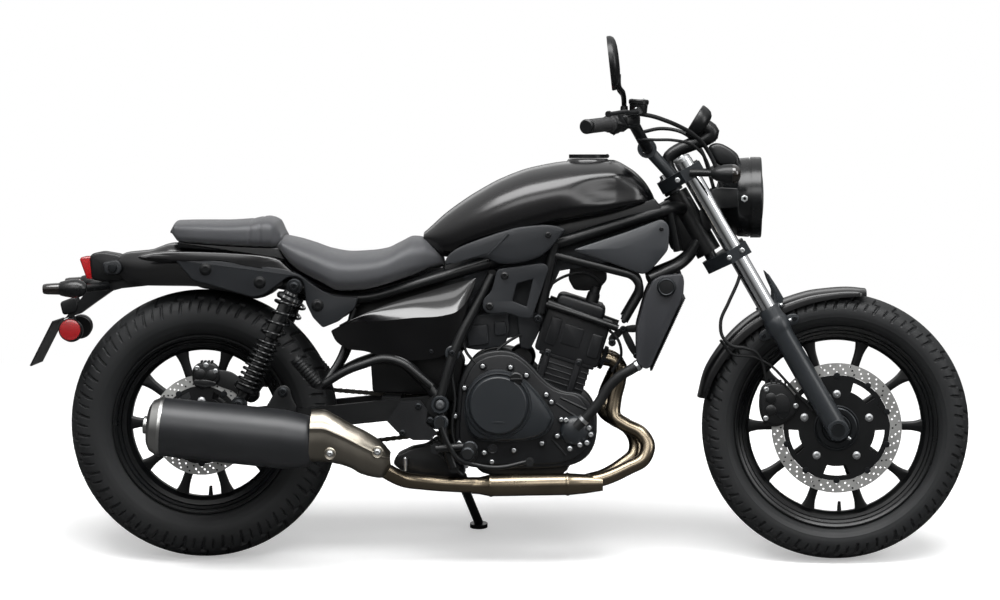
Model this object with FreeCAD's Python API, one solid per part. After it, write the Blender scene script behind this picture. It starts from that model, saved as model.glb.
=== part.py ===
# Cruiser motorcycle, right-hand exhaust, chain drive on the left, parked on its side stand.
# Millimetres. The shapes are drawn with the machine upright: X forward, Y to its left, Z up,
# with the rear axle above X = 0. leaned() turns them onto the side stand at the end.
import FreeCAD, Part
import math
import os

from FreeCAD import Vector

os.makedirs("parts", exist_ok=True)

# Driving dimensions of the whole machine
wheelbase = 1520.0
seat_height = 735.0
rake_degrees = 30.0
fork_offset = 55.0
lean_degrees = 10.0
fit = 0.3
moving_gap = 5.5

# Wheels
front_tyre_radius = 320.0
front_tyre_width = 130.0
front_rim_radius = 243.0
front_rim_width = 92.0
front_window_radius = 208.0
rear_tyre_radius = 323.0
rear_tyre_width = 150.0
rear_rim_radius = 216.0
rear_rim_width = 110.0
rear_window_radius = 178.0
wall_top_share = 0.35
shoulder_shares = (0.173, 0.907)
tread_flat = 10.0
rim_wall = 8.0
bead_depth = 15.0
spoke_count = 10
spoke_half_width = 9.5
spoke_root_width = 15.0
spoke_flare_width = 27.0
spoke_thickness = 24.0
hub_radius = 49.0
hub_half_length = 60.0
axle_radius = 10.0

# Brakes
front_disc_radius = 155.0
rear_disc_radius = 120.0
disc_band = 28.0
disc_thickness = 5.0
disc_carrier_thickness = 4.0
disc_window_count = 5
disc_window_inner_radius = 92.0
front_disc_y = 70.0
rear_disc_y = 70.0
caliper_width = 30.0

# Fork and steering
fork_spread = 105.0
fork_tube_radius = 20.5
fork_slider_radius = 26.0
slider_length = 333.0
slider_foot = 22.0
fork_top = 735.0
lower_clamp_height = 483.0
upper_clamp_height = 703.0
clamp_thickness = 30.0
clamp_wall = 12.0
stem_radius = 14.0
head_tube_radius = 31.0

# Final drive
chain_y = 88.0
chain_width = 14.0
chain_depth = 13.0
rear_sprocket_radius = 106.0
rear_teeth = 42
front_teeth = 15
front_sprocket_radius = 38.0
sprocket_thickness = 5.0

# Frame, tubes and covers
main_tube_radius = 15.5
rail_tube_radius = 13.5
diagonal_tube_radius = 12.5
cradle_tube_radius = diagonal_tube_radius - 1.5
trellis_tube_radius = 10.0
thin_tube_radius = 6.0
frame_half_width = 100.0
bolt_radius = 10.0
pivot_head_radius = bolt_radius * 1.6
bolt_height = 5.0
cover_wall = 4.0
overrun = 1.0


def at(share, y=0.0):
    """A point from shares of the wheelbase and the seat height, at a distance y from the middle."""
    return Vector(share[0] * wheelbase, y, share[1] * seat_height)


def lerp(a, b, share):
    return a + (b - a) * share


def rod(start, end, radius):
    """A round bar between two points."""
    way = end - start
    return Part.makeCylinder(radius, way.Length, start, way)


def cross_rod(centre, half_length, radius):
    """A round bar that lies across the machine."""
    return rod(centre - Vector(0, half_length, 0), centre + Vector(0, half_length, 0), radius)


def tube(points, radius, bend_share=0.45):
    """A round bar along straight runs, joined by arcs that touch both runs."""
    pieces = []
    start = points[0]
    for index in range(1, len(points)):
        corner = points[index]
        if index == len(points) - 1:
            pieces.append(rod(start, corner, radius))
            break
        before = (corner - points[index - 1])
        after = (points[index + 1] - corner)
        turn = before.getAngle(after)
        if turn < math.radians(1):
            pieces.append(rod(start, corner, radius))
            start = corner
            continue
        reach = bend_share * min(before.Length, after.Length)
        first = corner - before * (reach / before.Length)
        last = corner + after * (reach / after.Length)
        axis = before.cross(after)
        axis.normalize()
        inward = axis.cross(before)
        inward.normalize()
        arc_radius = reach / math.tan(turn / 2)
        centre = first + inward * arc_radius
        pieces.append(rod(start, first, radius))
        disc = Part.Face(Part.Wire(Part.makeCircle(radius, first, before)))
        pieces.append(disc.revolve(centre, axis, math.degrees(turn)))
        start = last
    return pieces[0].fuse(pieces[1:]).removeSplitter() if len(pieces) > 1 else pieces[0]


def outline_face(points, y, smooth=False):
    """A flat face across the machine's side, from shares, as straight runs or one smooth curve."""
    corners = [at(share, y) for share in points]
    if smooth:
        curve = Part.BSplineCurve()
        curve.interpolate(Points=corners, PeriodicFlag=True)
        return Part.Face(Part.Wire(curve.toShape()))
    return Part.Face(Part.makePolygon(corners + [corners[0]]))


def plate(points, y_from, y_to, smooth=False):
    """A plate of that outline between two distances from the middle."""
    return outline_face(points, y_from, smooth).extrude(Vector(0, y_to - y_from, 0))


def mirrored(shape):
    """The same piece on the other side of the machine."""
    return shape.mirror(Vector(0, 0, 0), Vector(0, 1, 0))


def pair(shape):
    """The right-hand piece and its left-hand twin."""
    return Part.Compound([shape, mirrored(shape)])


def fused(shapes):
    return shapes[0].fuse(list(shapes[1:])).removeSplitter() if len(shapes) > 1 else shapes[0]


def ring_of(profile, centre):
    """A body of revolution about a cross axis, from pairs of radius and distance from the middle."""
    corners = [Vector(centre.x, y, centre.z + radius) for radius, y in profile]
    return Part.Face(Part.makePolygon(corners + [corners[0]])).revolve(centre, Vector(0, 1, 0), 360)


def section_loft(sections):
    """A smooth body through closed curves, each a list of points."""
    wires = []
    for points in sections:
        curve = Part.BSplineCurve()
        curve.interpolate(Points=points, PeriodicFlag=True)
        wires.append(Part.Wire(curve.toShape()))
    return Part.makeLoft(wires, True, False)


# Places that many pieces share
rear_axle = Vector(0, 0, rear_tyre_radius)
front_axle = Vector(wheelbase, 0, front_tyre_radius)
rake = math.radians(rake_degrees)
steering_up = Vector(-math.sin(rake), 0, math.cos(rake))
steering_ahead = Vector(math.cos(rake), 0, math.sin(rake))
steering_foot = front_axle - steering_ahead * fork_offset
pivot = at((0.375, 0.511))


def steered(ahead, left, up):
    """A point from distances ahead of, left of and along the steering axis."""
    return steering_foot + steering_ahead * ahead + Vector(0, left, 0) + steering_up * up


# Tyres, rims, discs and sprocket


def tyre(centre, radius, width, rim_radius):
    """A tyre around the rim's flanges: upright walls, a bevelled shoulder and a nearly flat crown."""
    half = width / 2
    side = [(rim_radius + fit, half), (radius - half * wall_top_share, half),
            (radius - half * shoulder_shares[0], half * shoulder_shares[1]), (radius, tread_flat)]
    return ring_of(side + [(out, -y) for out, y in reversed(side)], centre)


spoke_bend_shares = (0.25, 0.8)
rim_flange_share = 0.6


def spoke(centre, inner, outer):
    neck, flare = (lerp(inner, outer, share) for share in spoke_bend_shares)
    outline = [(inner, spoke_root_width), (neck, spoke_half_width),
               (flare, spoke_half_width), (outer, spoke_flare_width)]
    side = [centre + Vector(width, -spoke_thickness / 2, radius) for radius, width in outline]
    side += [centre + Vector(-width, -spoke_thickness / 2, radius)
             for radius, width in reversed(outline)]
    return Part.Face(Part.makePolygon(side + [side[0]])).extrude(Vector(0, spoke_thickness, 0))


def rim(centre, radius, width, window_radius, disc_y, sprocket_y):
    half = width / 2
    floor = radius - bead_depth
    flange = lerp(floor, radius, rim_flange_share)
    ring = ring_of([(radius, half), (flange, half), (window_radius, half / 2),
                    (window_radius, -half / 2), (flange, -half), (radius, -half),
                    (radius, -half + rim_wall), (floor, -half + rim_wall), (floor, half - rim_wall),
                    (radius, half - rim_wall)], centre)
    hub = Part.makeCylinder(hub_radius, sprocket_y + disc_y, centre - Vector(0, disc_y, 0), Vector(0, 1, 0))
    pieces = [ring, hub]
    for index in range(spoke_count):
        arm = spoke(centre, hub_radius - overrun, window_radius + overrun)
        arm.rotate(centre, Vector(0, 1, 0), (2 * index + 1) * 180 / spoke_count)
        pieces.append(arm)
    wheel = fused(pieces)
    bore = cross_rod(centre, radius, axle_radius + fit)
    return wheel.cut(bore)


def brake_disc(centre, radius, disc_y):
    """A band on a carrier plate with windows; the carrier sits on the hub's face."""
    band = ring_of([(radius, -disc_y - disc_thickness / 2), (radius, -disc_y + disc_thickness / 2),
                    (radius - disc_band, -disc_y + disc_thickness / 2),
                    (radius - disc_band, -disc_y - disc_thickness / 2)], centre)
    rim_edge = radius - disc_band + overrun
    half = disc_carrier_thickness / 2
    carrier = ring_of([(rim_edge, -disc_y - half), (rim_edge, -disc_y + half),
                       (axle_radius * 2, -disc_y + half), (axle_radius * 2, -disc_y - half)], centre)
    inner = radius * disc_window_inner_radius / front_disc_radius
    outer = radius - disc_band - disc_carrier_thickness
    window = ring_of([(outer, -disc_y - disc_thickness), (outer, 0), (inner, 0),
                      (inner, -disc_y - disc_thickness)], centre)
    slots = []
    for index in range(disc_window_count):
        rib = Part.makeBox(disc_band / 2, disc_y * 2, radius * 2,
                           centre + Vector(-disc_band / 4, -disc_y * 2, 0))
        rib.rotate(centre, Vector(0, 1, 0), index * 360 / disc_window_count)
        slots.append(rib)
    return fused([band, carrier.cut(window.cut(slots))])


def sprocket(centre, radius, tooth_count, thickness):
    """A toothed wheel: one wedge cut from the rim between each two teeth."""
    tip = radius - chain_depth / 2 - fit
    blank = Part.makeCylinder(tip, thickness, centre - Vector(0, thickness / 2, 0), Vector(0, 1, 0))
    gap = math.pi * tip / tooth_count / 2
    cuts = []
    for index in range(tooth_count):
        notch = Part.makeCylinder(gap, thickness * 2, centre + Vector(0, -thickness, tip), Vector(0, 1, 0))
        notch.rotate(centre, Vector(0, 1, 0), index * 360 / tooth_count)
        cuts.append(notch)
    return blank.cut(cuts)


def belt_face(first, first_radius, second, second_radius):
    """The outline of a belt round two circles in the machine's side plane, first behind second."""
    way = second - first
    tilt = math.atan2(way.z, way.x)
    spread = math.acos((first_radius - second_radius) / way.Length)

    def on(centre, radius, angle):
        return Vector(centre.x + radius * math.cos(angle), centre.y, centre.z + radius * math.sin(angle))

    upper, lower = tilt + spread, tilt - spread
    edges = [Part.makeLine(on(first, first_radius, upper), on(second, second_radius, upper)),
             Part.Arc(on(second, second_radius, upper), on(second, second_radius, tilt),
                      on(second, second_radius, lower)).toShape(),
             Part.makeLine(on(second, second_radius, lower), on(first, first_radius, lower)),
             Part.Arc(on(first, first_radius, lower), on(first, first_radius, tilt + math.pi),
                      on(first, first_radius, upper)).toShape()]
    return Part.Face(Part.Wire(edges))


# Final drive and swingarm
output_shaft = at((0.429, 0.524))
arm_y = 111.0
arm_width = 26.0
arm_depth = 50.0
pivot_bolt_radius = 9.0
pivot_boss_radius = 26.0
pivot_eye_half_width = diagonal_tube_radius * 0.7
axle_slider_length = 70.0


def drive_chain():
    behind = rear_axle + Vector(0, chain_y - chain_width / 2, 0)
    ahead = output_shaft + Vector(0, chain_y - chain_width / 2, 0)
    half = chain_depth / 2
    outer = belt_face(behind, rear_sprocket_radius + half, ahead, front_sprocket_radius + half)
    inner = belt_face(behind, rear_sprocket_radius - half, ahead, front_sprocket_radius - half)
    return outer.cut(inner).extrude(Vector(0, chain_width, 0))


arm_end_share = 0.75
arm_bridge_length = 45.0
arm_bridge_behind = 112.0
arm_bridge_depth_share = 0.8
arm_cross_tube_radius = pivot_boss_radius * 0.8


def arm_side(side):
    """One arm: deep at the pivot, tapering to the axle's slot."""
    y_in, y_out = side * (arm_y - arm_width / 2), side * (arm_y + arm_width / 2)
    half = arm_depth / 2
    front = pivot + Vector(0, y_in, 0)
    rear = rear_axle + Vector(0, y_in, 0)
    tail = Vector(axle_slider_length / 2, 0, 0)
    lift = Vector(0, 0, half)
    small = Vector(0, 0, half * arm_end_share)
    corners = [front + lift, rear + tail * 2 + lift, rear + tail + small, rear - tail + small,
               rear - tail - small, rear + tail - small, rear + tail * 2 - lift, front - lift]
    bar = Part.Face(Part.makePolygon(corners + [corners[0]])).extrude(Vector(0, y_out - y_in, 0))
    boss = rod(front, front + Vector(0, y_out - y_in, 0), pivot_boss_radius)
    return fused([bar, boss])


def swingarm():
    """Two arms, the cross tube at the pivot and the bridge ahead of the tyre."""
    bridge_depth = arm_depth * arm_bridge_depth_share
    bridge = Part.makeBox(arm_bridge_length, arm_y * 2, bridge_depth,
                          pivot - Vector(arm_bridge_behind + arm_bridge_length / 2, arm_y, bridge_depth / 2))
    body = fused([arm_side(-1), arm_side(1), cross_rod(pivot, arm_y, arm_cross_tube_radius), bridge])
    bores = [cross_rod(pivot, arm_y * 2, pivot_bolt_radius + fit),
             cross_rod(rear_axle, arm_y * 2, axle_radius + fit)]
    chain_room = drive_chain_room()
    return body.cut(bores + [chain_room])


def drive_chain_room():
    """The space that the chain needs through the bridge and the pivot tube."""
    behind = rear_axle + Vector(0, chain_y - chain_width / 2 - moving_gap, 0)
    ahead = output_shaft + Vector(0, chain_y - chain_width / 2 - moving_gap, 0)
    half = chain_depth / 2 + moving_gap
    outer = belt_face(behind, rear_sprocket_radius + half, ahead, front_sprocket_radius + half)
    inner = belt_face(behind, rear_sprocket_radius - half, ahead, front_sprocket_radius - half)
    return outer.cut(inner).extrude(Vector(0, chain_width + 2 * moving_gap, 0))


# Rear shocks
shock_y = 150.0
shock_eye_radius = 14.0
shock_eye_boss_radius = shock_eye_radius * 1.4
shock_eye_width = 26.0
spring_radius = 25.0
spring_wire = 4.5
shock_body_radius = 16.0
shock_top = at((0.152, 0.897))
shock_bottom = at((0.065, 0.527))


def shock():
    """Eyes, damper body and rod, spring seats and the coil, drawn as one body with round swells."""
    top = Vector(shock_top.x, -shock_y, shock_top.z)
    bottom = Vector(shock_bottom.x, -shock_y, shock_bottom.z)
    way = top - bottom
    out = Vector(0, 1, 0)

    def on(share, radius, shift=0):
        return bottom + way * share + way * (shift / way.Length) + out * radius

    edges = [Part.makeLine(bottom, on(0, shock_body_radius))]
    last = on(0, shock_body_radius)
    for share, radius, half in ([(spring_seat_shares[0], spring_radius, spring_wire)]
                                + [(share, spring_radius, spring_wire) for share in coil_shares]
                                + [(spring_seat_shares[1], spring_radius, spring_wire)]):
        first, after = on(share, shock_body_radius, -half), on(share, shock_body_radius, half)
        edges += [Part.makeLine(last, first), Part.Arc(first, on(share, radius), after).toShape()]
        last = after
    edges += [Part.makeLine(last, on(1, shock_body_radius)), Part.makeLine(on(1, shock_body_radius), top),
              Part.makeLine(top, bottom)]
    coil = Part.Face(Part.Wire(edges)).revolve(bottom, way, 360)
    pieces = [coil, cross_rod(top, shock_eye_width / 2, shock_eye_boss_radius),
              cross_rod(bottom, shock_eye_width / 2, shock_eye_boss_radius)]
    holes = [cross_rod(top, shock_eye_width, shock_eye_radius / 2),
             cross_rod(bottom, shock_eye_width, shock_eye_radius / 2)]
    return fused(pieces).cut(holes)


spring_seat_shares = (0.10, 0.88)
coil_shares = (0.15, 0.22, 0.29, 0.36, 0.43, 0.50, 0.57, 0.66, 0.77)


# Frame


frame_top_shares = ((0.746, 1.153), (0.566, 1.037), (0.456, 0.972))
seat_rail_shares = ((0.456, 0.972), (0.245, 0.842), (0.145, 0.896), (0.022, 0.938))
diagonal_shares = ((0.460, 0.933), (0.402, 0.704), (0.378, 0.523))
drop_shares = ((0.557, 1.034), (0.534, 0.811))
trellis_shares = ((0.555, 0.998), (0.704, 0.921), (0.666, 0.785))
strut_shares = ((0.538, 0.843), (0.657, 0.762))
lower_head_shares = ((0.764, 0.974),)
short_post_shares = ((0.738, 1.134), (0.750, 1.009))
cradle_shares = ((0.378, 0.521), (0.387, 0.382), (0.400, 0.310))
head_tube_low = 512.0
head_tube_high = 676.0
upper_tube_lift = 0.72
frame_top_y_shares = (0.75, 1.0, 1.0)


def head_tube():
    """The steering head with the bore that the stem turns in."""
    tube_body = rod(steered(0, 0, head_tube_low), steered(0, 0, head_tube_high), head_tube_radius)
    return tube_body


def stem_bore():
    return rod(steered(0, 0, lower_clamp_height), steered(0, 0, upper_clamp_height), stem_radius + fit)


def main_frame():
    """Steering head, upper tubes, trellis to the engine's front and the cross tubes."""
    pieces = [head_tube()]
    for side in (-1, 1):
        y = side * frame_half_width
        joint = steered(0, 0, lerp(head_tube_low, head_tube_high, upper_tube_lift))
        path = [joint] + [at(share, y * wide) for share, wide in zip(frame_top_shares, frame_top_y_shares)]
        pieces.append(tube(path, main_tube_radius))
        outer = side * (frame_half_width + trellis_tube_radius)
        low = steered(0, 0, lerp(head_tube_low, head_tube_high, 1 - upper_tube_lift))
        pieces.append(tube([low] + [at(share, outer * wide) for share, wide in
                                    zip(lower_head_shares, lower_head_y_shares)]
                           + [at(trellis_shares[1], outer)], rail_tube_radius))
        pieces.append(tube([at(share, outer) for share in trellis_shares], trellis_tube_radius))
        pieces.append(tube([at(share, outer) for share in drop_shares], diagonal_tube_radius))
        pieces.append(tube([at(share, outer) for share in strut_shares], thin_tube_radius))
        pieces.append(rod(at(short_post_shares[0], y * frame_top_y_shares[0]),
                          at(short_post_shares[1], y * short_post_y_share), trellis_tube_radius))
    pieces.append(cross_rod(at(frame_top_shares[1]), frame_half_width, trellis_tube_radius))
    pieces.append(cross_rod(at(trellis_shares[2]), frame_half_width + trellis_tube_radius, thin_tube_radius))
    return fused(pieces).cut(stem_bore())


lower_head_y_shares = (0.62,)
short_post_y_share = 0.62


# Where the side stand is hung
stand_pivot = at((0.400, 0.257), 128.0)
stand_boss_radius = 15.0
stand_pin_radius = 6.0
stand_lug_radius = 8.0
stand_collar = 12.0
stand_axis = Vector(-0.25, 1.0, 0.19)
stand_axis.normalize()


def mid_frame():
    """The two diagonals that carry the swingarm pivot, with their cross tubes and foot brackets."""
    pieces = []
    y = frame_half_width + arm_width + diagonal_tube_radius + fit
    for side in (-1, 1):
        path = [at(share, side * wide * y) for share, wide in zip(diagonal_shares, diagonal_y_shares)]
        pieces.append(tube(path, diagonal_tube_radius))
        eye = Vector(pivot.x, side * y, pivot.z)
        pieces.append(cross_rod(eye, pivot_eye_half_width, pivot_boss_radius))
        pieces.append(tube([at(share, side * y) for share in cradle_shares], cradle_tube_radius))
    pieces.append(cross_rod(at(diagonal_shares[0]), y * diagonal_y_shares[0], diagonal_tube_radius))
    pieces.append(cross_rod(at(cradle_shares[2]), y, diagonal_tube_radius))
    pin_start = stand_pivot - stand_axis * (stand_boss_radius + stand_collar + fit)
    pin_end = stand_pivot + stand_axis * (stand_boss_radius + stand_lug_radius / 2)
    cradle = at(cradle_shares[2], pin_start.y)
    pieces.append(rod(pin_start, pin_end, stand_pin_radius))
    pieces.append(rod(pin_start - stand_axis * stand_lug_radius, pin_start + stand_axis * stand_collar,
                      stand_boss_radius))
    pieces.append(rod(pin_start, cradle, stand_lug_radius))
    body = fused(pieces)
    return body.cut(cross_rod(pivot, wheelbase, pivot_bolt_radius + fit))


diagonal_y_shares = (0.75, 0.95, 1.0)


def seat_rails():
    """The rear frame under the seats, with two cross tubes."""
    pieces = []
    for side in (-1, 1):
        path = [at(share, side * frame_half_width * wide)
                for share, wide in zip(seat_rail_shares, seat_rail_y_shares)]
        before = at(frame_top_shares[1], side * frame_half_width)
        way = path[0] - before
        path[0] = path[0] + way * (3 * fit / way.Length)
        pieces.append(tube(path, rail_tube_radius))
    for share, wide in zip(seat_rail_shares[1:], seat_rail_y_shares[1:]):
        pieces.append(cross_rod(at(share), frame_half_width * wide, trellis_tube_radius))
    return fused(pieces)


seat_rail_y_shares = (1.0, 0.89, 0.72, 0.72)


def pivot_bolt():
    reach = heel_plate_y - fit
    shaft = cross_rod(pivot, reach, pivot_bolt_radius)
    heads = [rod(pivot + Vector(0, side * reach, 0), pivot + Vector(0, side * (reach + bolt_height), 0),
                 pivot_head_radius) for side in (-1, 1)]
    return fused([shaft] + heads)


# Engine
air_box_half_width = 66.0
air_box_shares = ((0.410, 0.970), (0.502, 1.023), (0.597, 1.068), (0.682, 1.101), (0.704, 1.088),
                  (0.701, 1.023), (0.635, 0.970), (0.565, 0.944), (0.543, 0.846), (0.527, 0.741),
                  (0.457, 0.715), (0.432, 0.734))
case_half_width = 118.0
case_left_width = 74.0
case_shares = ((0.403, 0.597), (0.422, 0.682), (0.506, 0.682), (0.546, 0.583), (0.600, 0.544),
               (0.638, 0.472), (0.644, 0.387), (0.616, 0.315), (0.559, 0.292), (0.426, 0.298),
               (0.395, 0.387))
case_left_shares = ((0.375, 0.597), (0.422, 0.698), (0.489, 0.698), (0.489, 0.256), (0.422, 0.256),
                    (0.375, 0.387))
cylinder_foot = at((0.559, 0.544))
cylinder_head_end = at((0.613, 0.878))
cylinder_half_depth = 68.0
cylinder_half_width = 95.0
head_half_width = 98.0
head_start_share = 0.36
head_cover_start_share = 0.8
head_cover_shrink = 0.86
clutch_cover_shares = ((0.427, 0.588), (0.467, 0.639), (0.510, 0.598), (0.554, 0.494), (0.560, 0.453),
                       (0.545, 0.411), (0.478, 0.391), (0.428, 0.411), (0.403, 0.494))
clutch_centre = at((0.473, 0.507))
clutch_radius = 87.0
clutch_lid_radius = 68.0
clutch_cover_depth = 30.0
lid_rise = 8.0
alternator_radius = 78.0
alternator_depth = 34.0
alternator_centre_shares = (0.541, 0.436)


def slab(start, end, start_share, end_share, half_depth, half_width):
    """A block around part of a slanted line in the side plane, at right angles to it."""
    way = end - start
    low, high = start + way * start_share, start + way * end_share
    across = Vector(way.z, 0, -way.x)
    across.normalize()
    corners = [low - across * half_depth, low + across * half_depth,
               high + across * half_depth, high - across * half_depth]
    side = [point - Vector(0, half_width, 0) for point in corners]
    return Part.Face(Part.makePolygon(side + [side[0]])).extrude(Vector(0, 2 * half_width, 0))


def crankcase():
    """The cases: full width ahead, narrow on the left behind, where the front sprocket is."""
    right = plate(case_shares, -case_half_width, 0)
    behind = plate(case_left_shares, case_left_width, case_half_width * 2)
    left = plate(case_shares, 0, case_half_width).cut(behind)
    shaft = rod(Vector(output_shaft.x, case_left_width - overrun, output_shaft.z),
                Vector(output_shaft.x, chain_y + chain_width, output_shaft.z), axle_radius)
    wheel = sprocket(output_shaft + Vector(0, chain_y, 0), front_sprocket_radius, front_teeth,
                     sprocket_thickness)
    case = fused([right, left])
    return fused([case, shaft, wheel])


barrel_depth_share = 0.92


def cylinder_block():
    """Cylinders, head and head cover along the slanted cylinder line."""
    block = slab(cylinder_foot, cylinder_head_end, 0, head_start_share,
                 cylinder_half_depth * barrel_depth_share, cylinder_half_width)
    head = slab(cylinder_foot, cylinder_head_end, head_start_share, head_cover_start_share,
                cylinder_half_depth, head_half_width)
    cover = slab(cylinder_foot, cylinder_head_end, head_cover_start_share, 1,
                 cylinder_half_depth * head_cover_shrink, head_half_width * head_cover_shrink)
    case = plate(case_shares, -case_half_width, case_half_width)
    return fused([block, head, cover]).cut(case)


alternator_face_radius = alternator_radius * 0.9


def engine_covers():
    """The clutch cover with its round lid on the right and the generator cover on the left."""
    face = -case_half_width - fit
    clutch = plate(clutch_cover_shares, face, face - clutch_cover_depth)
    centre = Vector(clutch_centre.x, face, clutch_centre.z)
    out = Vector(0, -1, 0)
    drum = Part.makeCylinder(clutch_radius, clutch_cover_depth, centre, out)
    lid = Part.makeCylinder(clutch_lid_radius, clutch_cover_depth + lid_rise, centre, out)
    right = fused([clutch, drum, lid])
    middle = at(alternator_centre_shares, case_half_width + fit)
    left = Part.makeCone(alternator_radius, alternator_face_radius, alternator_depth, middle, Vector(0, 1, 0))
    return Part.Compound([right, left])


sprocket_cover_shares = ((0.394, 0.583), (0.416, 0.623), (0.448, 0.623), (0.483, 0.570), (0.483, 0.387),
                         (0.422, 0.367), (0.394, 0.420))
sprocket_cover_y = 104.0
sprocket_cover_wall = 8.0


def air_box():
    """The dark box that fills the space between tank, seats and cylinders."""
    body = plate(air_box_shares, -air_box_half_width, air_box_half_width)
    across = [(frame_top_shares[1], trellis_tube_radius), (trellis_shares[2], thin_tube_radius),
              (diagonal_shares[0], diagonal_tube_radius)]
    return body.cut([cross_rod(at(share), frame_half_width, radius + fit) for share, radius in across])


def sprocket_cover():
    """The cap over the front sprocket, open behind for the chain."""
    outer = plate(sprocket_cover_shares, case_left_width + fit, sprocket_cover_y + sprocket_cover_wall)
    room = rod(Vector(output_shaft.x, case_left_width, output_shaft.z),
               Vector(output_shaft.x, sprocket_cover_y, output_shaft.z),
               front_sprocket_radius + chain_depth)
    channel = drive_chain_room()
    corner = Vector(output_shaft.x - front_sprocket_radius * 3, case_left_width,
                    output_shaft.z - front_sprocket_radius)
    top = Part.makeBox(front_sprocket_radius * 3, sprocket_cover_y - case_left_width,
                       front_sprocket_radius * 2, corner)
    return outer.cut([room, channel, top])


# Tank, seats and fender


def tank_section(x, low, high, half):
    """A tank section, from the crown down the flank and up into the tunnel over the frame."""
    tall = high - low
    side = [(share[0] * half, high - share[1] * tall) for share in tank_section_shares]
    return [Vector(x, y, z) for y, z in side] + [Vector(x, -y, z) for y, z in reversed(side) if y > 0]


tank_section_shares = ((0.0, 0.0), (0.5, 0.07), (0.83, 0.28), (1.0, 0.6), (0.97, 0.86), (0.84, 1.0),
                       (0.6, 0.92), (0.35, 0.72), (0.0, 0.66))
tank_stations = (((0.349, 1.055), (0.349, 1.003), 0.32), ((0.380, 1.124), (0.380, 0.996), 0.48),
                 ((0.432, 1.200), (0.432, 1.029), 0.72), ((0.486, 1.257), (0.486, 1.049), 0.88),
                 ((0.541, 1.290), (0.541, 1.068), 0.97), ((0.597, 1.303), (0.597, 1.095), 1.0),
                 ((0.646, 1.304), (0.646, 1.118), 0.96), ((0.679, 1.268), (0.679, 1.137), 0.8),
                 ((0.711, 1.206), (0.711, 1.157), 0.5))
tank_half_width = 152.0
tank_wall = 3.0
filler_centre_share = (0.609, 1.301)
filler_radius = 38.0
filler_lid_radius = 46.0
filler_lid_height = 9.0
cap_knuckle_radius = 5.0
cap_knuckle_half_width = 14.0
filler_depth = 30.0


def tank_body(inset):
    sections = []
    for top, bottom, wide in tank_stations:
        sections.append(tank_section(top[0] * wheelbase, bottom[1] * seat_height + inset,
                                     top[1] * seat_height - inset, tank_half_width * wide - inset))
    return section_loft(sections)


def fuel_tank():
    """A hollow tank with a cup under the filler's lid."""
    top = at(filler_centre_share)
    up = Vector(0, 0, 1)
    rim = top + up * (tank_wall * 2)
    cup_floor = top - up * (filler_depth + tank_wall)
    collar = Part.makeCylinder(filler_lid_radius - fit, tank_wall * 4, top - up * (tank_wall * 2), up)
    cup = Part.makeCylinder(filler_radius + tank_wall, (rim - cup_floor).Length, cup_floor, up)
    mouth = Part.makeCylinder(filler_radius, filler_depth + tank_wall * 4, top - up * filler_depth, up)
    shell = tank_body(0).cut(tank_body(tank_wall))
    return shell.fuse(collar.fuse(cup).removeSplitter()).cut([mouth, cap_knuckle(fit)])


def cap_knuckle(room):
    """The short round barrel that the lid turns on, at its front edge."""
    hinge = at(filler_centre_share) + Vector(filler_lid_radius, 0, tank_wall * 2 + fit + cap_knuckle_radius)
    return cross_rod(hinge, cap_knuckle_half_width + room, cap_knuckle_radius + room)


def fuel_cap():
    """The filler's lid, hinged at its front edge."""
    base = at(filler_centre_share) + Vector(0, 0, tank_wall * 2 + fit)
    lid = Part.makeCylinder(filler_lid_radius, filler_lid_height, base, Vector(0, 0, 1))
    return fused([lid, cap_knuckle(0)])


def seat_section(x, low, high, half):
    tall = high - low
    side = [(share[0] * half, high - share[1] * tall) for share in seat_section_shares]
    return [Vector(x, y, z) for y, z in side] + [Vector(x, -y, z) for y, z in reversed(side) if y > 0]


seat_section_shares = ((0.0, 0.0), (0.55, 0.02), (0.88, 0.16), (1.0, 0.55), (0.94, 0.92), (0.7, 1.0),
                       (0.0, 1.0))
rider_seat_stations = (((0.131, 1.049), (0.131, 0.990), 0.5), ((0.158, 1.042), (0.158, 0.937), 0.7),
                       ((0.188, 1.021), (0.188, 0.905), 0.9), ((0.223, 1.003), (0.223, 0.878), 1.0),
                       ((0.261, 1.003), (0.261, 0.885), 1.0), ((0.299, 1.023), (0.299, 0.905), 0.88),
                       ((0.332, 1.052), (0.332, 0.924), 0.66), ((0.340, 1.042), (0.340, 0.928), 0.6))
rider_seat_half_width = 152.0
pillion_seat_stations = (((-0.050, 1.091), (-0.050, 1.032), 0.72), ((-0.037, 1.105), (-0.037, 1.013), 0.88),
                         ((0.031, 1.105), (0.031, 1.009), 1.0), ((0.093, 1.118), (0.093, 1.009), 1.0),
                         ((0.115, 1.108), (0.115, 1.016), 0.95), ((0.124, 1.075), (0.124, 1.036), 0.86))
pillion_seat_half_width = 112.0


def seat(stations, half_width):
    return section_loft([seat_section(top[0] * wheelbase, bottom[1] * seat_height, top[1] * seat_height,
                                      half_width * wide) for top, bottom, wide in stations])


fender_stations = (((-0.136, 0.990), (-0.136, 0.950), 0.45), ((-0.101, 1.006), (-0.101, 0.901), 0.78),
                   ((-0.059, 1.005), (-0.059, 0.888), 0.93), ((-0.006, 1.003), (-0.006, 0.882), 1.0),
                   ((0.058, 1.000), (0.058, 0.872), 1.0), ((0.115, 0.987), (0.115, 0.859), 1.0))
fender_half_width = 96.0
fender_wall = 3.5
fender_arch_shares = ((0.0, 0.0), (0.45, 0.03), (0.82, 0.2), (0.98, 0.5), (1.0, 1.0))


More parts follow.
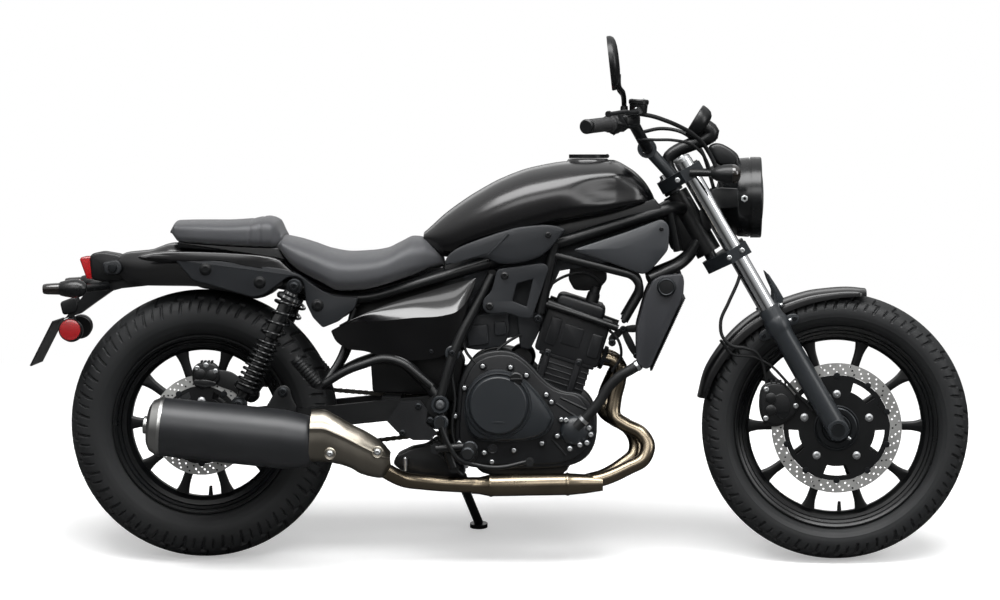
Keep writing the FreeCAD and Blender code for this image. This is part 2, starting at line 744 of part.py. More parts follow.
def fender_section(x, low, high, half, drop):
    """A fender section: an arch whose foot runs straight across."""
    side = [(share[0] * half, high - share[1] * (high - low)) for share in fender_arch_shares]
    arch = [Vector(x, y, z) for y, z in reversed(side)] + [Vector(x, -y, z) for y, z in side[1:]]
    curve = Part.BSplineCurve()
    curve.interpolate(Points=arch)
    left, right = arch[0] - Vector(0, 0, drop), arch[-1] - Vector(0, 0, drop)
    edges = [curve.toShape()]
    if drop > 0:
        edges += [Part.makeLine(arch[-1], right), Part.makeLine(right, left), Part.makeLine(left, arch[0])]
    else:
        edges += [Part.makeLine(arch[-1], arch[0])]
    return Part.Wire(edges)


def fender_loft(inset, drop):
    wires = [fender_section(top[0] * wheelbase, bottom[1] * seat_height, top[1] * seat_height - inset,
                            fender_half_width * wide - inset, drop) for top, bottom, wide in fender_stations]
    return Part.makeLoft(wires, True, False)


def rear_fender():
    return fender_loft(0, 0).cut(fender_loft(fender_wall, fender_wall * 2))


# Tail
rail_cover_shares = ((-0.038, 0.982), (0.014, 0.986), (0.069, 0.973), (0.122, 0.953), (0.153, 0.934),
                     (0.191, 0.893), (0.217, 0.866), (0.249, 0.859), (0.242, 0.826), (0.217, 0.796),
                     (0.196, 0.762), (0.169, 0.810), (0.167, 0.843), (0.160, 0.911), (0.144, 0.918),
                     (0.114, 0.887), (0.095, 0.872), (-0.006, 0.924))
rail_cover_y = 103.0
rail_cover_wall = 15.0
tail_lamp_shares = ((-0.178, 0.982), (-0.160, 1.005), (-0.140, 0.979), (-0.140, 0.926), (-0.171, 0.913))
tail_lamp_lens_shares = ((-0.194, 0.975), (-0.178, 0.985), (-0.172, 0.913), (-0.187, 0.917))
tail_lamp_half_width = 52.0
tail_arm_shares = ((-0.126, 0.925), (-0.083, 0.932), (-0.083, 0.893), (-0.129, 0.883), (-0.147, 0.873),
                   (-0.172, 0.837), (-0.198, 0.798), (-0.232, 0.775), (-0.219, 0.788), (-0.187, 0.870),
                   (-0.172, 0.899))
tail_arm_half_width = 24.0
plate_holder_shares = ((-0.232, 0.777), (-0.268, 0.632))
plate_holder_width = 178.0
plate_holder_wall = 4.0
reflector_centre = at((-0.205, 0.747))
reflector_radius = 27.0
reflector_root_share = (-0.219, 0.788)
reflector_depth = 9.0
reflector_y = 62.0
signal_y = 168.0
signal_length = 88.0
signal_radius = 23.0
signal_stem_radius = 7.0
rear_signal_centre = at((-0.207, 0.892))
rear_stem_root_share = (-0.160, 0.900)


def tail_light():
    housing = plate(tail_lamp_shares, -tail_lamp_half_width, tail_lamp_half_width)
    lens = plate(tail_lamp_lens_shares, -tail_lamp_half_width, tail_lamp_half_width)
    return fused([housing, lens])


def licence_bracket():
    """The arm behind the fender, the blank plate's holder and two round reflectors."""
    arm = plate(tail_arm_shares, -tail_arm_half_width, tail_arm_half_width)
    top, foot = at(plate_holder_shares[0]), at(plate_holder_shares[1])
    way = foot - top
    thick = Vector(way.z, 0, -way.x)
    thick.normalize()
    half = Vector(0, plate_holder_width / 2, 0)
    corners = [top - half, top + half, foot + half, foot - half]
    holder = Part.Face(Part.makePolygon(corners + [corners[0]])).extrude(thick * plate_holder_wall)
    pieces = [arm, holder]
    for side in (-1, 1):
        seat_at = Vector(reflector_centre.x, side * reflector_y, reflector_centre.z)
        pieces.append(rod(seat_at, seat_at + Vector(0, side * reflector_depth * 2, 0), reflector_radius))
    tail = at(reflector_root_share) + Vector(reflector_depth, 0, 0)
    pieces.append(rod(tail, Vector(reflector_centre.x, 0, reflector_centre.z), reflector_depth))
    stay = rod(Vector(reflector_centre.x, -reflector_y, reflector_centre.z),
               Vector(reflector_centre.x, reflector_y, reflector_centre.z), reflector_depth / 2)
    pieces.append(stay)
    return fused(pieces)


bullet_shares = ((0.0, 0.3), (0.3, 0.8), (0.72, 1.0), (0.93, 0.8), (1.0, 0.45))


def bullet(centre, length, radius, nose):
    """A lamp body that is round about the machine's length and tapers away from its lens."""
    back = centre - Vector(nose * length / 2, 0, 0)
    blunt, flank, widest, cheek, brow = (Vector(nose * length * along, 0, radius * out)
                                         for along, out in bullet_shares)
    tail, tip = Vector(0, 0, 0), Vector(nose * length, 0, 0)
    edges = [Part.makeLine(tail, blunt), Part.Arc(blunt, flank, widest).toShape(),
             Part.Arc(widest, cheek, brow).toShape(), Part.makeLine(brow, tip), Part.makeLine(tip, tail)]
    body = Part.Face(Part.Wire(edges)).revolve(Vector(0, 0, 0), Vector(1, 0, 0), 360)
    body.translate(back)
    return body


rear_stem_root_y = tail_arm_half_width + signal_stem_radius * 0.4


def rear_signals():
    pieces = []
    for side in (-1, 1):
        centre = Vector(rear_signal_centre.x, side * signal_y, rear_signal_centre.z)
        lamp = bullet(centre, signal_length, signal_radius, -1)
        root = at(rear_stem_root_share, side * rear_stem_root_y)
        stem = rod(root, centre + Vector(signal_length / 5, 0, 0), signal_stem_radius)
        pieces.append(fused([lamp, stem]))
    return Part.Compound(pieces)


# Covers
side_cover_shares = ((0.207, 0.750), (0.237, 0.784), (0.263, 0.815), (0.299, 0.841), (0.352, 0.875),
                     (0.407, 0.909), (0.446, 0.928), (0.427, 0.854), (0.412, 0.783), (0.383, 0.669),
                     (0.299, 0.663), (0.262, 0.686), (0.219, 0.692))
side_cover_y = 115.5
side_cover_thickness = 12.0
tank_cover_shares = ((0.576, 1.080), (0.548, 1.090), (0.509, 1.077), (0.465, 1.051), (0.420, 1.019),
                     (0.390, 0.993), (0.386, 0.961), (0.414, 0.980), (0.449, 0.990), (0.465, 0.976),
                     (0.495, 0.969), (0.535, 0.993), (0.554, 1.029))
tank_cover_y = 123.5
tank_cover_thickness = 14.0
duct_cover_shares = ((0.583, 1.015), (0.682, 1.066), (0.727, 1.112), (0.734, 1.092), (0.735, 1.002),
                     (0.704, 0.963))
duct_cover_y = 117.0
duct_cover_thickness = 8.0
duct_slot_shares = (0.724, 1.079)
duct_slot_radius = 6.0
hang_cover_shares = ((0.476, 0.938), (0.532, 0.959), (0.519, 0.854), (0.508, 0.795), (0.454, 0.818),
                     (0.450, 0.838))
hang_cover_window_shares = ((0.498, 0.909), (0.523, 0.921), (0.513, 0.834), (0.490, 0.850))
hang_cover_y = 124.0
hang_cover_thickness = 8.0


def side_covers():
    face = -side_cover_y
    cover = plate(side_cover_shares, face, face - side_cover_thickness)
    return pair(cover)


def tank_covers():
    cover = plate(tank_cover_shares, -tank_cover_y, -tank_cover_y - tank_cover_thickness)
    return pair(cover.cut(tank_body(-fit)))


def frame_covers():
    """The panels beside the frame ahead of and below the tank."""
    duct = plate(duct_cover_shares, -duct_cover_y, -duct_cover_y - duct_cover_thickness)
    slot = rod(at(duct_slot_shares, 0), at(duct_slot_shares, -2 * duct_cover_y), duct_slot_radius)
    hang = plate(hang_cover_shares, -hang_cover_y, -hang_cover_y - hang_cover_thickness)
    window = plate(hang_cover_window_shares, 0, -2 * hang_cover_y)
    return Part.Compound([duct.cut(slot), mirrored(duct.cut(slot)), hang.cut(window),
                          mirrored(hang.cut(window))])


# Cooling
shroud_shares = ((0.710, 0.920), (0.758, 0.915), (0.757, 0.871), (0.704, 0.627), (0.685, 0.643),
                 (0.691, 0.759))
core_shares = ((0.716, 0.898), (0.743, 0.891), (0.695, 0.636), (0.676, 0.656))
radiator_half_width = 150.0
shroud_wall = 8.0
radiator_hose_radius = 12.0
pump_radius = 32.0
pump_depth = 26.0
hose_shares = ((0.682, 0.630), (0.657, 0.618), (0.640, 0.557), (0.629, 0.499), (0.591, 0.428))
hose_y = 132.0


def radiator():
    """The finned core between its two side shrouds."""
    core = plate(core_shares, -radiator_half_width, radiator_half_width)
    shroud = plate(shroud_shares, -radiator_half_width + overrun, -radiator_half_width - shroud_wall)
    return fused([core, shroud, mirrored(shroud)])


def coolant_hose():
    """The pump's round housing and the hose up to the radiator."""
    points = [at(share, -hose_y) for share in hose_shares]
    hose = tube(points, radiator_hose_radius)
    centre = at(hose_shares[-1], -case_half_width - fit)
    pump = rod(centre, centre - Vector(0, pump_depth, 0), pump_radius)
    return fused([pump, hose])


# Exhaust
header_radius = 17.0
collector_radius = 26.0
collector_mouth = collector_radius * 1.4
link_radius = 19.0
header_shares = ((0.629, 0.663), (0.659, 0.634), (0.655, 0.557), (0.652, 0.468), (0.682, 0.429),
                 (0.704, 0.394), (0.699, 0.336), (0.655, 0.285), (0.613, 0.260), (0.579, 0.252))
header_y_shares = (0.42, 0.42, 0.42, 0.5, 0.6, 0.7, 0.8, 0.93, 1.0, 1.0)
second_header_y_shares = (-0.42, -0.42, -0.42, -0.2, 0.0, 0.15, 0.35, 0.55, 0.62, 0.62)
exhaust_y = 112.0
collector_shares = ((0.580, 0.251), (0.447, 0.249))
link_shares = ((0.451, 0.259), (0.333, 0.269), (0.278, 0.328), (0.211, 0.401))
link_y_shares = (1.0, 1.2, 1.62, 1.79)
silencer_y = 208.0
silencer_shares = ((0.177, 0.401), (-0.060, 0.450))
silencer_radius = 70.0
silencer_nose_radius = 35.0
silencer_nose_depth = silencer_radius / 4
silencer_cap_radius = silencer_radius * 0.72
hanger_inset_share = 0.75
silencer_cap_share = 0.1
outlet_radius = 24.0
outlet_depth = 30.0
shield_shares = ((0.188, 0.503), (0.197, 0.501), (0.220, 0.481), (0.265, 0.429), (0.289, 0.390),
                 (0.302, 0.357), (0.303, 0.319), (0.297, 0.274), (0.272, 0.274), (0.249, 0.304),
                 (0.220, 0.327), (0.188, 0.330))
shield_thickness = 6.0
shield_y = 269.0
shield_post_radius = 8.0
shield_post_shares = ((0.213, 0.409), (0.282, 0.342))
hanger_shares = ((0.137, 0.583), (0.124, 0.564), (0.109, 0.461), (0.161, 0.452), (0.149, 0.564))


hanger_hole_share = (0.137, 0.557)


def exhaust_pipes():
    """Two headers that join in a collector, and the pipe on to the silencer."""
    pieces = []
    for shares in (header_y_shares, second_header_y_shares):
        path = [at(share, -exhaust_y * wide) for share, wide in zip(header_shares, shares)]
        pieces.append(tube(path, header_radius))
    start, end = (at(share, -exhaust_y) for share in collector_shares)
    pieces.append(rod(start, end, collector_radius))
    pieces.append(Part.makeCone(collector_radius, header_radius, collector_mouth, start, start - end))
    pieces.append(tube([at(share, -exhaust_y * wide) for share, wide in zip(link_shares, link_y_shares)],
                       link_radius))
    return fused(pieces)


def silencer():
    """The tapered can with its domed end cap, open at the outlet, and its hanger."""
    front, back = (at(share, -silencer_y) for share in silencer_shares)
    way = back - front
    length = way.Length
    axis = way * (1 / length)
    body_end = front + axis * (length * (1 - silencer_cap_share))
    can = rod(front, body_end, silencer_radius)
    cap = Part.makeCone(silencer_radius, silencer_cap_radius, length * silencer_cap_share, body_end, axis)
    nose = Part.makeCone(silencer_nose_radius, silencer_radius, silencer_nose_depth,
                         front - axis * silencer_nose_depth, axis)
    outlet = rod(back - axis * outlet_depth, back + axis * overrun, outlet_radius)
    hanger_y = silencer_y - silencer_radius * hanger_inset_share
    hanger = plate(hanger_shares, -hanger_y, -hanger_y + cover_wall)
    body = fused([can, cap, nose, hanger]).cut(outlet)
    hole = cross_rod(at(hanger_hole_share, -silencer_y), silencer_y, bolt_radius / 2)
    pipe = exhaust_room()
    return body.cut([hole, pipe])


def exhaust_room():
    return tube([at(share, -exhaust_y * wide) for share, wide in zip(link_shares, link_y_shares)],
                link_radius + fit)


def heat_shield():
    """The guard on the outside of the pipe, ahead of the silencer."""
    guard = plate(shield_shares, -shield_y, -shield_y + shield_thickness)
    pipe = exhaust_pipes()
    posts = [rod(at(share, -shield_y + shield_thickness / 2), at(share, -silencer_y), shield_post_radius)
             for share in shield_post_shares]
    return fused([guard] + posts).cut(pipe).Solids[0]


# Foot controls
peg_radius = 12.0
peg_inner_y = 160.0
peg_outer_y = 372.0
peg_centre = at((0.428, 0.383))
foot_boss = at((0.373, 0.375))
foot_bracket_y = 162.5
heel_plate_shares = ((0.318, 0.528), (0.349, 0.531), (0.360, 0.499), (0.358, 0.457), (0.375, 0.428),
                     (0.366, 0.402), (0.338, 0.402), (0.313, 0.428), (0.297, 0.463))
heel_plate_y = 156.0
heel_plate_wall = 5.0
pedal_shares = ((0.380, 0.461), (0.390, 0.403), (0.408, 0.336), (0.469, 0.311), (0.520, 0.338))
pedal_radius = 5.5
pedal_y = 179.0
lever_shares = ((0.380, 0.407), (0.408, 0.317), (0.492, 0.350))
lever_pad_length = 48.0
pillion_peg_shares = ((0.153, 0.666), (0.189, 0.582))
pillion_peg_radius = 13.0
stay_shares = ((0.198, 0.583), (0.226, 0.674), (0.243, 0.832))
stay_y_shares = (1.0, 0.75, 0.67)
stay_radius = 8.0
arch_shares = ((0.195, 0.577), (0.231, 0.625), (0.290, 0.666), (0.321, 0.650), (0.366, 0.573))
arch_radius = 10.0
arch_y = 138.0


peg_hanger_radius = peg_radius * 0.8
peg_foot_half_width = peg_radius * 0.6


def footrests():
    """Rider pegs on hangers that start at the pivot plates."""
    pieces = []
    for side in (-1, 1):
        inner = Vector(peg_centre.x, side * peg_inner_y, peg_centre.z)
        outer = Vector(peg_centre.x, side * peg_outer_y, peg_centre.z)
        root = Vector(foot_boss.x, side * foot_bracket_y, foot_boss.z)
        pieces.append(fused([rod(inner, outer, peg_radius), rod(root, inner, peg_hanger_radius),
                             cross_rod(root, peg_foot_half_width, peg_radius),
                             cross_rod(inner, peg_radius, peg_radius)]))
    return Part.Compound(pieces)


def heel_plates():
    return pair(plate(heel_plate_shares, -heel_plate_y, -heel_plate_y - heel_plate_wall))


pedal_pad_radius = pedal_radius * 1.6


def foot_controls():
    """The brake pedal on the right and the gear lever on the left."""
    brake = tube([at(share, -pedal_y) for share in pedal_shares], pedal_radius)
    tip = at(pedal_shares[-1], -pedal_y)
    pad = rod(tip - Vector(0, pedal_radius * 2, 0), tip - Vector(0, lever_pad_length, 0), pedal_pad_radius)
    brake = fused([brake, pad, rod(tip, tip - Vector(0, pedal_radius * 3, 0), pedal_radius),
                   cross_rod(at(pedal_shares[0], -pedal_y), pedal_pad_radius, pedal_radius * 2)])
    gear = tube([at(share, pedal_y) for share in lever_shares], pedal_radius)
    end = at(lever_shares[-1], pedal_y)
    gear = fused([gear, rod(end, end + Vector(0, lever_pad_length, 0), pedal_pad_radius),
                  cross_rod(at(lever_shares[0], pedal_y), pedal_pad_radius, pedal_radius * 2)])
    return Part.Compound([brake, gear])


rail_elbow_radius = rail_tube_radius * 1.2


def rail_elbow(side):
    """The round end of the seat rail's first run, with room about it."""
    return Part.makeSphere(rail_elbow_radius, rail_place(1, side))


def rail_place(index, side):
    """A corner of a seat rail."""
    return at(seat_rail_shares[index], side * frame_half_width * seat_rail_y_shares[index])


pillion_peg_gap = 4.0
pillion_lug_radius = pillion_peg_radius * 0.9


def pillion_footrests():
    """Folded pillion pegs on their looped stays."""
    pieces = []
    for side in (-1, 1):
        loop = tube([at(share, side * arch_y) for share in arch_shares], arch_radius)
        rail = rod(rail_place(0, side), rail_place(1, side), rail_tube_radius + fit)
        bends = [at(share, side * arch_y * wide) for share, wide in zip(stay_shares, stay_y_shares)]
        stay = tube(bends, stay_radius)
        stay = stay.cut([rail, rail_elbow(side)])
        low, high = at(pillion_peg_shares[1], side * arch_y), at(pillion_peg_shares[0], side * arch_y)
        out = Vector(0, side * (arch_radius + pillion_peg_radius + pillion_peg_gap), 0)
        peg = rod(low + out, high + out, pillion_peg_radius)
        lug = rod(low, low + out, pillion_lug_radius)
        link = rod(at(arch_shares[0], side * arch_y), low, arch_radius)
        pieces.append(fused([loop, stay, peg, lug, link]))
    return Part.Compound(pieces)


# Side stand
stand_foot_ahead = 45.0
stand_foot_y = 258.0
stand_radius = 11.0
stand_foot_radius = 22.0
stand_foot_height = 10.0


def ground_height(y):
    """How high the floor is, beside the upright machine, once it leans."""
    return y * math.tan(math.radians(lean_degrees)) - lean_drop() / math.cos(math.radians(lean_degrees))


def lean_drop():
    """How far the leaned tyres, on the edge of their tread, reach below the line they stood on upright."""
    return tread_flat * math.sin(math.radians(lean_degrees))


def side_stand():
    """The leg, its pivot boss and a flat foot that lies on the floor."""
    foot = Vector(stand_pivot.x + stand_foot_ahead, stand_foot_y, ground_height(stand_foot_y))
    up = Vector(0, -math.sin(math.radians(lean_degrees)), math.cos(math.radians(lean_degrees)))
    pad = Part.makeCylinder(stand_foot_radius, stand_foot_height, foot, up)
    reach = stand_axis * stand_boss_radius
    boss = rod(stand_pivot - reach, stand_pivot + reach, stand_boss_radius)
    bore = rod(stand_pivot - reach * 2, stand_pivot + reach * 2, stand_pin_radius + fit)
    leg = rod(stand_pivot, foot + up * stand_radius, stand_radius)
    floor = Part.makeBox(stand_foot_y, stand_foot_y, stand_foot_y,
                         Vector(-stand_foot_y / 2, -stand_foot_y / 2, -stand_foot_y))
    floor.rotate(Vector(0, 0, 0), Vector(1, 0, 0), lean_degrees)
    floor.translate(foot)
    return fused([boss, leg, pad]).cut([floor, bore])


# Front end
bar_radius = 12.7
grip_radius = 17.0
bar_places = ((-0.08, 0.0, 0.803), (-0.08, 80.0, 0.803), (-0.05, 190.0, 0.872), (-0.85, 270.0, 0.896),
              (-1.84, 392.0, 0.919))
bar_height = 1000.0
riser_half_spread = 36.0
bar_bend_share = 0.2
riser_radius = 14.0
mirror_radius = 60.0
mirror_depth = 24.0
mirror_centre = at((0.650, 1.617))
mirror_y = 330.0
headlamp_radius = 97.0
headlamp_back = 76.0
headlamp_lens_depth = 30.0
headlamp_centre = at((0.873, 1.182))
lamp_bracket_shares = ((0.801, 1.219), (0.851, 1.209), (0.865, 1.199), (0.867, 1.176), (0.854, 1.154),
                       (0.810, 1.144))
lamp_bracket_wall = 6.0
meter_centre = at((0.785, 1.422))
meter_radius = 43.0
meter_depth = 34.0
meter_axis = Vector(-0.85, 0, 0.53)
cowl_shares = ((0.797, 1.347), (0.807, 1.365), (0.821, 1.362), (0.848, 1.318), (0.852, 1.279),
               (0.838, 1.285), (0.811, 1.331))
cowl_half_width = 48.0
front_signal_centre = at((0.823, 1.261))
front_signal_y = 165.0
front_signal_length = 72.0
fender_gap = 23.0
fender_edge_drop = 24.0
fender_front_degrees = 12.0
fender_rear_degrees = 78.0
front_fender_half_width = 77.0
front_fender_wall = 3.0
caliper_shares = ((0.891, 0.584), (0.919, 0.571), (0.938, 0.519), (0.933, 0.460), (0.910, 0.435),
                  (0.888, 0.447), (0.877, 0.525))
rear_caliper_shares = ((-0.019, 0.610), (-0.006, 0.639), (0.021, 0.646), (0.032, 0.616), (0.028, 0.564),
                       (-0.016, 0.558))
caliper_slot = 9.0
front_hose_shares = ((0.850, 0.913), (0.835, 0.855), (0.816, 0.791), (0.820, 0.730), (0.851, 0.690),
                     (0.880, 0.666), (0.886, 0.610))
hose_radius = 4.0
hose_y_shares = (0.8, 0.95, 1.0, 1.0, 0.92, 0.7, 0.62)
front_hose_y = 112.0


def fork_tubes():
    tubes = [rod(steered(fork_offset, side * fork_spread, slider_length + fit),
                 steered(fork_offset, side * fork_spread, fork_top), fork_tube_radius) for side in (-1, 1)]
    return Part.Compound(tubes)


axle_lug_half_width = fork_slider_radius * 0.95


def slider_leg(side, room):
    """A lower leg's round body, with that much room about it."""
    return rod(steered(fork_offset, side * fork_spread, -slider_foot),
               steered(fork_offset, side * fork_spread, slider_length), fork_slider_radius + room)


def fork_sliders():
    """Lower legs with the axle's lugs."""
    pieces = []
    for side in (-1, 1):
        leg = slider_leg(side, 0)
        lug = cross_rod(Vector(front_axle.x, side * fork_spread, front_axle.z), axle_lug_half_width,
                        fork_slider_radius)
        bore = cross_rod(front_axle, fork_spread * 2, axle_radius + fit)
        pieces.append(fused([leg, lug]).cut(bore))
    return Part.Compound(pieces)


def clamp_plate(height, thickness):
    """A fork clamp: a waisted plate with a bore for each fork tube."""
    wide = fork_spread + fork_tube_radius + clamp_wall
    outline = ((-stem_radius - clamp_wall, stem_radius + clamp_wall), (fork_offset - fork_tube_radius, wide),
               (fork_offset + fork_tube_radius + clamp_wall, wide),
               (fork_offset + fork_tube_radius + clamp_wall, fork_spread - fork_tube_radius - clamp_wall),
               (fork_offset - fork_tube_radius / 2, stem_radius * 2))
    low = height - thickness / 2
    corners = [steered(ahead, left, low) for ahead, left in outline]
    corners += [steered(ahead, -left, low) for ahead, left in reversed(outline)]
    body = Part.Face(Part.makePolygon(corners + [corners[0]])).extrude(steering_up * thickness)
    bores = [rod(steered(fork_offset, side * fork_spread, low - overrun),
                 steered(fork_offset, side * fork_spread, low + thickness + overrun),
                 fork_tube_radius + fit) for side in (-1, 1)]
    return body.cut(bores)


bar_clamp_half_width = riser_radius * 1.3
bar_clamp_radius = bar_radius * 1.8


def triple_clamps():
    """Both fork clamps and the stem between them, with the handlebar's two risers."""
    upper = clamp_plate(upper_clamp_height, clamp_thickness)
    lower = clamp_plate(lower_clamp_height, clamp_thickness)
    stem = rod(steered(0, 0, lower_clamp_height - clamp_thickness / 2),
               steered(0, 0, upper_clamp_height + clamp_thickness / 2), stem_radius)
    pieces = [upper, lower, stem]
    bar = bar_point(0, 0)
    for side in (-1, 1):
        foot = steered(fork_offset / 3, side * riser_half_spread, upper_clamp_height)
        top = bar + Vector(0, side * riser_half_spread, 0)
        pieces.append(rod(foot, top, riser_radius))
        pieces.append(cross_rod(top, bar_clamp_half_width, bar_clamp_radius))
    low_bore = rod(steered(0, 0, lower_clamp_height - clamp_thickness),
                   steered(0, 0, lower_clamp_height + clamp_thickness), stem_bore_radius)
    hole = cross_rod(bar, riser_half_spread * 2, bar_radius + fit)
    return fused(pieces).cut([low_bore, hole])


stem_bore_radius = 9.0


def bar_point(index, side):
    ahead, left, up = bar_places[index]
    return steered(ahead * fork_offset, side * left, up * bar_height)


def handlebar():
    path = [bar_point(4, -1), bar_point(3, -1), bar_point(2, -1), bar_point(1, -1),
            bar_point(1, 1), bar_point(2, 1), bar_point(3, 1), bar_point(4, 1)]
    return tube(path, bar_radius, bar_bend_share)


grip_shares = (0.12, 1.02)
switch_radius = 21.0
switch_root_share = 0.56
lever_reach = 55.0
lever_radius = 6.0
reservoir_radius = 22.0
reservoir_height = 34.0


switch_end_share = 0.132
lever_spread_share = 1.1
cup_place_share = 0.8
perch_radius = 9.6
lever_knob_radius = 9.0
grip_overhang = 16.0


def hand_controls():
    """Grips, switch housings, levers and the front brake's reservoir, each side one solid."""
    pieces = []
    for side in (-1, 1):
        inner, outer = bar_point(3, side), bar_point(4, side)
        way = outer - inner
        unit = way * (1 / way.Length)
        grip = rod(inner + way * grip_shares[0], inner + way * grip_shares[1], grip_radius)
        before = bar_point(2, side) - inner
        before.normalize()
        housing = rod(inner + before * switch_radius * 3, inner + way * switch_end_share, switch_radius)
        root = inner + before * switch_radius
        hinge = root + steering_ahead * lever_reach
        tip = root + (steering_ahead * lever_reach + way) * lever_spread_share + unit * switch_radius
        perch = rod(root, hinge, perch_radius)
        blade = rod(hinge, tip, lever_radius)
        knob = Part.makeSphere(lever_knob_radius, tip)
        parts = [grip, housing, perch, blade, knob]
        if side < 0:
            cup = root + steering_ahead * (lever_reach * cup_place_share) + before * switch_radius
            parts.append(rod(cup, cup + Vector(0, 0, reservoir_height), reservoir_radius))
            parts.append(rod(root, cup, perch_radius))
        bends = [outer + unit * grip_overhang, inner, bar_point(2, side), bar_point(1, side)]
        hole = tube(bends, bar_radius + fit, bar_bend_share)
        pieces.append(fused(parts).cut(hole))
    return Part.Compound(pieces)


mirror_tilt_degrees = 6.2
mirror_back_radius = mirror_radius * 0.6
mirror_neck_ahead = mirror_depth * 0.6
mirror_bend_shares = (0.2, 0.5, 0.6)


def mirrors():
    """Round heads on bent stems."""
    pieces = []
    for side in (-1, 1):
        centre = Vector(mirror_centre.x, side * mirror_y, mirror_centre.z)
        face = Vector(-math.cos(math.radians(mirror_tilt_degrees)), 0,
                      -math.sin(math.radians(mirror_tilt_degrees)))
        middle = centre - face * (mirror_depth / 2)
        head = Part.makeCylinder(mirror_radius, mirror_depth / 2, middle, face)
        back = Part.makeCone(mirror_radius, mirror_back_radius, mirror_depth / 2, middle, -face)
        foot = bar_point(3, side) + (bar_point(2, side) - bar_point(3, side)) * switch_root_share
        neck = Vector(centre.x + mirror_neck_ahead, centre.y, centre.z - mirror_radius / 2)
        bend = Vector(*(lerp(low, high, share) for low, high, share in zip(foot, neck, mirror_bend_shares)))
        stem = tube([foot, bend, neck], lever_radius)
        perch = hand_controls().Solids
        rest = fused([head, back, stem]).cut(perch)
        pieces.append(max(rest.Solids, key=lambda piece: piece.Volume))
    return Part.Compound(pieces)


lens_radius_share = 0.93
bezel_depth = headlamp_lens_depth * 0.4
lens_flat_share = 0.2
lens_dome_shares = (0.85, 0.55)
bowl_flat_share = 0.3
bowl_side_shares = (-0.7, 0.72)


def headlight():
    """The round lamp body and its lens, and the arms that hold it to the fork."""
    centre = headlamp_centre
    brim = Vector(0, 0, headlamp_radius)
    bezel = Vector(bezel_depth, 0, headlamp_radius)
    lens_rim = Vector(bezel_depth, 0, headlamp_radius * lens_radius_share)
    dome = Vector(headlamp_lens_depth * lens_dome_shares[0], 0, headlamp_radius * lens_dome_shares[1])
    nose = Vector(headlamp_lens_depth, 0, 0)
    nose_rim = nose + brim * lens_flat_share
    bowl = Vector(headlamp_back * bowl_side_shares[0], 0, headlamp_radius * bowl_side_shares[1])
    stern = Vector(-headlamp_back, 0, 0)
    stern_rim = stern + brim * bowl_flat_share
    profile = [Part.makeLine(stern, stern_rim), Part.Arc(stern_rim, bowl, brim).toShape(),
               Part.makeLine(brim, bezel), Part.makeLine(bezel, lens_rim),
               Part.Arc(lens_rim, dome, nose_rim).toShape(), Part.makeLine(nose_rim, nose),
               Part.makeLine(nose, stern)]
    body = Part.Face(Part.Wire(profile)).revolve(Vector(0, 0, 0), Vector(1, 0, 0), 360)
    body.translate(centre)
    y = fork_spread - fork_tube_radius
    arm = plate(lamp_bracket_shares, -y - lamp_bracket_wall, -y + lamp_bracket_wall)
    arm = arm.cut(rod(steered(fork_offset, -fork_spread, slider_length),
                      steered(fork_offset, -fork_spread, fork_top), fork_tube_radius + fit))
    bolt = cross_rod(at(lamp_bolt_share), y + lamp_bracket_wall * 2, bolt_radius)
    return fused([body, arm, mirrored(arm), bolt])


lamp_bolt_share = (0.854, 1.183)


meter_neck_radius = riser_radius * 0.8


def instrument():
    """The round meter over the clamp, and the small cowl ahead of it."""
    axis = Vector(meter_axis)
    axis.normalize()
    meter = Part.makeCylinder(meter_radius, meter_depth, meter_centre - axis * meter_depth / 2, axis)
    cowl = plate(cowl_shares, -cowl_half_width, cowl_half_width)
    post = rod(meter_centre - axis * meter_depth / 4, at(cowl_shares[1]), riser_radius)
    seat_at = steered(fork_offset / 3, 0, upper_clamp_height + clamp_thickness / 2 + fit)
    foot = rod(seat_at, seat_at + steering_up * riser_radius * 2, riser_radius)
    neck = rod(seat_at + steering_up * riser_radius, meter_centre, meter_neck_radius)
    bowl = rod(headlamp_centre - Vector(headlamp_back, 0, 0), headlamp_centre + Vector(headlamp_back, 0, 0),
               headlamp_radius + fit)
    return fused([meter, cowl.cut(bowl), post, foot, neck])


def front_signals():
    pieces = []
    for side in (-1, 1):
        centre = Vector(front_signal_centre.x, side * front_signal_y, front_signal_centre.z)
        lamp = bullet(centre, front_signal_length, signal_radius, 1)
        beside = side * (fork_spread + fork_tube_radius + clamp_wall + fit)
        root = steered(fork_offset, beside, upper_clamp_height)
        stem = rod(root, centre - Vector(front_signal_length / 4, 0, 0), signal_stem_radius)
        clamp = clamp_plate(upper_clamp_height, clamp_thickness * 2)
        pieces.append(fused([lamp, stem]).cut(clamp))
    return Part.Compound(pieces)


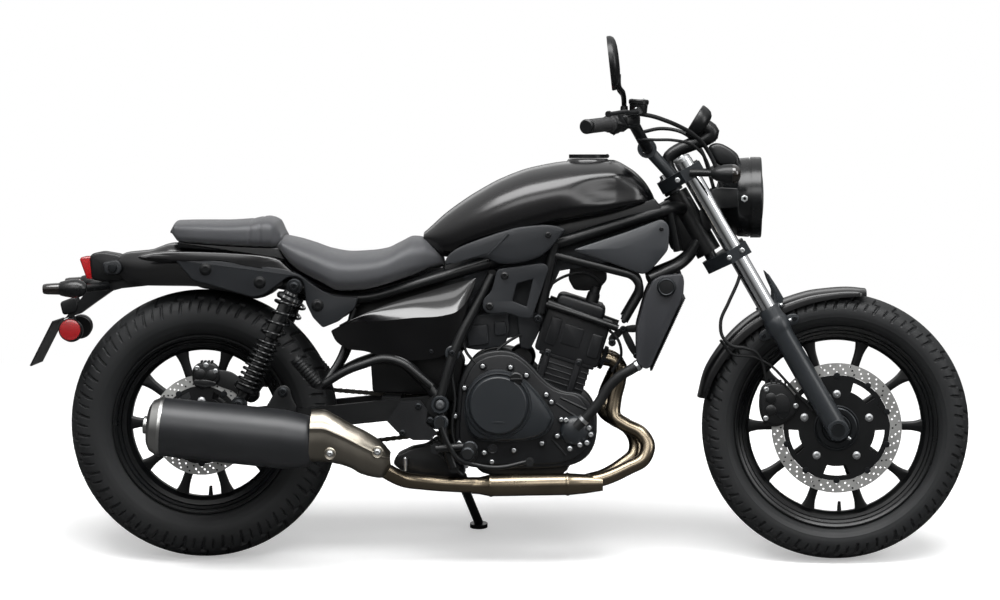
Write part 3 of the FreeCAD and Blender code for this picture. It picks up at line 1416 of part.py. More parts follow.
def front_fender():
    """A curved guard over the wheel with stays to the lower legs."""
    radius = front_tyre_radius + fender_gap
    half = front_fender_half_width
    edge = radius - fender_edge_drop
    wall = front_fender_wall
    centre = front_axle

    def point(r, y):
        return Vector(centre.x, y, centre.z + r)

    edges = [Part.Arc(point(edge, half), point(radius, 0), point(edge, -half)).toShape(),
             Part.makeLine(point(edge, -half), point(edge, -half + wall)),
             Part.Arc(point(edge, -half + wall), point(radius - wall, 0), point(edge, half - wall)).toShape(),
             Part.makeLine(point(edge, half - wall), point(edge, half))]
    face = Part.Face(Part.Wire(edges))
    face.rotate(centre, Vector(0, 1, 0), -fender_rear_degrees)
    guard = face.revolve(centre, Vector(0, 1, 0), fender_rear_degrees + fender_front_degrees)
    pieces = [guard]
    for side in (-1, 1):
        y = side * (fork_spread - fork_slider_radius)
        for share in fender_stay_shares:
            on_leg = steered(fork_offset, y, slider_length * share)
            away = on_leg - front_axle
            flat = Vector(away.x, 0, away.z)
            flat.normalize()
            target = Vector(front_axle.x, side * (half - wall / 2), front_axle.z) + flat * (edge + wall)
            pieces.append(rod(on_leg, target, fender_stay_radius))
    return fused(pieces).cut([slider_leg(side, fit) for side in (-1, 1)])


fender_stay_shares = (0.84, 0.97)
fender_stay_radius = 6.0


def caliper(shares, disc_y, disc_radius, centre):
    """A caliper body over the disc's edge, with the slot that the disc runs in."""
    body = plate(shares, -disc_y + caliper_width / 2, -disc_y - caliper_width / 2)
    slot = rod(centre - Vector(0, disc_y - caliper_slot / 2, 0),
               centre - Vector(0, disc_y + caliper_slot / 2, 0), disc_radius + caliper_slot / 2)
    return body.cut(slot)


caliper_lug_y = -fork_spread + fork_slider_radius * 0.8


def front_caliper():
    body = caliper(caliper_shares, front_disc_y, front_disc_radius, front_axle)
    lug_at = at(caliper_lug_share, caliper_lug_y)
    lug = rod(lug_at, Vector(lug_at.x, -front_disc_y - caliper_width / 4, lug_at.z), bolt_radius)
    return fused([body, lug]).cut(slider_leg(-1, fit))


caliper_lug_share = (0.933, 0.521)


carrier_wall = overrun * 5
carrier_eye_radius = axle_radius * 2.2


def rear_caliper():
    body = caliper(rear_caliper_shares, rear_disc_y, rear_disc_radius, rear_axle)
    outer_y = -rear_disc_y - caliper_width / 2 - overrun
    inner_y = outer_y + carrier_wall
    arm = rod(rear_axle + Vector(0, inner_y, 0), rear_axle + Vector(0, outer_y, 0), carrier_eye_radius)
    link = plate(rear_caliper_link_shares, inner_y, outer_y)
    bore = cross_rod(rear_axle, rear_axle.z, axle_radius + fit)
    return fused([body, arm, link]).cut(bore)


rear_caliper_link_shares = ((-0.006, 0.571), (0.024, 0.571), (0.016, 0.447), (-0.005, 0.447))


def front_hose():
    path = [at(share, -front_hose_y * wide) for share, wide in zip(front_hose_shares, hose_y_shares)]
    return tube(path, hose_radius)


axle_head_radius = axle_radius * 1.6
sprocket_carrier_radius = hub_radius * 1.2


def axle(centre, reach):
    shaft = cross_rod(centre, reach, axle_radius)
    heads = [rod(centre + Vector(0, side * reach, 0), centre + Vector(0, side * (reach + bolt_height * 2), 0),
                 axle_head_radius) for side in (-1, 1)]
    return fused([shaft] + heads)


def rear_sprocket():
    """The driven sprocket on its stepped carrier, beside the hub's left end."""
    wheel = sprocket(rear_axle + Vector(0, chain_y, 0), rear_sprocket_radius, rear_teeth, sprocket_thickness)
    carrier = rod(rear_axle + Vector(0, hub_half_length + fit, 0), rear_axle + Vector(0, chain_y, 0),
                  sprocket_carrier_radius)
    return fused([wheel, carrier]).cut(cross_rod(rear_axle, chain_y * 2, axle_radius + fit))


# All the pieces, each a node of its own
nodes = {
    "main_frame": main_frame,
    "mid_frame": mid_frame,
    "seat_rails": seat_rails,
    "pivot_bolt": pivot_bolt,
    "crankcase": crankcase,
    "cylinder_block": cylinder_block,
    "air_box": air_box,
    "engine_covers": engine_covers,
    "sprocket_cover": sprocket_cover,
    "fuel_tank": fuel_tank,
    "fuel_cap": fuel_cap,
    "rider_seat": lambda: seat(rider_seat_stations, rider_seat_half_width),
    "pillion_seat": lambda: seat(pillion_seat_stations, pillion_seat_half_width),
    "rear_fender": rear_fender,
    "fender_rails": lambda: pair(plate(rail_cover_shares, -rail_cover_y, -rail_cover_y - rail_cover_wall)),
    "tail_light": tail_light,
    "licence_bracket": licence_bracket,
    "rear_signals": rear_signals,
    "side_covers": side_covers,
    "tank_covers": tank_covers,
    "frame_covers": frame_covers,
    "radiator": radiator,
    "coolant_hose": coolant_hose,
    "exhaust_pipes": exhaust_pipes,
    "silencer": silencer,
    "heat_shield": heat_shield,
    "footrests": footrests,
    "heel_plates": heel_plates,
    "foot_controls": foot_controls,
    "pillion_footrests": pillion_footrests,
    "swingarm": swingarm,
    "rear_shocks": lambda: pair(shock()),
    "drive_chain": drive_chain,
    "rear_axle": lambda: axle(rear_axle, arm_y + arm_width / 2),
    "rear_caliper": rear_caliper,
    "side_stand": side_stand,
    "rear_rim": lambda: rim(rear_axle, rear_rim_radius, rear_rim_width, rear_window_radius,
                            rear_disc_y - disc_carrier_thickness / 2 - fit, hub_half_length),
    "rear_tyre": lambda: tyre(rear_axle, rear_tyre_radius, rear_tyre_width, rear_rim_radius),
    "rear_disc": lambda: brake_disc(rear_axle, rear_disc_radius, rear_disc_y),
    "rear_sprocket": rear_sprocket,
    "triple_clamps": triple_clamps,
    "fork_tubes": fork_tubes,
    "fork_sliders": fork_sliders,
    "front_axle": lambda: axle(front_axle, fork_spread + fork_slider_radius),
    "handlebar": handlebar,
    "hand_controls": hand_controls,
    "mirrors": mirrors,
    "headlight": headlight,
    "instrument": instrument,
    "front_signals": front_signals,
    "front_fender": front_fender,
    "front_caliper": front_caliper,
    "front_hose": front_hose,
    "front_rim": lambda: rim(front_axle, front_rim_radius, front_rim_width, front_window_radius,
                             front_disc_y - disc_carrier_thickness / 2 - fit, hub_half_length),
    "front_tyre": lambda: tyre(front_axle, front_tyre_radius, front_tyre_width, front_rim_radius),
    "front_disc": lambda: brake_disc(front_axle, front_disc_radius, front_disc_y),
}

middle_x = (wheelbase + front_tyre_radius + at(plate_holder_shares[1]).x) / 2
middle_y_share = 0.0895


def leaned(shape):
    """The shape as it parks, leaning to the left, with the origin on the floor under its middle."""
    turned = shape.copy()
    turned.rotate(Vector(0, 0, 0), Vector(1, 0, 0), -lean_degrees)
    turned.translate(Vector(-middle_x, -middle_y_share * wheelbase, lean_drop()))
    return turned


def main():
    whole = FreeCAD.BoundBox()
    for name, make in nodes.items():
        shape = leaned(make())
        whole.add(shape.BoundBox)
        shape.exportStep("parts/" + name + ".step")
        print(name, len(shape.Solids), shape.isValid())
    print("box", whole)


main()
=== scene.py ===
"""Looks of the cruiser motorcycle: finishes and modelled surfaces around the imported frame.

Shapes are worked out in the machine's own upright frame, in metres: X runs forward from the rear axle's
plan place, Y to the rider's left and Z up from the ground. Stance turns them to the parked lean.
"""

from __future__ import annotations

import logging
import math
from collections.abc import Callable
from dataclasses import dataclass
from enum import Enum

import bmesh
import bpy
import numpy as np
from mathutils import Matrix, Vector


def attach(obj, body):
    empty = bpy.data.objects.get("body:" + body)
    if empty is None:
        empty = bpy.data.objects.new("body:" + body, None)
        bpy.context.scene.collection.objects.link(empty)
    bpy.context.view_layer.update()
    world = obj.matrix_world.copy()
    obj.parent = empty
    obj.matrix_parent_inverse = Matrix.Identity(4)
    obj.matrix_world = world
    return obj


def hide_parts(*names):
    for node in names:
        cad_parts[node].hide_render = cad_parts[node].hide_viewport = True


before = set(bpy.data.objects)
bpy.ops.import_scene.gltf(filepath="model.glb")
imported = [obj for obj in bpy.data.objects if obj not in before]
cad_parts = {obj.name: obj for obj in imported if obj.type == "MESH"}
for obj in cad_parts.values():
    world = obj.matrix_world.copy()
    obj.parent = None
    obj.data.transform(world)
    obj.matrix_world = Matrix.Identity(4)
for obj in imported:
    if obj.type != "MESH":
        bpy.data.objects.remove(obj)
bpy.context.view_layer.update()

log = logging.getLogger("cruiser")
Pair = tuple[float, float]
Triple = tuple[float, float, float]

# Driving places of the machine, as in the part's source
REAR_AXLE: Triple = (0.0, 0.0, 0.323)
FRONT_AXLE: Triple = (1.520, 0.0, 0.320)
# The steering axis, which leans back by 30 degrees, and the way square to it
STEER_POINT: Pair = (1.4724, 0.2925)
STEER_UP, STEER_AHEAD = np.array([-0.5, 0.0, 0.8660]), np.array([0.8660, 0.0, 0.5])

RIGHT, LEFT = -1.0, 1.0
SIDES = (RIGHT, LEFT)
TO_RIGHT: Triple = (0, -1, 0)
TO_LEFT: Triple = (0, 1, 0)
UPWARD: Triple = (0, 0, 1)
FORWARD: Triple = (1, 0, 0)
MERGE_DISTANCE = 1e-5
FULL_TURN = 2 * math.pi


@dataclass(frozen=True)
class Stance:
    """How the upright machine stands in the frame: its lean on the side stand and its box's middle."""

    lean: float = math.radians(10.0)
    middle: Pair = (0.71632, 0.13604)
    drop: float = 0.001736

    def place(self, points: np.ndarray) -> np.ndarray:
        """Turns upright points by the lean about the ground line and moves them to the frame's origin.

        Args:
            points: upright points, three numbers each.
        Returns:
            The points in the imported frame.
        """
        points = np.asarray(points, float)
        cos, sin = math.cos(self.lean), math.sin(self.lean)
        x = points[..., 0] - self.middle[0]
        y = points[..., 1] * cos + points[..., 2] * sin - self.middle[1]
        z = points[..., 2] * cos - points[..., 1] * sin + self.drop
        return np.stack([x, y, z], axis=-1)


STANCE = Stance()


class Body(Enum):
    """The bodies of the frame that pieces ride on."""

    ROOT = "root"
    STEERING = "steering"
    FRONT_WHEEL = "front_wheel"
    REAR_WHEEL = "rear_wheel"


def curve_through(keys: list[Pair] | np.ndarray, at: np.ndarray) -> np.ndarray:
    """Smooth curve through keyed values, a cubic with limited slopes so it never overshoots.

    Args:
        keys: rows of a place and its value or values.
        at: places at which the curve is wanted.
    Returns:
        The values there, one row a place.
    """
    keys = np.asarray(keys, float)
    x, y = keys[:, 0], keys[:, 1:]
    at = np.clip(at, x[0], x[-1])
    step = np.diff(x)[:, None]
    slope = np.diff(y, axis=0) / step
    tangent = np.zeros_like(y)
    same = slope[1:] * slope[:-1] > 0
    mean = 2 * slope[1:] * slope[:-1] / np.where(same, slope[1:] + slope[:-1], 1)
    tangent[1:-1] = np.where(same, mean, 0)
    tangent[0], tangent[-1] = slope[0], slope[-1]
    i = np.clip(np.searchsorted(x, at, side="right") - 1, 0, len(x) - 2)
    t = ((at - x[i]) / step[i, 0])[:, None]
    h = step[i]
    return ((2 * t**3 - 3 * t**2 + 1) * y[i] + (t**3 - 2 * t**2 + t) * h * tangent[i]
            + (3 * t**2 - 2 * t**3) * y[i + 1] + (t**3 - t**2) * h * tangent[i + 1])


def single(keys: list[Pair] | tuple[Pair, ...], at: np.ndarray) -> np.ndarray:
    """Smooth curve through keyed single values, as one number a place."""
    return curve_through(keys, at)[:, 0]


def evenly(keys: tuple[Pair, ...], share: np.ndarray) -> np.ndarray:
    """Smooth curve through places that are set at equal shares of its run."""
    return curve_through(np.column_stack([np.linspace(0, 1, len(keys)), keys]), share)


def ramp(value: np.ndarray, width: float = 0.03) -> np.ndarray:
    """Rises from 0 at nought to 1 at the width, and stays there."""
    return np.clip(value / width, 0, 1)


def crowded(low: float, high: float, count: int) -> np.ndarray:
    """Places from low to high that stand closer together at the ends, where a form closes."""
    return low + (high - low) * (1 - np.cos(np.linspace(0, math.pi, count))) / 2


def grid(x: np.ndarray, y: np.ndarray, z: np.ndarray) -> np.ndarray:
    """Rings of points from one X a ring and the Y and Z of every point."""
    return np.stack([np.broadcast_to(x[:, None], z.shape), y, z], axis=-1)


def round_axle(axle: Triple, angle: np.ndarray, radius: np.ndarray, y: np.ndarray) -> np.ndarray:
    """Rings of points round an axle: one ring an angle, each at the radii and side places given."""
    parts = (axle[0] + radius * np.cos(angle)[:, None], axle[1] + y, axle[2] + radius * np.sin(angle)[:, None])
    return np.stack(np.broadcast_arrays(*parts), axis=-1)


def spline(points: list[Triple] | np.ndarray, count: int = 40) -> np.ndarray:
    """Smooth open path through points: each run is a cubic whose end slopes join its neighbours.

    Args:
        points: places the path goes through.
        count: how many points the path gets.
    Returns:
        The path's points.
    """
    p = np.asarray(points, float)
    run = np.concatenate([[0], np.cumsum(np.linalg.norm(np.diff(p, axis=0), axis=1))])
    slope = np.gradient(p, run, axis=0) if len(p) > 2 else np.repeat([(p[1] - p[0]) / run[-1]], 2, axis=0)
    at = np.linspace(0, run[-1], count)
    i = np.clip(np.searchsorted(run, at, side="right") - 1, 0, len(p) - 2)
    h = (run[i + 1] - run[i])[:, None]
    t = ((at - run[i]) / h[:, 0])[:, None]
    return ((2 * t**3 - 3 * t**2 + 1) * p[i] + (t**3 - 2 * t**2 + t) * h * slope[i]
            + (3 * t**2 - 2 * t**3) * p[i + 1] + (t**3 - t**2) * h * slope[i + 1])


def softened(outline: list[Pair] | np.ndarray, rounds: int = 2) -> np.ndarray:
    """Closed outline with its corners cut to quarters again and again, which makes them round.

    Args:
        outline: corners in turn.
        rounds: how often the corners are cut.
    Returns:
        The rounded outline's points.
    """
    p = np.asarray(outline, float)
    for _ in range(rounds):
        after = np.roll(p, -1, axis=0)
        p = np.stack([p * 0.75 + after * 0.25, p * 0.25 + after * 0.75], axis=1).reshape(-1, p.shape[1])
    return p


def cornered(outline: list[Pair] | np.ndarray, radius: float) -> np.ndarray:
    """Closed outline with each corner replaced by a short bend that starts and ends a radius away from it.

    Args:
        outline: corners in turn.
        radius: how far from a corner its bend begins, at most half the way to the next corner.
    Returns:
        The outline's points, five for each corner.
    """
    p = np.asarray(outline, float)
    back, ahead = np.roll(p, 1, axis=0) - p, np.roll(p, -1, axis=0) - p
    far_back, far_ahead = (np.linalg.norm(v, axis=1, keepdims=True) + 1e-9 for v in (back, ahead))
    start = p + back * np.minimum(radius / far_back, 0.48)
    end = p + ahead * np.minimum(radius / far_ahead, 0.48)
    t = np.linspace(0, 1, 5)[None, :, None]
    bends = start[:, None] * (1 - t) ** 2 + 2 * p[:, None] * t * (1 - t) + end[:, None] * t**2
    return bends.reshape(-1, 2)


def angles(count: int) -> np.ndarray:
    """Equal steps of one full turn."""
    return np.linspace(0, FULL_TURN, count, endpoint=False)


def circle(radius: float, count: int = 32) -> np.ndarray:
    """Points of a circle in its own plane."""
    return np.stack([np.cos(angles(count)), np.sin(angles(count))], axis=1) * radius


def spread(place: Pair, y: float) -> Triple:
    """A side-view place with its Y, as a point."""
    return (place[0], y, place[1])


def steered(ahead: float, left: float, up: float) -> np.ndarray:
    """A point from distances ahead of, beside and along the steering axis."""
    return np.array(spread(STEER_POINT, left)) + STEER_AHEAD * ahead + STEER_UP * up


def upright(outline: np.ndarray, y: float) -> np.ndarray:
    """Outline of X and Z pairs as points at one Y."""
    outline = np.asarray(outline, float)
    return np.stack([outline[:, 0], np.full(len(outline), y), outline[:, 1]], axis=1)


@dataclass
class Shape:
    """A surface under work: its points in the upright frame and its faces."""

    points: np.ndarray
    faces: list[tuple[int, ...]]

    def __add__(self, other: "Shape") -> "Shape":
        """Both shapes as one, not merged."""
        return merged([self, other])

    def mirrored(self) -> "Shape":
        """The same shape on the machine's other side."""
        return Shape(self.points * [1, -1, 1], [face[::-1] for face in self.faces])

    def both_sides(self) -> "Shape":
        """The shape and its mirror image."""
        return self + self.mirrored()

    def turned_about(self, centre: Triple, angle: float) -> "Shape":
        """The shape turned in its side view about a line across the machine."""
        c, s = math.cos(angle), math.sin(angle)
        local = self.points - np.asarray(centre)
        spun = np.stack([local[:, 0] * c - local[:, 2] * s, local[:, 1], local[:, 0] * s + local[:, 2] * c], axis=1)
        return Shape(spun + np.asarray(centre), self.faces)


def merged(shapes: list[Shape]) -> Shape:
    """All shapes as one."""
    total, faces, points = 0, [], []
    for shape in shapes:
        faces += [tuple(i + total for i in face) for face in shape.faces]
        points.append(shape.points)
        total += len(shape.points)
    return Shape(np.vstack(points), faces)


def skin(rows: np.ndarray, close: bool = False) -> Shape:
    """Closed rings of points joined in turn by four-sided faces.

    Args:
        rows: rings, as an array of ring, point and coordinate.
        close: whether the last ring joins the first; else both end rings get a face.
    Returns:
        The surface.
    """
    n, m = rows.shape[:2]
    ring = np.arange(n if close else n - 1)[:, None]
    here, after = np.arange(m), (np.arange(m) + 1) % m
    low, high = ring * m, (ring + 1) % n * m
    quads = np.stack([low + here, low + after, high + after, high + here], axis=-1).reshape(-1, 4)
    faces = [tuple(q) for q in quads.tolist()]
    if not close:
        faces += [tuple(range(m))[::-1], tuple(range((n - 1) * m, n * m))]
    return Shape(rows.reshape(-1, 3), faces)


def walled(sheet: Callable[[float], np.ndarray], wall: float) -> Shape:
    """A shell: the sheet's outer face and its face inset by the wall, joined all round."""
    return skin(np.concatenate([sheet(0.0), sheet(wall)[:, ::-1]], axis=1))


def frames_along(path: np.ndarray) -> tuple[np.ndarray, np.ndarray]:
    """Two unit directions across a path at each of its points, the first near the axis it runs along least."""
    tangent = np.gradient(path, axis=0)
    tangent /= np.linalg.norm(tangent, axis=1, keepdims=True)
    side = np.eye(3)[np.argmin(np.abs(tangent).max(axis=0))]
    across = side - tangent * (tangent @ side)[:, None]
    across /= np.linalg.norm(across, axis=1, keepdims=True)
    return across, np.cross(tangent, across)


def tube(path: list[Triple] | np.ndarray, radius: float | np.ndarray, sides: int = 16) -> Shape:
    """Circle carried along a path, with a radius for the whole path or for each point."""
    path = np.asarray(path, float)
    across, up = frames_along(path)
    ring = circle(1.0, sides)
    radii = np.broadcast_to(np.asarray(radius, float), (len(path),))[:, None, None]
    rows = path[:, None] + radii * (across[:, None] * ring[None, :, :1] + up[:, None] * ring[None, :, 1:])
    return skin(rows)


def turned(profile: list[Pair] | np.ndarray, origin: Triple, axis: Triple, sides: int = 48) -> Shape:
    """Profile of distance along an axis and radius, turned about that axis, closed at both ends."""
    profile = np.asarray(profile, float)
    axis = np.asarray(axis, float) / np.linalg.norm(axis)
    seed = np.eye(3)[np.argmin(np.abs(axis))]
    across = np.cross(axis, seed)
    across /= np.linalg.norm(across)
    up = np.cross(axis, across)
    ring = circle(1.0, sides)
    around = across * ring[:, :1] + up * ring[:, 1:]
    rows = np.asarray(origin) + axis * profile[:, None, None, 0] + around[None] * profile[:, None, None, 1]
    return skin(rows.reshape(len(profile), sides, 3))


def slab(outline: list[Pair] | np.ndarray, y_from: float, y_to: float, edge: float = 0.0015,
         crown: float = 0.0) -> Shape:
    """Plate across the machine with rounded rims: rings that step in towards both faces.

    Args:
        outline: its shape in side view.
        y_from: the inner face.
        y_to: the outer face.
        edge: radius of the rims.
        crown: how far the outer face's middle swells.
    Returns:
        The plate.
    """
    outline = np.asarray(outline, float)
    ahead, behind = np.roll(outline, -1, axis=0) - outline, outline - np.roll(outline, 1, axis=0)
    area = np.sum(outline[:, 0] * np.roll(outline[:, 1], -1) - outline[:, 1] * np.roll(outline[:, 0], -1))
    run = sum(v / np.linalg.norm(v, axis=1, keepdims=True) for v in (ahead, behind))
    inward = np.stack([-run[:, 1], run[:, 0]], axis=1) * np.sign(area)
    inward /= np.linalg.norm(inward, axis=1, keepdims=True) + 1e-9
    way = np.sign(y_to - y_from)
    turn = np.linspace(0, math.pi / 2, 4)
    steps = [(edge * (1 - math.sin(t)), y_from + way * edge * (1 - math.cos(t))) for t in turn]
    steps += [(edge * (1 - math.cos(t)), y_to - way * edge * (1 - math.sin(t))) for t in turn]
    rows = [upright(outline + inward * inset, y) for inset, y in steps]
    if crown:
        middle = outline.mean(axis=0)
        rows += [upright(middle + (outline - middle) * s, y_to + way * crown * (1 - s**2))
                 for s in (0.85, 0.6, 0.3)]
    return skin(np.stack(rows))


def bolt(centre: Triple, radius: float, height: float, way: Triple = TO_RIGHT, hexed: bool = False) -> Shape:
    """Bolt head with a flange, a domed edge and a socket in its middle."""
    profile = [(0, radius), (height * 0.2, radius), (height * 0.28, radius * 0.8), (height * 0.9, radius * 0.76),
               (height, radius * 0.66), (height, radius * 0.4), (height * 0.55, radius * 0.36),
               (height * 0.55, 0.0)]
    return turned(profile, centre, way, 6 if hexed else 18)


def placed(name: str, data: bpy.types.ID) -> bpy.types.Object:
    """An object that holds the data, linked into the scene."""
    thing = bpy.data.objects.new(name, data)
    bpy.context.scene.collection.objects.link(thing)
    return thing


def make(name: str, shape: Shape, finish: bpy.types.Material, body: Body, *, replaces: tuple[str, ...] = (),
         crease: float = 32.0) -> bpy.types.Object:
    """Puts a shape into a Blender object at the origin, dressed, riding on its body.

    Args:
        name: the piece's name.
        shape: its surface in the upright frame.
        finish: its material.
        body: what it rides on.
        replaces: frame nodes that it stands for.
        crease: angle in degrees past which an edge stays sharp.
    Returns:
        The object.
    """
    mesh = bpy.data.meshes.new(name)
    mesh.from_pydata(STANCE.place(shape.points).tolist(), [], shape.faces)
    work = bmesh.new()
    work.from_mesh(mesh)
    bmesh.ops.remove_doubles(work, verts=work.verts, dist=MERGE_DISTANCE)
    bmesh.ops.recalc_face_normals(work, faces=work.faces)
    work.to_mesh(mesh)
    work.free()
    mesh.validate()
    piece = placed(name, mesh)
    mesh.materials.append(finish)
    dress_edges(mesh, crease)
    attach(piece, body.value)
    if replaces:
        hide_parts(*replaces)
    log.info("%s: %d points, %d faces", name, len(mesh.vertices), len(mesh.polygons))
    return piece


def dress_edges(mesh: bpy.types.Mesh, crease: float) -> None:
    """Shades a mesh smooth but for edges whose faces meet at more than the crease angle."""
    mesh.shade_smooth()
    mesh.set_sharp_from_angle(angle=math.radians(crease))


# Finishes

def linear(code: str) -> tuple[float, float, float, float]:
    """A hex colour as it is written for a screen, turned to linear light."""
    parts = [int(code[i:i + 2], 16) / 255 for i in (1, 3, 5)]
    light = [p / 12.92 if p <= 0.04045 else ((p + 0.055) / 1.055) ** 2.4 for p in parts]
    return (light[0], light[1], light[2], 1.0)


def add_node(tree: bpy.types.NodeTree, kind: str, settings: dict | None = None,
             inputs: dict | None = None) -> bpy.types.Node:
    """Adds a node, sets its options, and sets or links its inputs.

    Args:
        tree: where it goes.
        kind: the node's type.
        settings: options by name.
        inputs: values or other nodes' outputs, by the input's name or number.
    Returns:
        The node.
    """
    node = tree.nodes.new(kind)
    for key, value in (settings or {}).items():
        setattr(node, key, value)
    for key, value in (inputs or {}).items():
        if isinstance(value, bpy.types.NodeSocket):
            tree.links.new(value, node.inputs[key])
        else:
            node.inputs[key].default_value = value
    return node


def blank_material(name: str) -> tuple[bpy.types.Material, bpy.types.NodeTree]:
    """A new material with no nodes, and its tree."""
    material = bpy.data.materials.new(name)
    material.use_nodes = True
    material.node_tree.nodes.clear()
    return material, material.node_tree


def seen_rays(tree: bpy.types.NodeTree, path: bpy.types.Node) -> bpy.types.NodeSocket:
    """One where a ray comes from the camera or through glass, else nought."""
    return add_node(tree, "ShaderNodeMath", {"operation": "MAXIMUM"}, {
        0: path.outputs["Is Camera Ray"], 1: path.outputs["Is Transmission Ray"]}).outputs[0]


class Grain(Enum):
    """What a surface's fine relief comes from."""

    SMOOTH = "smooth"
    CAST = "cast"
    MOULDED = "moulded"
    BRUSHED_LONG = "brushed along the machine"
    BRUSHED_ROUND = "brushed round an axle"
    HIDE = "embossed like hide"


@dataclass(frozen=True)
class Finish:
    """One real material and how its surface was made.

    The relief's size is a real length in metres, drawn a little coarse where the real one wouldn't show.
    """

    name: str
    colour: str
    roughness: float
    metallic: float = 0.0
    coat: float = 0.0
    coat_roughness: float = 0.03
    sheen: float = 0.0
    specular: float = 0.5
    grain: Grain = Grain.SMOOTH
    grain_size: float = 0.0012
    relief: float = 0.15
    variation: float = 0.12
    second: str | None = None

    def build(self) -> bpy.types.Material:
        """Makes the material's nodes: colour that varies a little, roughness in patches, and relief."""
        material, tree = blank_material(self.name)
        place = add_node(tree, "ShaderNodeTexCoord").outputs["Object"]
        cloud = add_node(tree, "ShaderNodeTexNoise", inputs={"Vector": place, "Scale": 14.0, "Detail": 5.0})
        base, other = linear(self.colour), linear(self.second or self.colour)
        low = [c * (1 - self.variation) for c in base[:3]] + [1.0]
        high = [min(1.0, c * (1 + self.variation)) for c in other[:3]] + [1.0]
        tint = add_node(tree, "ShaderNodeMix", {"data_type": "RGBA"},
                        {0: cloud.outputs["Fac"], 6: low, 7: high})
        rough = add_node(tree, "ShaderNodeMapRange", inputs={
            "Value": cloud.outputs["Fac"], "From Min": 0.3, "From Max": 0.7,
            "To Min": self.roughness * 0.88, "To Max": min(1.0, self.roughness * 1.12)})
        shader = add_node(tree, "ShaderNodeBsdfPrincipled", inputs={
            "Base Color": tint.outputs[2], "Roughness": rough.outputs[0], "Metallic": self.metallic,
            "Coat Weight": self.coat, "Coat Roughness": self.coat_roughness, "Sheen Weight": self.sheen,
            "Specular IOR Level": self.specular})
        height = self.relief_height(tree, place)
        if height is not None:
            bump = add_node(tree, "ShaderNodeBump", inputs={
                "Height": height, "Strength": self.relief, "Distance": self.grain_size})
            tree.links.new(bump.outputs[0], shader.inputs["Normal"])
        add_node(tree, "ShaderNodeOutputMaterial", inputs={"Surface": shader.outputs[0]})
        return material

    def relief_height(self, tree: bpy.types.NodeTree, place: bpy.types.NodeSocket) -> bpy.types.NodeSocket | None:
        """The height pattern of this finish's grain, or none if it is smooth."""
        per_metre = 1.0 / self.grain_size
        if self.grain in (Grain.CAST, Grain.MOULDED):
            detail = 6.0 if self.grain is Grain.CAST else 2.0
            return add_node(tree, "ShaderNodeTexNoise", inputs={
                "Vector": place, "Scale": per_metre / 2, "Detail": detail}).outputs["Fac"]
        if self.grain is Grain.HIDE:
            cells = add_node(tree, "ShaderNodeTexVoronoi", {"feature": "DISTANCE_TO_EDGE"},
                             {"Vector": place, "Scale": per_metre})
            return add_node(tree, "ShaderNodeMapRange", inputs={
                "Value": cells.outputs["Distance"], "From Max": 0.25}).outputs[0]
        if self.grain is Grain.BRUSHED_LONG:
            along = add_node(tree, "ShaderNodeMapping", inputs={"Vector": place, "Scale": (0.03, 1.0, 1.0)})
            return add_node(tree, "ShaderNodeTexNoise", inputs={
                "Vector": along.outputs[0], "Scale": per_metre, "Detail": 3.0}).outputs["Fac"]
        if self.grain is Grain.BRUSHED_ROUND:
            return add_node(tree, "ShaderNodeTexWave", {"wave_type": "RINGS", "rings_direction": "Y"}, {
                "Vector": place, "Scale": per_metre / 8, "Distortion": 3.0, "Detail": 3.0}).outputs["Fac"]
        return None


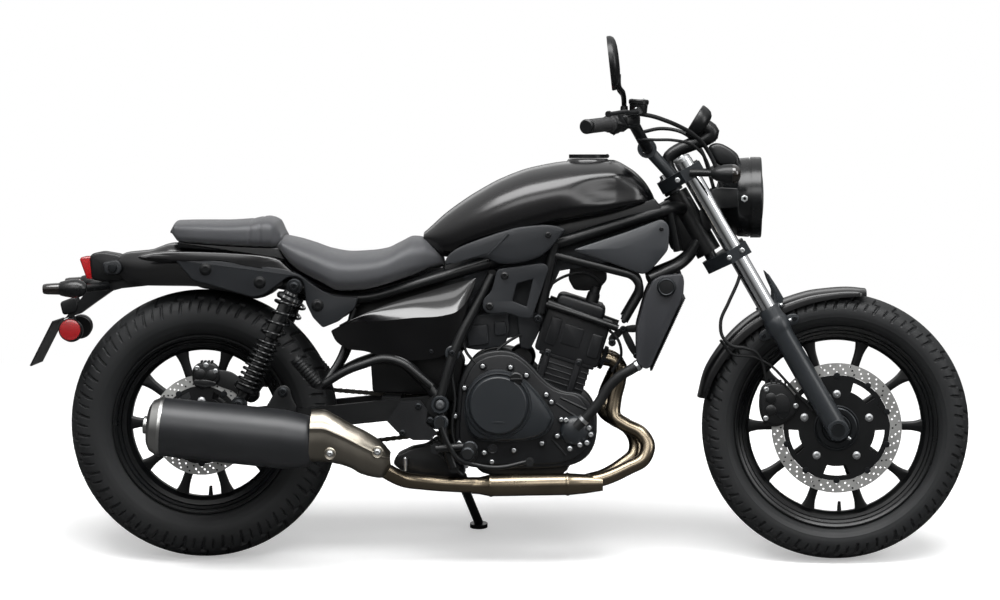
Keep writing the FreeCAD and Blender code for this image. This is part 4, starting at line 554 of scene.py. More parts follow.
class Finishes:
    """Every finish on the machine, built once."""

    # Enamelled steel under clear lacquer: deep black with a hard, mirror-like coat
    tank_enamel = Finish("tank_enamel_lacquered", "#040405", 0.36, coat=0.9, coat_roughness=0.2, variation=0.05,
                         specular=0.1)
    # The side covers' enamel, rubbed flatter before its lacquer, so that its shine has a harder edge
    cover_enamel = Finish("cover_enamel_lacquered", "#030304", 0.3, coat=1.0, coat_roughness=0.12, variation=0.05,
                          specular=0.25)
    # The same enamel over formed steel, less flat, so its shine is broad and soft
    fender_enamel = Finish("fender_enamel_satin", "#060607", 0.3, coat=0.35, coat_roughness=0.2, variation=0.06,
                           specular=0.3)
    # Powder-coated steel tube: satin black that shows soft long highlights
    frame_powder = Finish("frame_powder_coat", "#0b0c0d", 0.36, specular=0.32, grain=Grain.MOULDED,
                          grain_size=0.0015, relief=0.08)
    # Painted cast aluminium: satin charcoal with a fine sand-cast skin
    engine_paint = Finish("engine_cast_painted", "#0d0e10", 0.4, specular=0.34, grain=Grain.CAST, grain_size=0.0014,
                          relief=0.22)
    # The same paint on a smoother casting, a little paler, so the covers stand off the cases: the paler tone is
    # painted light, for the brighter light the covers catch
    cover_paint = Finish("clutch_cover_painted", "#181b1e", 0.36, specular=0.4, grain=Grain.CAST, grain_size=0.001,
                         relief=0.1)
    # Moulded polypropylene: matte dark grey with a fine spark-eroded grain
    moulded = Finish("cover_moulded_plastic", "#16181b", 0.5, specular=0.32, grain=Grain.MOULDED, grain_size=0.0011,
                     relief=0.25)
    # Smooth mould skin on the same plastic: a narrow grey shine on housings
    moulded_smooth = Finish("housing_moulded_smooth", "#0b0c0d", 0.34, specular=0.34, grain=Grain.MOULDED,
                            grain_size=0.001, relief=0.06)
    # The same plastic left greyer, for the duct by the steering head
    moulded_pale = Finish("duct_moulded_plastic", "#26282b", 0.42, specular=0.45, grain=Grain.MOULDED,
                          grain_size=0.0011, relief=0.2)
    # Coated vinyl over foam: soft dark grey, embossed like hide
    seat_vinyl = Finish("seat_vinyl_embossed", "#303134", 0.46, sheen=0.12, grain=Grain.HIDE, grain_size=0.0028,
                        relief=0.22)
    # Extruded hose rubber: dull black with one long soft light
    rubber = Finish("hose_rubber_extruded", "#0c0d0e", 0.55, specular=0.3, grain=Grain.MOULDED, grain_size=0.001,
                    relief=0.12)
    # Ribbed grip rubber: flat charcoal that hardly shines
    grip = Finish("grip_rubber_moulded", "#1a1a1b", 0.68, grain=Grain.MOULDED, grain_size=0.001, relief=0.3)
    # Painted brazed aluminium: even dark grey that the fins break up
    radiator = Finish("radiator_painted_fins", "#252629", 0.46, specular=0.32, grain=Grain.CAST, grain_size=0.0015)
    # Stainless pipe coloured by heat: pale bronze, browner in patches
    header = Finish("header_stainless_heat_tinted", "#776d5d", 0.25, 1.0, grain=Grain.BRUSHED_LONG, relief=0.05,
                    variation=0.22, second="#857a69")
    # Brushed stainless sheet: pale and streaked along the machine
    shield = Finish("shield_stainless_brushed", "#938d83", 0.33, 1.0, grain=Grain.BRUSHED_LONG, grain_size=0.0008,
                    relief=0.12, second="#8f897e")
    # High-heat satin paint over a rolled can
    silencer = Finish("silencer_satin_paint", "#1e1f21", 0.38, 0.2, grain=Grain.MOULDED, grain_size=0.001,
                      relief=0.05)
    # Spun stainless end: fine rings that pull the light into a fan
    brushed_cap = Finish("silencer_cap_brushed", "#adadab", 0.3, 1.0, grain=Grain.BRUSHED_ROUND, relief=0.1)
    # Hard chrome on ground steel tube
    chrome = Finish("fork_tube_hard_chrome", "#e6e8ea", 0.1, 1.0, variation=0.03)
    # Painted fork castings: satin charcoal, finer than the cases
    slider = Finish("fork_slider_cast_painted", "#1c1f22", 0.34, specular=0.4, grain=Grain.CAST, grain_size=0.001,
                    relief=0.08)
    # Zinc-plated screws: small bright grey points
    zinc = Finish("bolt_zinc_plated", "#c2c4c5", 0.32, 1.0, grain=Grain.MOULDED, grain_size=0.0008, relief=0.08)
    # Oiled black oxide: bolts that show only their edges
    dark_bolt = Finish("bolt_black_oxide", "#222426", 0.34, 0.8, grain=Grain.MOULDED, grain_size=0.0008,
                       relief=0.08)
    # Satin ground steel, streaked along its length
    steel = Finish("lever_steel_satin", "#77797b", 0.34, 1.0, grain=Grain.BRUSHED_LONG, grain_size=0.001,
                   relief=0.08)
    # Painted forged levers: thin soft highlights
    lever = Finish("lever_painted", "#0e0f10", 0.35, specular=0.35, grain=Grain.MOULDED, grain_size=0.001,
                   relief=0.06)
    # Thickly painted spring wire: glossy turns
    shock = Finish("spring_painted_steel", "#0b0c0d", 0.22, coat=0.5, specular=0.4, grain=Grain.MOULDED,
                   grain_size=0.001, relief=0.05)
    # Oiled chain steel: brownish grey with patchy shine
    chain = Finish("chain_steel_oiled", "#4a4844", 0.4, 1.0, grain=Grain.MOULDED, grain_size=0.001, relief=0.1,
                   variation=0.2)
    # Satin painted cast wheels: black with broad soft light on the spokes
    wheel = Finish("wheel_cast_satin_black", "#08090a", 0.3, specular=0.34, grain=Grain.CAST, grain_size=0.001,
                   relief=0.05)
    # Vulcanised rubber: near-black and dull, with a faint mould skin
    tyre = Finish("tyre_rubber_vulcanised", "#161718", 0.56, specular=0.3, grain=Grain.MOULDED, relief=0.18,
                  variation=0.1)
    # Ground disc steel: pale, with rings round the axle
    disc = Finish("disc_steel_ground", "#c6c6c4", 0.36, 1.0, grain=Grain.BRUSHED_ROUND, relief=0.08)
    # Anodised cast caliper: black with a cold edge
    caliper = Finish("caliper_anodised_black", "#0c0d0e", 0.34, 0.2, grain=Grain.CAST, grain_size=0.001,
                     relief=0.12)
    # Satin lamp housings: black with a tight highlight
    lamp_shell = Finish("lamp_shell_satin_black", "#0a0b0c", 0.26, specular=0.4, grain=Grain.MOULDED,
                        grain_size=0.001, relief=0.04)
    # Moulded acrylic: deep red with a glassy face
    red_lens = Finish("tail_lens_acrylic", "#8d0c10", 0.2, coat=0.5, variation=0.06)
    reflector = Finish("reflector_acrylic", "#8c1418", 0.22, coat=0.6)
    # Smoked acrylic: nearly black until light catches it
    smoke_lens = Finish("signal_lens_smoked", "#120e0b", 0.12, coat=0.8, variation=0.05)
    # Polycarbonate lens, drawn opaque: cold grey and sharp, the grey a painted reflection that stands for the
    # metallised bowl and the light seen in clear glass
    lamp_glass = Finish("headlamp_lens_polycarbonate", "#6f7477", 0.06, coat=1.0, variation=0.05)
    # Vacuum-metallised bowl: bright and clean
    lamp_bowl = Finish("headlamp_reflector_metallised", "#b8bbbd", 0.12, 1.0, variation=0.04)
    # Silvered glass: shows what is opposite
    mirror_glass = Finish("mirror_glass_silvered", "#d5d9dc", 0.02, 1.0, variation=0.01)
    # Black display glass: mirror-smooth and empty
    dial = Finish("display_glass_black", "#06070a", 0.08, coat=1.0, variation=0.02)
    # Moulded red switch: the one saturated spot on the bars
    red_button = Finish("switch_button_red", "#b01d18", 0.35, variation=0.05)
    # Printed white marks on the dial: matte and plain
    dial_mark = Finish("dial_mark_printed_white", "#c9ccce", 0.5)
    # Painted lower legs, a shade paler than the clamps, as they catch more light
    fork_leg = Finish("fork_leg_cast_painted", "#1e2124", 0.34, specular=0.4, grain=Grain.CAST, grain_size=0.001,
                      relief=0.08)

    def __init__(self) -> None:
        """Builds each finish as a material under its own attribute name."""
        for key, value in vars(type(self)).items():
            if isinstance(value, Finish):
                setattr(self, key, value.build())


NODE_FINISH: dict[str, str] = {
    "main_frame": "frame_powder", "mid_frame": "frame_powder", "seat_rails": "frame_powder",
    "pivot_bolt": "dark_bolt", "crankcase": "engine_paint", "cylinder_block": "engine_paint",
    "engine_covers": "cover_paint", "sprocket_cover": "cover_paint", "fuel_tank": "tank_enamel",
    "rider_seat": "seat_vinyl", "pillion_seat": "seat_vinyl", "rear_fender": "tank_enamel",
    "fender_rails": "moulded", "tail_light": "red_lens", "licence_bracket": "moulded_smooth",
    "rear_signals": "lamp_shell", "side_covers": "tank_enamel", "tank_covers": "moulded",
    "frame_covers": "moulded", "radiator": "radiator", "coolant_hose": "rubber", "exhaust_pipes": "header",
    "silencer": "silencer", "heat_shield": "shield", "footrests": "lever", "heel_plates": "engine_paint",
    "foot_controls": "lever", "pillion_footrests": "frame_powder", "swingarm": "frame_powder",
    "rear_shocks": "shock", "drive_chain": "chain", "rear_axle": "zinc", "rear_caliper": "caliper",
    "triple_clamps": "slider", "fork_tubes": "chrome", "fork_sliders": "slider", "front_axle": "dark_bolt",
    "handlebar": "frame_powder", "hand_controls": "moulded_smooth", "mirrors": "lamp_shell",
    "headlight": "lamp_shell", "instrument": "moulded_smooth", "front_signals": "lamp_shell",
    "front_fender": "fender_enamel", "front_caliper": "caliper", "front_hose": "rubber", "front_rim": "wheel",
    "front_tyre": "tyre", "front_disc": "disc", "rear_rim": "wheel", "rear_tyre": "tyre", "rear_disc": "disc",
    "rear_sprocket": "steel", "air_box": "moulded", "fuel_cap": "moulded_smooth", "side_stand": "frame_powder",
}


def dress_frame(finishes: Finishes) -> None:
    """Gives every node of the frame its finish."""
    for name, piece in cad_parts.items():
        piece.data.materials.clear()
        piece.data.materials.append(getattr(finishes, NODE_FINISH[name]))


# Bodywork

@dataclass
class Tank:
    """The long tank: rings across the machine whose top, foot and half-width follow smooth curves."""

    top: tuple[Pair, ...] = ((0.5320, 0.7846), (0.5511, 0.8014), (0.5798, 0.8277), (0.6177, 0.8562),
                             (0.6580, 0.8824), (0.7200, 0.9158), (0.7938, 0.9419), (0.8853, 0.9564),
                             (0.9817, 0.9588), (1.0250, 0.9395), (1.0563, 0.9130), (1.0804, 0.8769),
                             (1.0901, 0.8504))
    foot: tuple[Pair, ...] = ((0.5320, 0.7607), (0.5860, 0.7259), (0.6702, 0.7456), (0.7704, 0.7745),
                              (0.8702, 0.8031), (0.9699, 0.8244), (1.0508, 0.8453), (1.0894, 0.8516))
    widths: tuple[Pair, ...] = ((0.530, 0.044), (0.552, 0.066), (0.60, 0.093), (0.68, 0.118), (0.78, 0.133),
                                (0.90, 0.139), (0.985, 0.134), (1.03, 0.118), (1.07, 0.086), (1.095, 0.03))
    widest_share: float = 0.42
    recess_centre: Pair = (0.9700, 0.8888)
    recess_size: Pair = (0.075, 0.03)
    recess_depth: float = 0.012
    filler: Triple = (0.9257, 0.0, 0.9445)

    def rows(self) -> np.ndarray:
        """Rings of the tank: a flat-bottomed oval whose sides bulge under half height, dented at the knee."""
        x = crowded(self.top[0][0], self.top[-1][0], 90)
        top = single(self.top, x)
        foot = np.minimum(single(self.foot, x), top - 0.003)
        half = single(self.widths, x)
        angle = angles(72)
        side, rise = np.sin(angle), np.cos(angle)
        span = (top - foot)[:, None]
        middle = foot[:, None] + span * self.widest_share
        upper = middle + span * (1 - self.widest_share) * np.abs(rise) ** 0.9
        lower = middle - span * self.widest_share * np.abs(rise) ** 0.5
        z = np.where(rise >= 0, upper, lower)
        y = half[:, None] * np.sign(side) * np.abs(side) ** np.where(rise >= 0, 0.86, 0.5)
        near = np.exp(-(((x[:, None] - self.recess_centre[0]) / self.recess_size[0]) ** 2
                        + ((z - self.recess_centre[1]) / self.recess_size[1]) ** 2) ** 1.5)
        y = y - np.sign(y) * self.recess_depth * near * np.minimum(1, np.abs(y) / 0.05)
        return grid(x, y, z)

    def build(self, finishes: Finishes) -> None:
        """Makes the skin, which replaces the solid."""
        make("tank_skin", skin(self.rows()), finishes.tank_enamel, Body.ROOT, replaces=("fuel_tank",), crease=50)
        self.build_filler(finishes)

    def build_filler(self, finishes: Finishes) -> None:
        """Makes the raised ring that the filler's lid sits on."""
        collar = turned([(0.0, 0.0), (0.0, 0.052), (0.01, 0.0515), (0.0155, 0.048), (0.017, 0.0455), (0.017, 0.0)],
                        self.filler, UPWARD, 60)
        make("filler_collar", collar, finishes.tank_enamel, Body.ROOT, crease=40)


@dataclass
class SeatPad:
    """A moulded foam pad under vinyl: rings along the machine, crowned, with rolled edges."""

    name: str
    node: str
    top: tuple[Pair, ...]
    foot: tuple[Pair, ...]
    widths: tuple[Pair, ...]
    seams: tuple[float, ...] = ()
    seam_depth: float = 0.0028
    crown: float = 0.1
    squareness: float = 0.55
    fill: float = 0.85

    def rows(self, count: int = 110, around: int = 96) -> np.ndarray:
        """Rings of the pad: super-ovals with a flatter top, pulled in along each sewn seam."""
        x = crowded(self.top[0][0], self.top[-1][0], count)
        top = single(self.top, x)
        foot = np.minimum(single(self.foot, x), top - 0.004)
        half = single(self.widths, x)
        angle = angles(around)
        side, rise = np.sin(angle), np.cos(angle)
        power = self.squareness
        y = half[:, None] * np.sign(side) * np.abs(side) ** power
        span = (top - foot)[:, None]
        arch = 1 - self.crown * (np.abs(y) / half[:, None]) ** 2
        z = foot[:, None] + span * (0.5 + 0.5 * np.sign(rise) * np.abs(rise) ** power) * arch
        z = np.maximum(z, foot[:, None])
        pull = sum(np.exp(-((x - s) / 0.0032) ** 2) for s in self.seams) if self.seams else np.zeros_like(x)
        pull = (self.seam_depth * pull)[:, None]
        centre = foot[:, None] + span * 0.5
        length = np.hypot(y, z - centre) + 1e-6
        y, z = y - y / length * pull, z - (z - centre) / length * pull
        return grid(x, y, z)

    def build(self, finishes: Finishes) -> None:
        """Makes the pad, which replaces the solid."""
        pad = make(self.name, skin(self.rows()), finishes.seat_vinyl, Body.ROOT, replaces=(self.node,), crease=60)


class Seats:
    """The rider's and the pillion's pads."""

    rider = SeatPad(
        "rider_pad", "rider_seat",
        top=((0.1827, 0.7535), (0.1970, 0.7775), (0.2257, 0.7727), (0.2640, 0.7619), (0.3095, 0.7464),
             (0.3573, 0.7392), (0.4052, 0.7416), (0.4434, 0.7476), (0.4769, 0.7631), (0.5080, 0.7763),
             (0.5344, 0.7727), (0.5583, 0.7559), (0.5750, 0.7368), (0.5798, 0.7153)),
        foot=((0.1845, 0.7494), (0.2227, 0.7017), (0.2872, 0.6659), (0.3349, 0.6444), (0.3827, 0.6468),
              (0.4781, 0.6706), (0.5402, 0.6897), (0.5808, 0.7064)),
        widths=((0.176, 0.08), (0.20, 0.115), (0.27, 0.138), (0.36, 0.15), (0.43, 0.148), (0.50, 0.118),
                (0.56, 0.083), (0.58, 0.06)),
        crown=0.16, squareness=0.6)
    pillion = SeatPad(
        "pillion_pad", "pillion_seat",
        top=((-0.0709, 0.7918), (-0.0590, 0.8133), (-0.0015, 0.8145), (0.0535, 0.8145), (0.1181, 0.8181),
             (0.1564, 0.8241), (0.1803, 0.8169), (0.1970, 0.7822)),
        foot=((-0.0685, 0.7828), (-0.0517, 0.7613), (0.0008, 0.7566), (0.1201, 0.7494), (0.1845, 0.7470),
              (0.1989, 0.7685)),
        widths=((-0.082, 0.07), (-0.06, 0.105), (0.0, 0.118), (0.1, 0.125), (0.17, 0.118), (0.192, 0.09)),
        seams=(0.121, 0.146), crown=0.1, squareness=0.5)

    def build(self, finishes: Finishes) -> None:
        """Makes both pads."""
        self.rider.build(finishes)
        self.pillion.build(finishes)


@dataclass
class Fender:
    """A shell over a wheel: an arch profile carried along a path in the side view."""

    name: str
    node: str
    body: Body
    crest: tuple[Pair, ...]
    edge: tuple[Pair, ...]
    widths: tuple[Pair, ...]
    wall: float = 0.0035

    def build(self, finishes: Finishes) -> None:
        """Makes the shell with its wall and rolled edge."""
        share = np.linspace(0, 1, 90)
        crest, edge = evenly(self.crest, share), evenly(self.edge, share)
        half = single(self.widths, share)
        angle = np.linspace(-math.pi / 2, math.pi / 2, 41)
        side, rise = np.sin(angle), np.cos(angle)

        def arch(inset: float) -> np.ndarray:
            """The arch, drawn in by a distance."""
            down = (1 - np.abs(rise) ** 0.42)[None, :, None]
            span = (edge - crest)[:, None]
            place = crest[:, None] + span * down
            inward = (edge - crest) / (np.linalg.norm(edge - crest, axis=1, keepdims=True) + 1e-9)
            place = place + inward[:, None] * inset * np.abs(rise)[None, :, None]
            y = (half - inset)[:, None] * np.sign(side) * np.abs(side) ** 0.8
            return np.stack([place[..., 0], y, place[..., 1]], axis=-1)

        make(self.name, walled(arch, self.wall), finishes.fender_enamel, self.body, replaces=(self.node,),
             crease=40)


@dataclass
class Tyre:
    """A tyre's skin with its tread cut in: a round-shouldered profile turned about the axle."""

    name: str
    node: str
    body: Body
    axle: Triple
    radius: float
    width: float
    bead: float
    pitch: int
    groove_depth: float = 0.005
    wrap: float = 2.35
    samples: int = 30

    def profile(self, s: np.ndarray) -> tuple[np.ndarray, np.ndarray]:
        """Half-width and radius across the tyre: a round crown, then walls drawn in to the beads.

        The crown falls as a power of the cosine, round enough to stand on the floor at the parked lean.

        Args:
            s: place across it, from -1 to 1.
        Returns:
            The side place and the radius.
        """
        bend = s * self.wrap
        past = np.clip(np.abs(bend) - math.pi / 2, 0, 1)
        y = self.width / 2 * np.sin(bend) * (1 - 0.12 * past**2)
        centre = self.bead + (self.radius - self.bead) * 0.42
        fall = np.abs(np.cos(bend))
        r = np.where(past <= 0, centre + (self.radius - centre) * fall**0.79,
                     centre - (centre - self.bead) * fall / abs(math.cos(self.wrap)))
        return y, r

    def build(self, finishes: Finishes) -> None:
        """Makes the skin: the profile turned about the axle, moved in along its normal where it is cut."""
        angle = angles(self.pitch * self.samples)
        s = np.linspace(-1, 1, 78)
        y, r = self.profile(s)
        dy, dr = np.gradient(y), np.gradient(r)
        size = np.hypot(dy, dr)
        out_y, out_r = -dr / size, dy / size
        lines = sum(0.0009 * np.exp(-((np.abs(s) - place) / 0.011) ** 2) for place in (0.76, 0.86, 0.94))
        lift = lines[None, :] - self.tread(angle[:, None], s[None, :]) * self.groove_depth
        depth, side = r[None, :] + out_r[None, :] * lift, y[None, :] + out_y[None, :] * lift
        outer = round_axle(self.axle, angle, depth, side)
        make(self.name, skin(outer, close=True), finishes.tyre, self.body, replaces=(self.node,), crease=28)

    def tread(self, angle: np.ndarray, s: np.ndarray) -> np.ndarray:
        """How deep the rubber is cut: kinked grooves that run out over the shoulders, and a waved centre line.

        Args:
            angle: place round the tyre.
            s: place across it, from -1 to 1.
        Returns:
            Depth from 0 to 1.
        """
        side, off = np.sign(s), np.abs(s)
        phase = angle * self.pitch / FULL_TURN + 0.25 * (side > 0) - off * 0.7 + 0.3 * ramp(off - 0.36)
        near = np.abs((phase % 1.0) - 0.5)
        groove = ramp(0.075 - near) * ramp(off - 0.1) * ramp(0.63 - off)
        between = np.abs(((phase + 0.5) % 1.0) - 0.5)
        nick = ramp(0.055 - between) * ramp(off - 0.4) * ramp(0.6 - off)
        step = ramp(0.02 - np.abs(off - 0.375), 0.012) * ramp(0.22 - near)
        wave = 0.02 * np.sin(angle * self.pitch)
        middle = ramp(0.018 - np.abs(off - 0.08 - wave * side), 0.01)
        return np.maximum.reduce([groove, nick * 0.8, step, middle * 0.9])


class Bodywork:
    """The front fender with what is fixed to it, and the tyres."""

    front_fender = Fender(
        "front_fender_skin", "front_fender", Body.STEERING,
        crest=((1.5911, 0.6504), (1.5454, 0.6540), (1.4731, 0.6480), (1.3888, 0.6239), (1.3045, 0.5782),
               (1.2394, 0.5107), (1.2033, 0.4481), (1.1888, 0.3903)),
        edge=((1.5914, 0.6341), (1.5412, 0.6318), (1.4695, 0.6198), (1.3954, 0.5935), (1.3189, 0.5481),
              (1.2615, 0.4907), (1.2256, 0.4333), (1.2089, 0.3879)),
        widths=((0.0, 0.055), (0.06, 0.068), (0.5, 0.072), (0.95, 0.066), (1.0, 0.06)))

    horn = ((1.3495, 0.6920), (1.3566, 0.6872), (1.3757, 0.6586), (1.3924, 0.6299), (1.3877, 0.6108),
            (1.3686, 0.6037), (1.3566, 0.6180), (1.3686, 0.6251), (1.3686, 0.6442), (1.3566, 0.6705))
    tabs = (((1.3877, 0.5822), (1.4044, 0.5917), (1.4211, 0.5941), (1.4306, 0.5846), (1.4259, 0.5702),
             (1.4068, 0.5631), (1.3924, 0.5607)),
            ((1.3709, 0.5631), (1.3518, 0.5583), (1.3351, 0.5487), (1.3327, 0.5344), (1.3447, 0.5273),
             (1.3638, 0.5344), (1.3805, 0.5440)))
    tab_bolts = ((1.4187, 0.5822), (1.3447, 0.5392))
    tyres = (
        Tyre("front_tyre_skin", "front_tyre", Body.FRONT_WHEEL, FRONT_AXLE, radius=0.320, width=0.130,
             bead=0.2425, pitch=38),
        Tyre("rear_tyre_skin", "rear_tyre", Body.REAR_WHEEL, REAR_AXLE, radius=0.323, width=0.150,
             bead=0.2155, pitch=38))

    def build(self, finishes: Finishes) -> None:
        """Makes the fender and both tyres."""
        self.front_fender.build(finishes)
        parts = [slab(cornered(self.horn, 0.004), -0.078, -0.086, 0.002)]
        parts += [slab(cornered(tab, 0.008), -0.072, -0.0785, 0.002) for tab in self.tabs]
        make("front_fender_brace", merged(parts).both_sides(), finishes.slider, Body.STEERING)
        nuts = merged([bolt((x, -0.078, z), 0.0055, 0.005) for x, z in self.tab_bolts])
        make("front_fender_bolts", nuts.both_sides(), finishes.dark_bolt, Body.STEERING)
        for tyre in self.tyres:
            tyre.build(finishes)


# Covers and rear end

@dataclass(frozen=True)
class Cover:
    """A moulded or painted panel on one side of the machine, with its fasteners."""

    name: str
    finish: str
    outline: tuple[Pair, ...]
    inner: float
    outer: float
    edge: float = 0.003
    crown: float = 0.0
    corner: float = 0.0
    screws: tuple[Pair, ...] = ()
    screw_radius: float = 0.0065
    replaces: tuple[str, ...] = ()
    window: tuple[Pair, ...] = ()

    def build(self, finishes: Finishes) -> None:
        """Makes the panel on both sides and its screws."""
        outline = cornered(self.outline, self.corner) if self.corner else softened(self.outline)
        if self.window:
            panel = pierced([outline, cornered(self.window, 0.004)], (0.0, 0.0, 0.0),
                            -(self.inner + self.outer) / 2,
                            self.outer - self.inner, self.edge * 0.7)
        else:
            panel = slab(outline, -self.inner, -self.outer, self.edge, self.crown)
        make(self.name, panel.both_sides(), getattr(finishes, self.finish), Body.ROOT, replaces=self.replaces,
             crease=38)
        if self.screws:
            heads = merged([bolt((x, -self.outer - self.crown * 0.7 + 0.001, z), self.screw_radius, 0.006)
                            for x, z in self.screws])
            make(self.name + "_screws", heads.both_sides(), finishes.lamp_shell, Body.ROOT)


class Covers:
    """Every panel between the seats and the engine."""

    panels = (
        Cover("tank_side_cover", "moulded",
              ((0.8752, 0.7964), (0.8372, 0.8071), (0.7898, 0.8035), (0.7519, 0.7988), (0.6784, 0.7751),
               (0.6168, 0.7514), (0.5907, 0.7300), (0.5860, 0.7063), (0.6144, 0.7182), (0.6666, 0.7288),
               (0.6927, 0.7253), (0.7116, 0.7134), (0.7519, 0.7123), (0.8135, 0.7277), (0.8420, 0.7537),
               (0.8657, 0.7845)),
              inner=0.125, outer=0.141, edge=0.004, crown=0.003, screws=((0.8325, 0.7822),), screw_radius=0.0075,
              replaces=("tank_covers",)),
        Cover("duct_panel", "moulded_pale",
              ((0.8891, 0.7460), (1.0174, 0.7887), (1.1030, 0.8208), (1.1196, 0.8030), (1.1172, 0.7460),
               (1.0768, 0.6984), (1.0578, 0.6866), (0.9794, 0.7151)),
              inner=0.113, outer=0.124, edge=0.004, crown=0.006, corner=0.012, screws=((1.1006, 0.7959),),
              screw_radius=0.005),
        Cover("hang_panel", "moulded",
              ((0.7137, 0.6989), (0.8205, 0.7131), (0.8323, 0.7037), (0.8134, 0.6467), (0.7920, 0.5850),
               (0.7659, 0.5874), (0.7375, 0.5993), (0.6900, 0.5969), (0.6781, 0.6088), (0.6805, 0.6277),
               (0.6995, 0.6467)),
              inner=0.122, outer=0.133, corner=0.008, screws=((0.7291, 0.6847), (0.6936, 0.6123)),
              screw_radius=0.0095, replaces=("frame_covers",),
              window=((0.7564, 0.6681), (0.7991, 0.6799), (0.7825, 0.6088), (0.7446, 0.6230))),
        Cover("fender_rail_panel", "moulded",
              ((-0.0585, 0.7223), (-0.0372, 0.6985), (-0.0146, 0.6724), (0.0531, 0.6534), (0.1291, 0.6320),
               (0.1529, 0.6368), (0.1766, 0.6534), (0.1980, 0.6700), (0.2122, 0.6795), (0.2289, 0.6819),
               (0.2455, 0.6748), (0.2526, 0.6581), (0.2550, 0.6201), (0.2716, 0.5845), (0.2954, 0.5596),
               (0.3334, 0.5750), (0.3714, 0.6059), (0.3809, 0.6320), (0.3500, 0.6344), (0.3239, 0.6368),
               (0.2954, 0.6486), (0.2669, 0.6676), (0.2407, 0.6866), (0.2051, 0.6997), (0.1315, 0.7104),
               (0.0388, 0.7199), (-0.0229, 0.7235)),
              inner=0.107, outer=0.12, corner=0.006, screws=((0.0163, 0.6985), (0.1457, 0.6676), (0.2835, 0.6130)),
              screw_radius=0.015, replaces=("fender_rails",)),
    )

    cover_top = ((0.3174, 0.5541), (0.3601, 0.5766), (0.4550, 0.6181), (0.5357, 0.6431), (0.6187, 0.6680),
                 (0.6615, 0.6787))
    cover_crease = ((0.3174, 0.5529), (0.3625, 0.5731), (0.4408, 0.5778), (0.5096, 0.5849), (0.5855, 0.5909),
                    (0.6140, 0.5992), (0.6330, 0.6158), (0.6496, 0.6443), (0.6615, 0.6751))
    cover_foot = ((0.3174, 0.5493), (0.3269, 0.5303), (0.3506, 0.5126), (0.3981, 0.5042), (0.4550, 0.4876),
                  (0.5404, 0.4853), (0.5831, 0.4948), (0.6116, 0.5375), (0.6377, 0.5992), (0.6615, 0.6727))
    cover_depths = (0.1175, 0.1395, 0.1305)

    def build(self, finishes: Finishes) -> None:
        """Makes the panels in turn."""
        for panel in self.panels:
            panel.build(finishes)
        self.build_side_cover(finishes)
        self.build_crease(finishes)

    def build_side_cover(self, finishes: Finishes) -> None:
        """Makes the painted cover under the seat: a hollowed facet over a crease, and a flank below it."""
        def height(path: tuple[Pair, ...]) -> np.ndarray:
            """A drawn line's height over each column."""
            p = spline([(x, 0.0, z) for x, z in path], 240)
            return np.interp(columns, np.maximum.accumulate(p[:, 0]), p[:, 2])

        columns = np.linspace(self.cover_top[0][0], self.cover_top[-1][0], 150)
        top, crease, foot = height(self.cover_top), height(self.cover_crease), height(self.cover_foot)
        crease = np.clip(crease, foot, top)
        share = np.concatenate([np.linspace(0, 1, 13), np.linspace(1, 2, 12)[1:]])[None, :]
        over, under = np.minimum(share, 1), np.maximum(share - 1, 0)
        z = top[:, None] + (crease - top)[:, None] * over + (foot - crease)[:, None] * under
        high, ridge, low = self.cover_depths
        depth = high + (ridge - high) * over**1.9 - (ridge - low) * under
        back = np.stack([z[:, -1], z[:, 0]], axis=1)
        z = np.concatenate([z, back], axis=1)
        y = -np.concatenate([np.broadcast_to(depth, (len(columns), depth.shape[1])),
                             np.full(back.shape, high - 0.003)],
                            axis=1)
        panel = skin(grid(columns, y, z))
        make("side_cover_skin", panel.both_sides(), finishes.cover_enamel, Body.ROOT, replaces=("side_covers",),
             crease=30)
        head = bolt(spread((0.5547, 0.5042), -0.1295), 0.006, 0.005)
        make("side_cover_screws", head.both_sides(), finishes.dark_bolt, Body.ROOT)

    def build_crease(self, finishes: Finishes) -> None:
        """Adds the raised edge that runs down the tank's side cover."""
        path = spline([(x, -0.1425, z) for x, z in ((0.7377, 0.7845), (0.7187, 0.7632), (0.6903, 0.7348))], 14)
        ridge = tube(path, np.linspace(0.0035, 0.002, 14), 10)
        make("tank_cover_ridge", ridge.both_sides(), finishes.moulded, Body.ROOT)


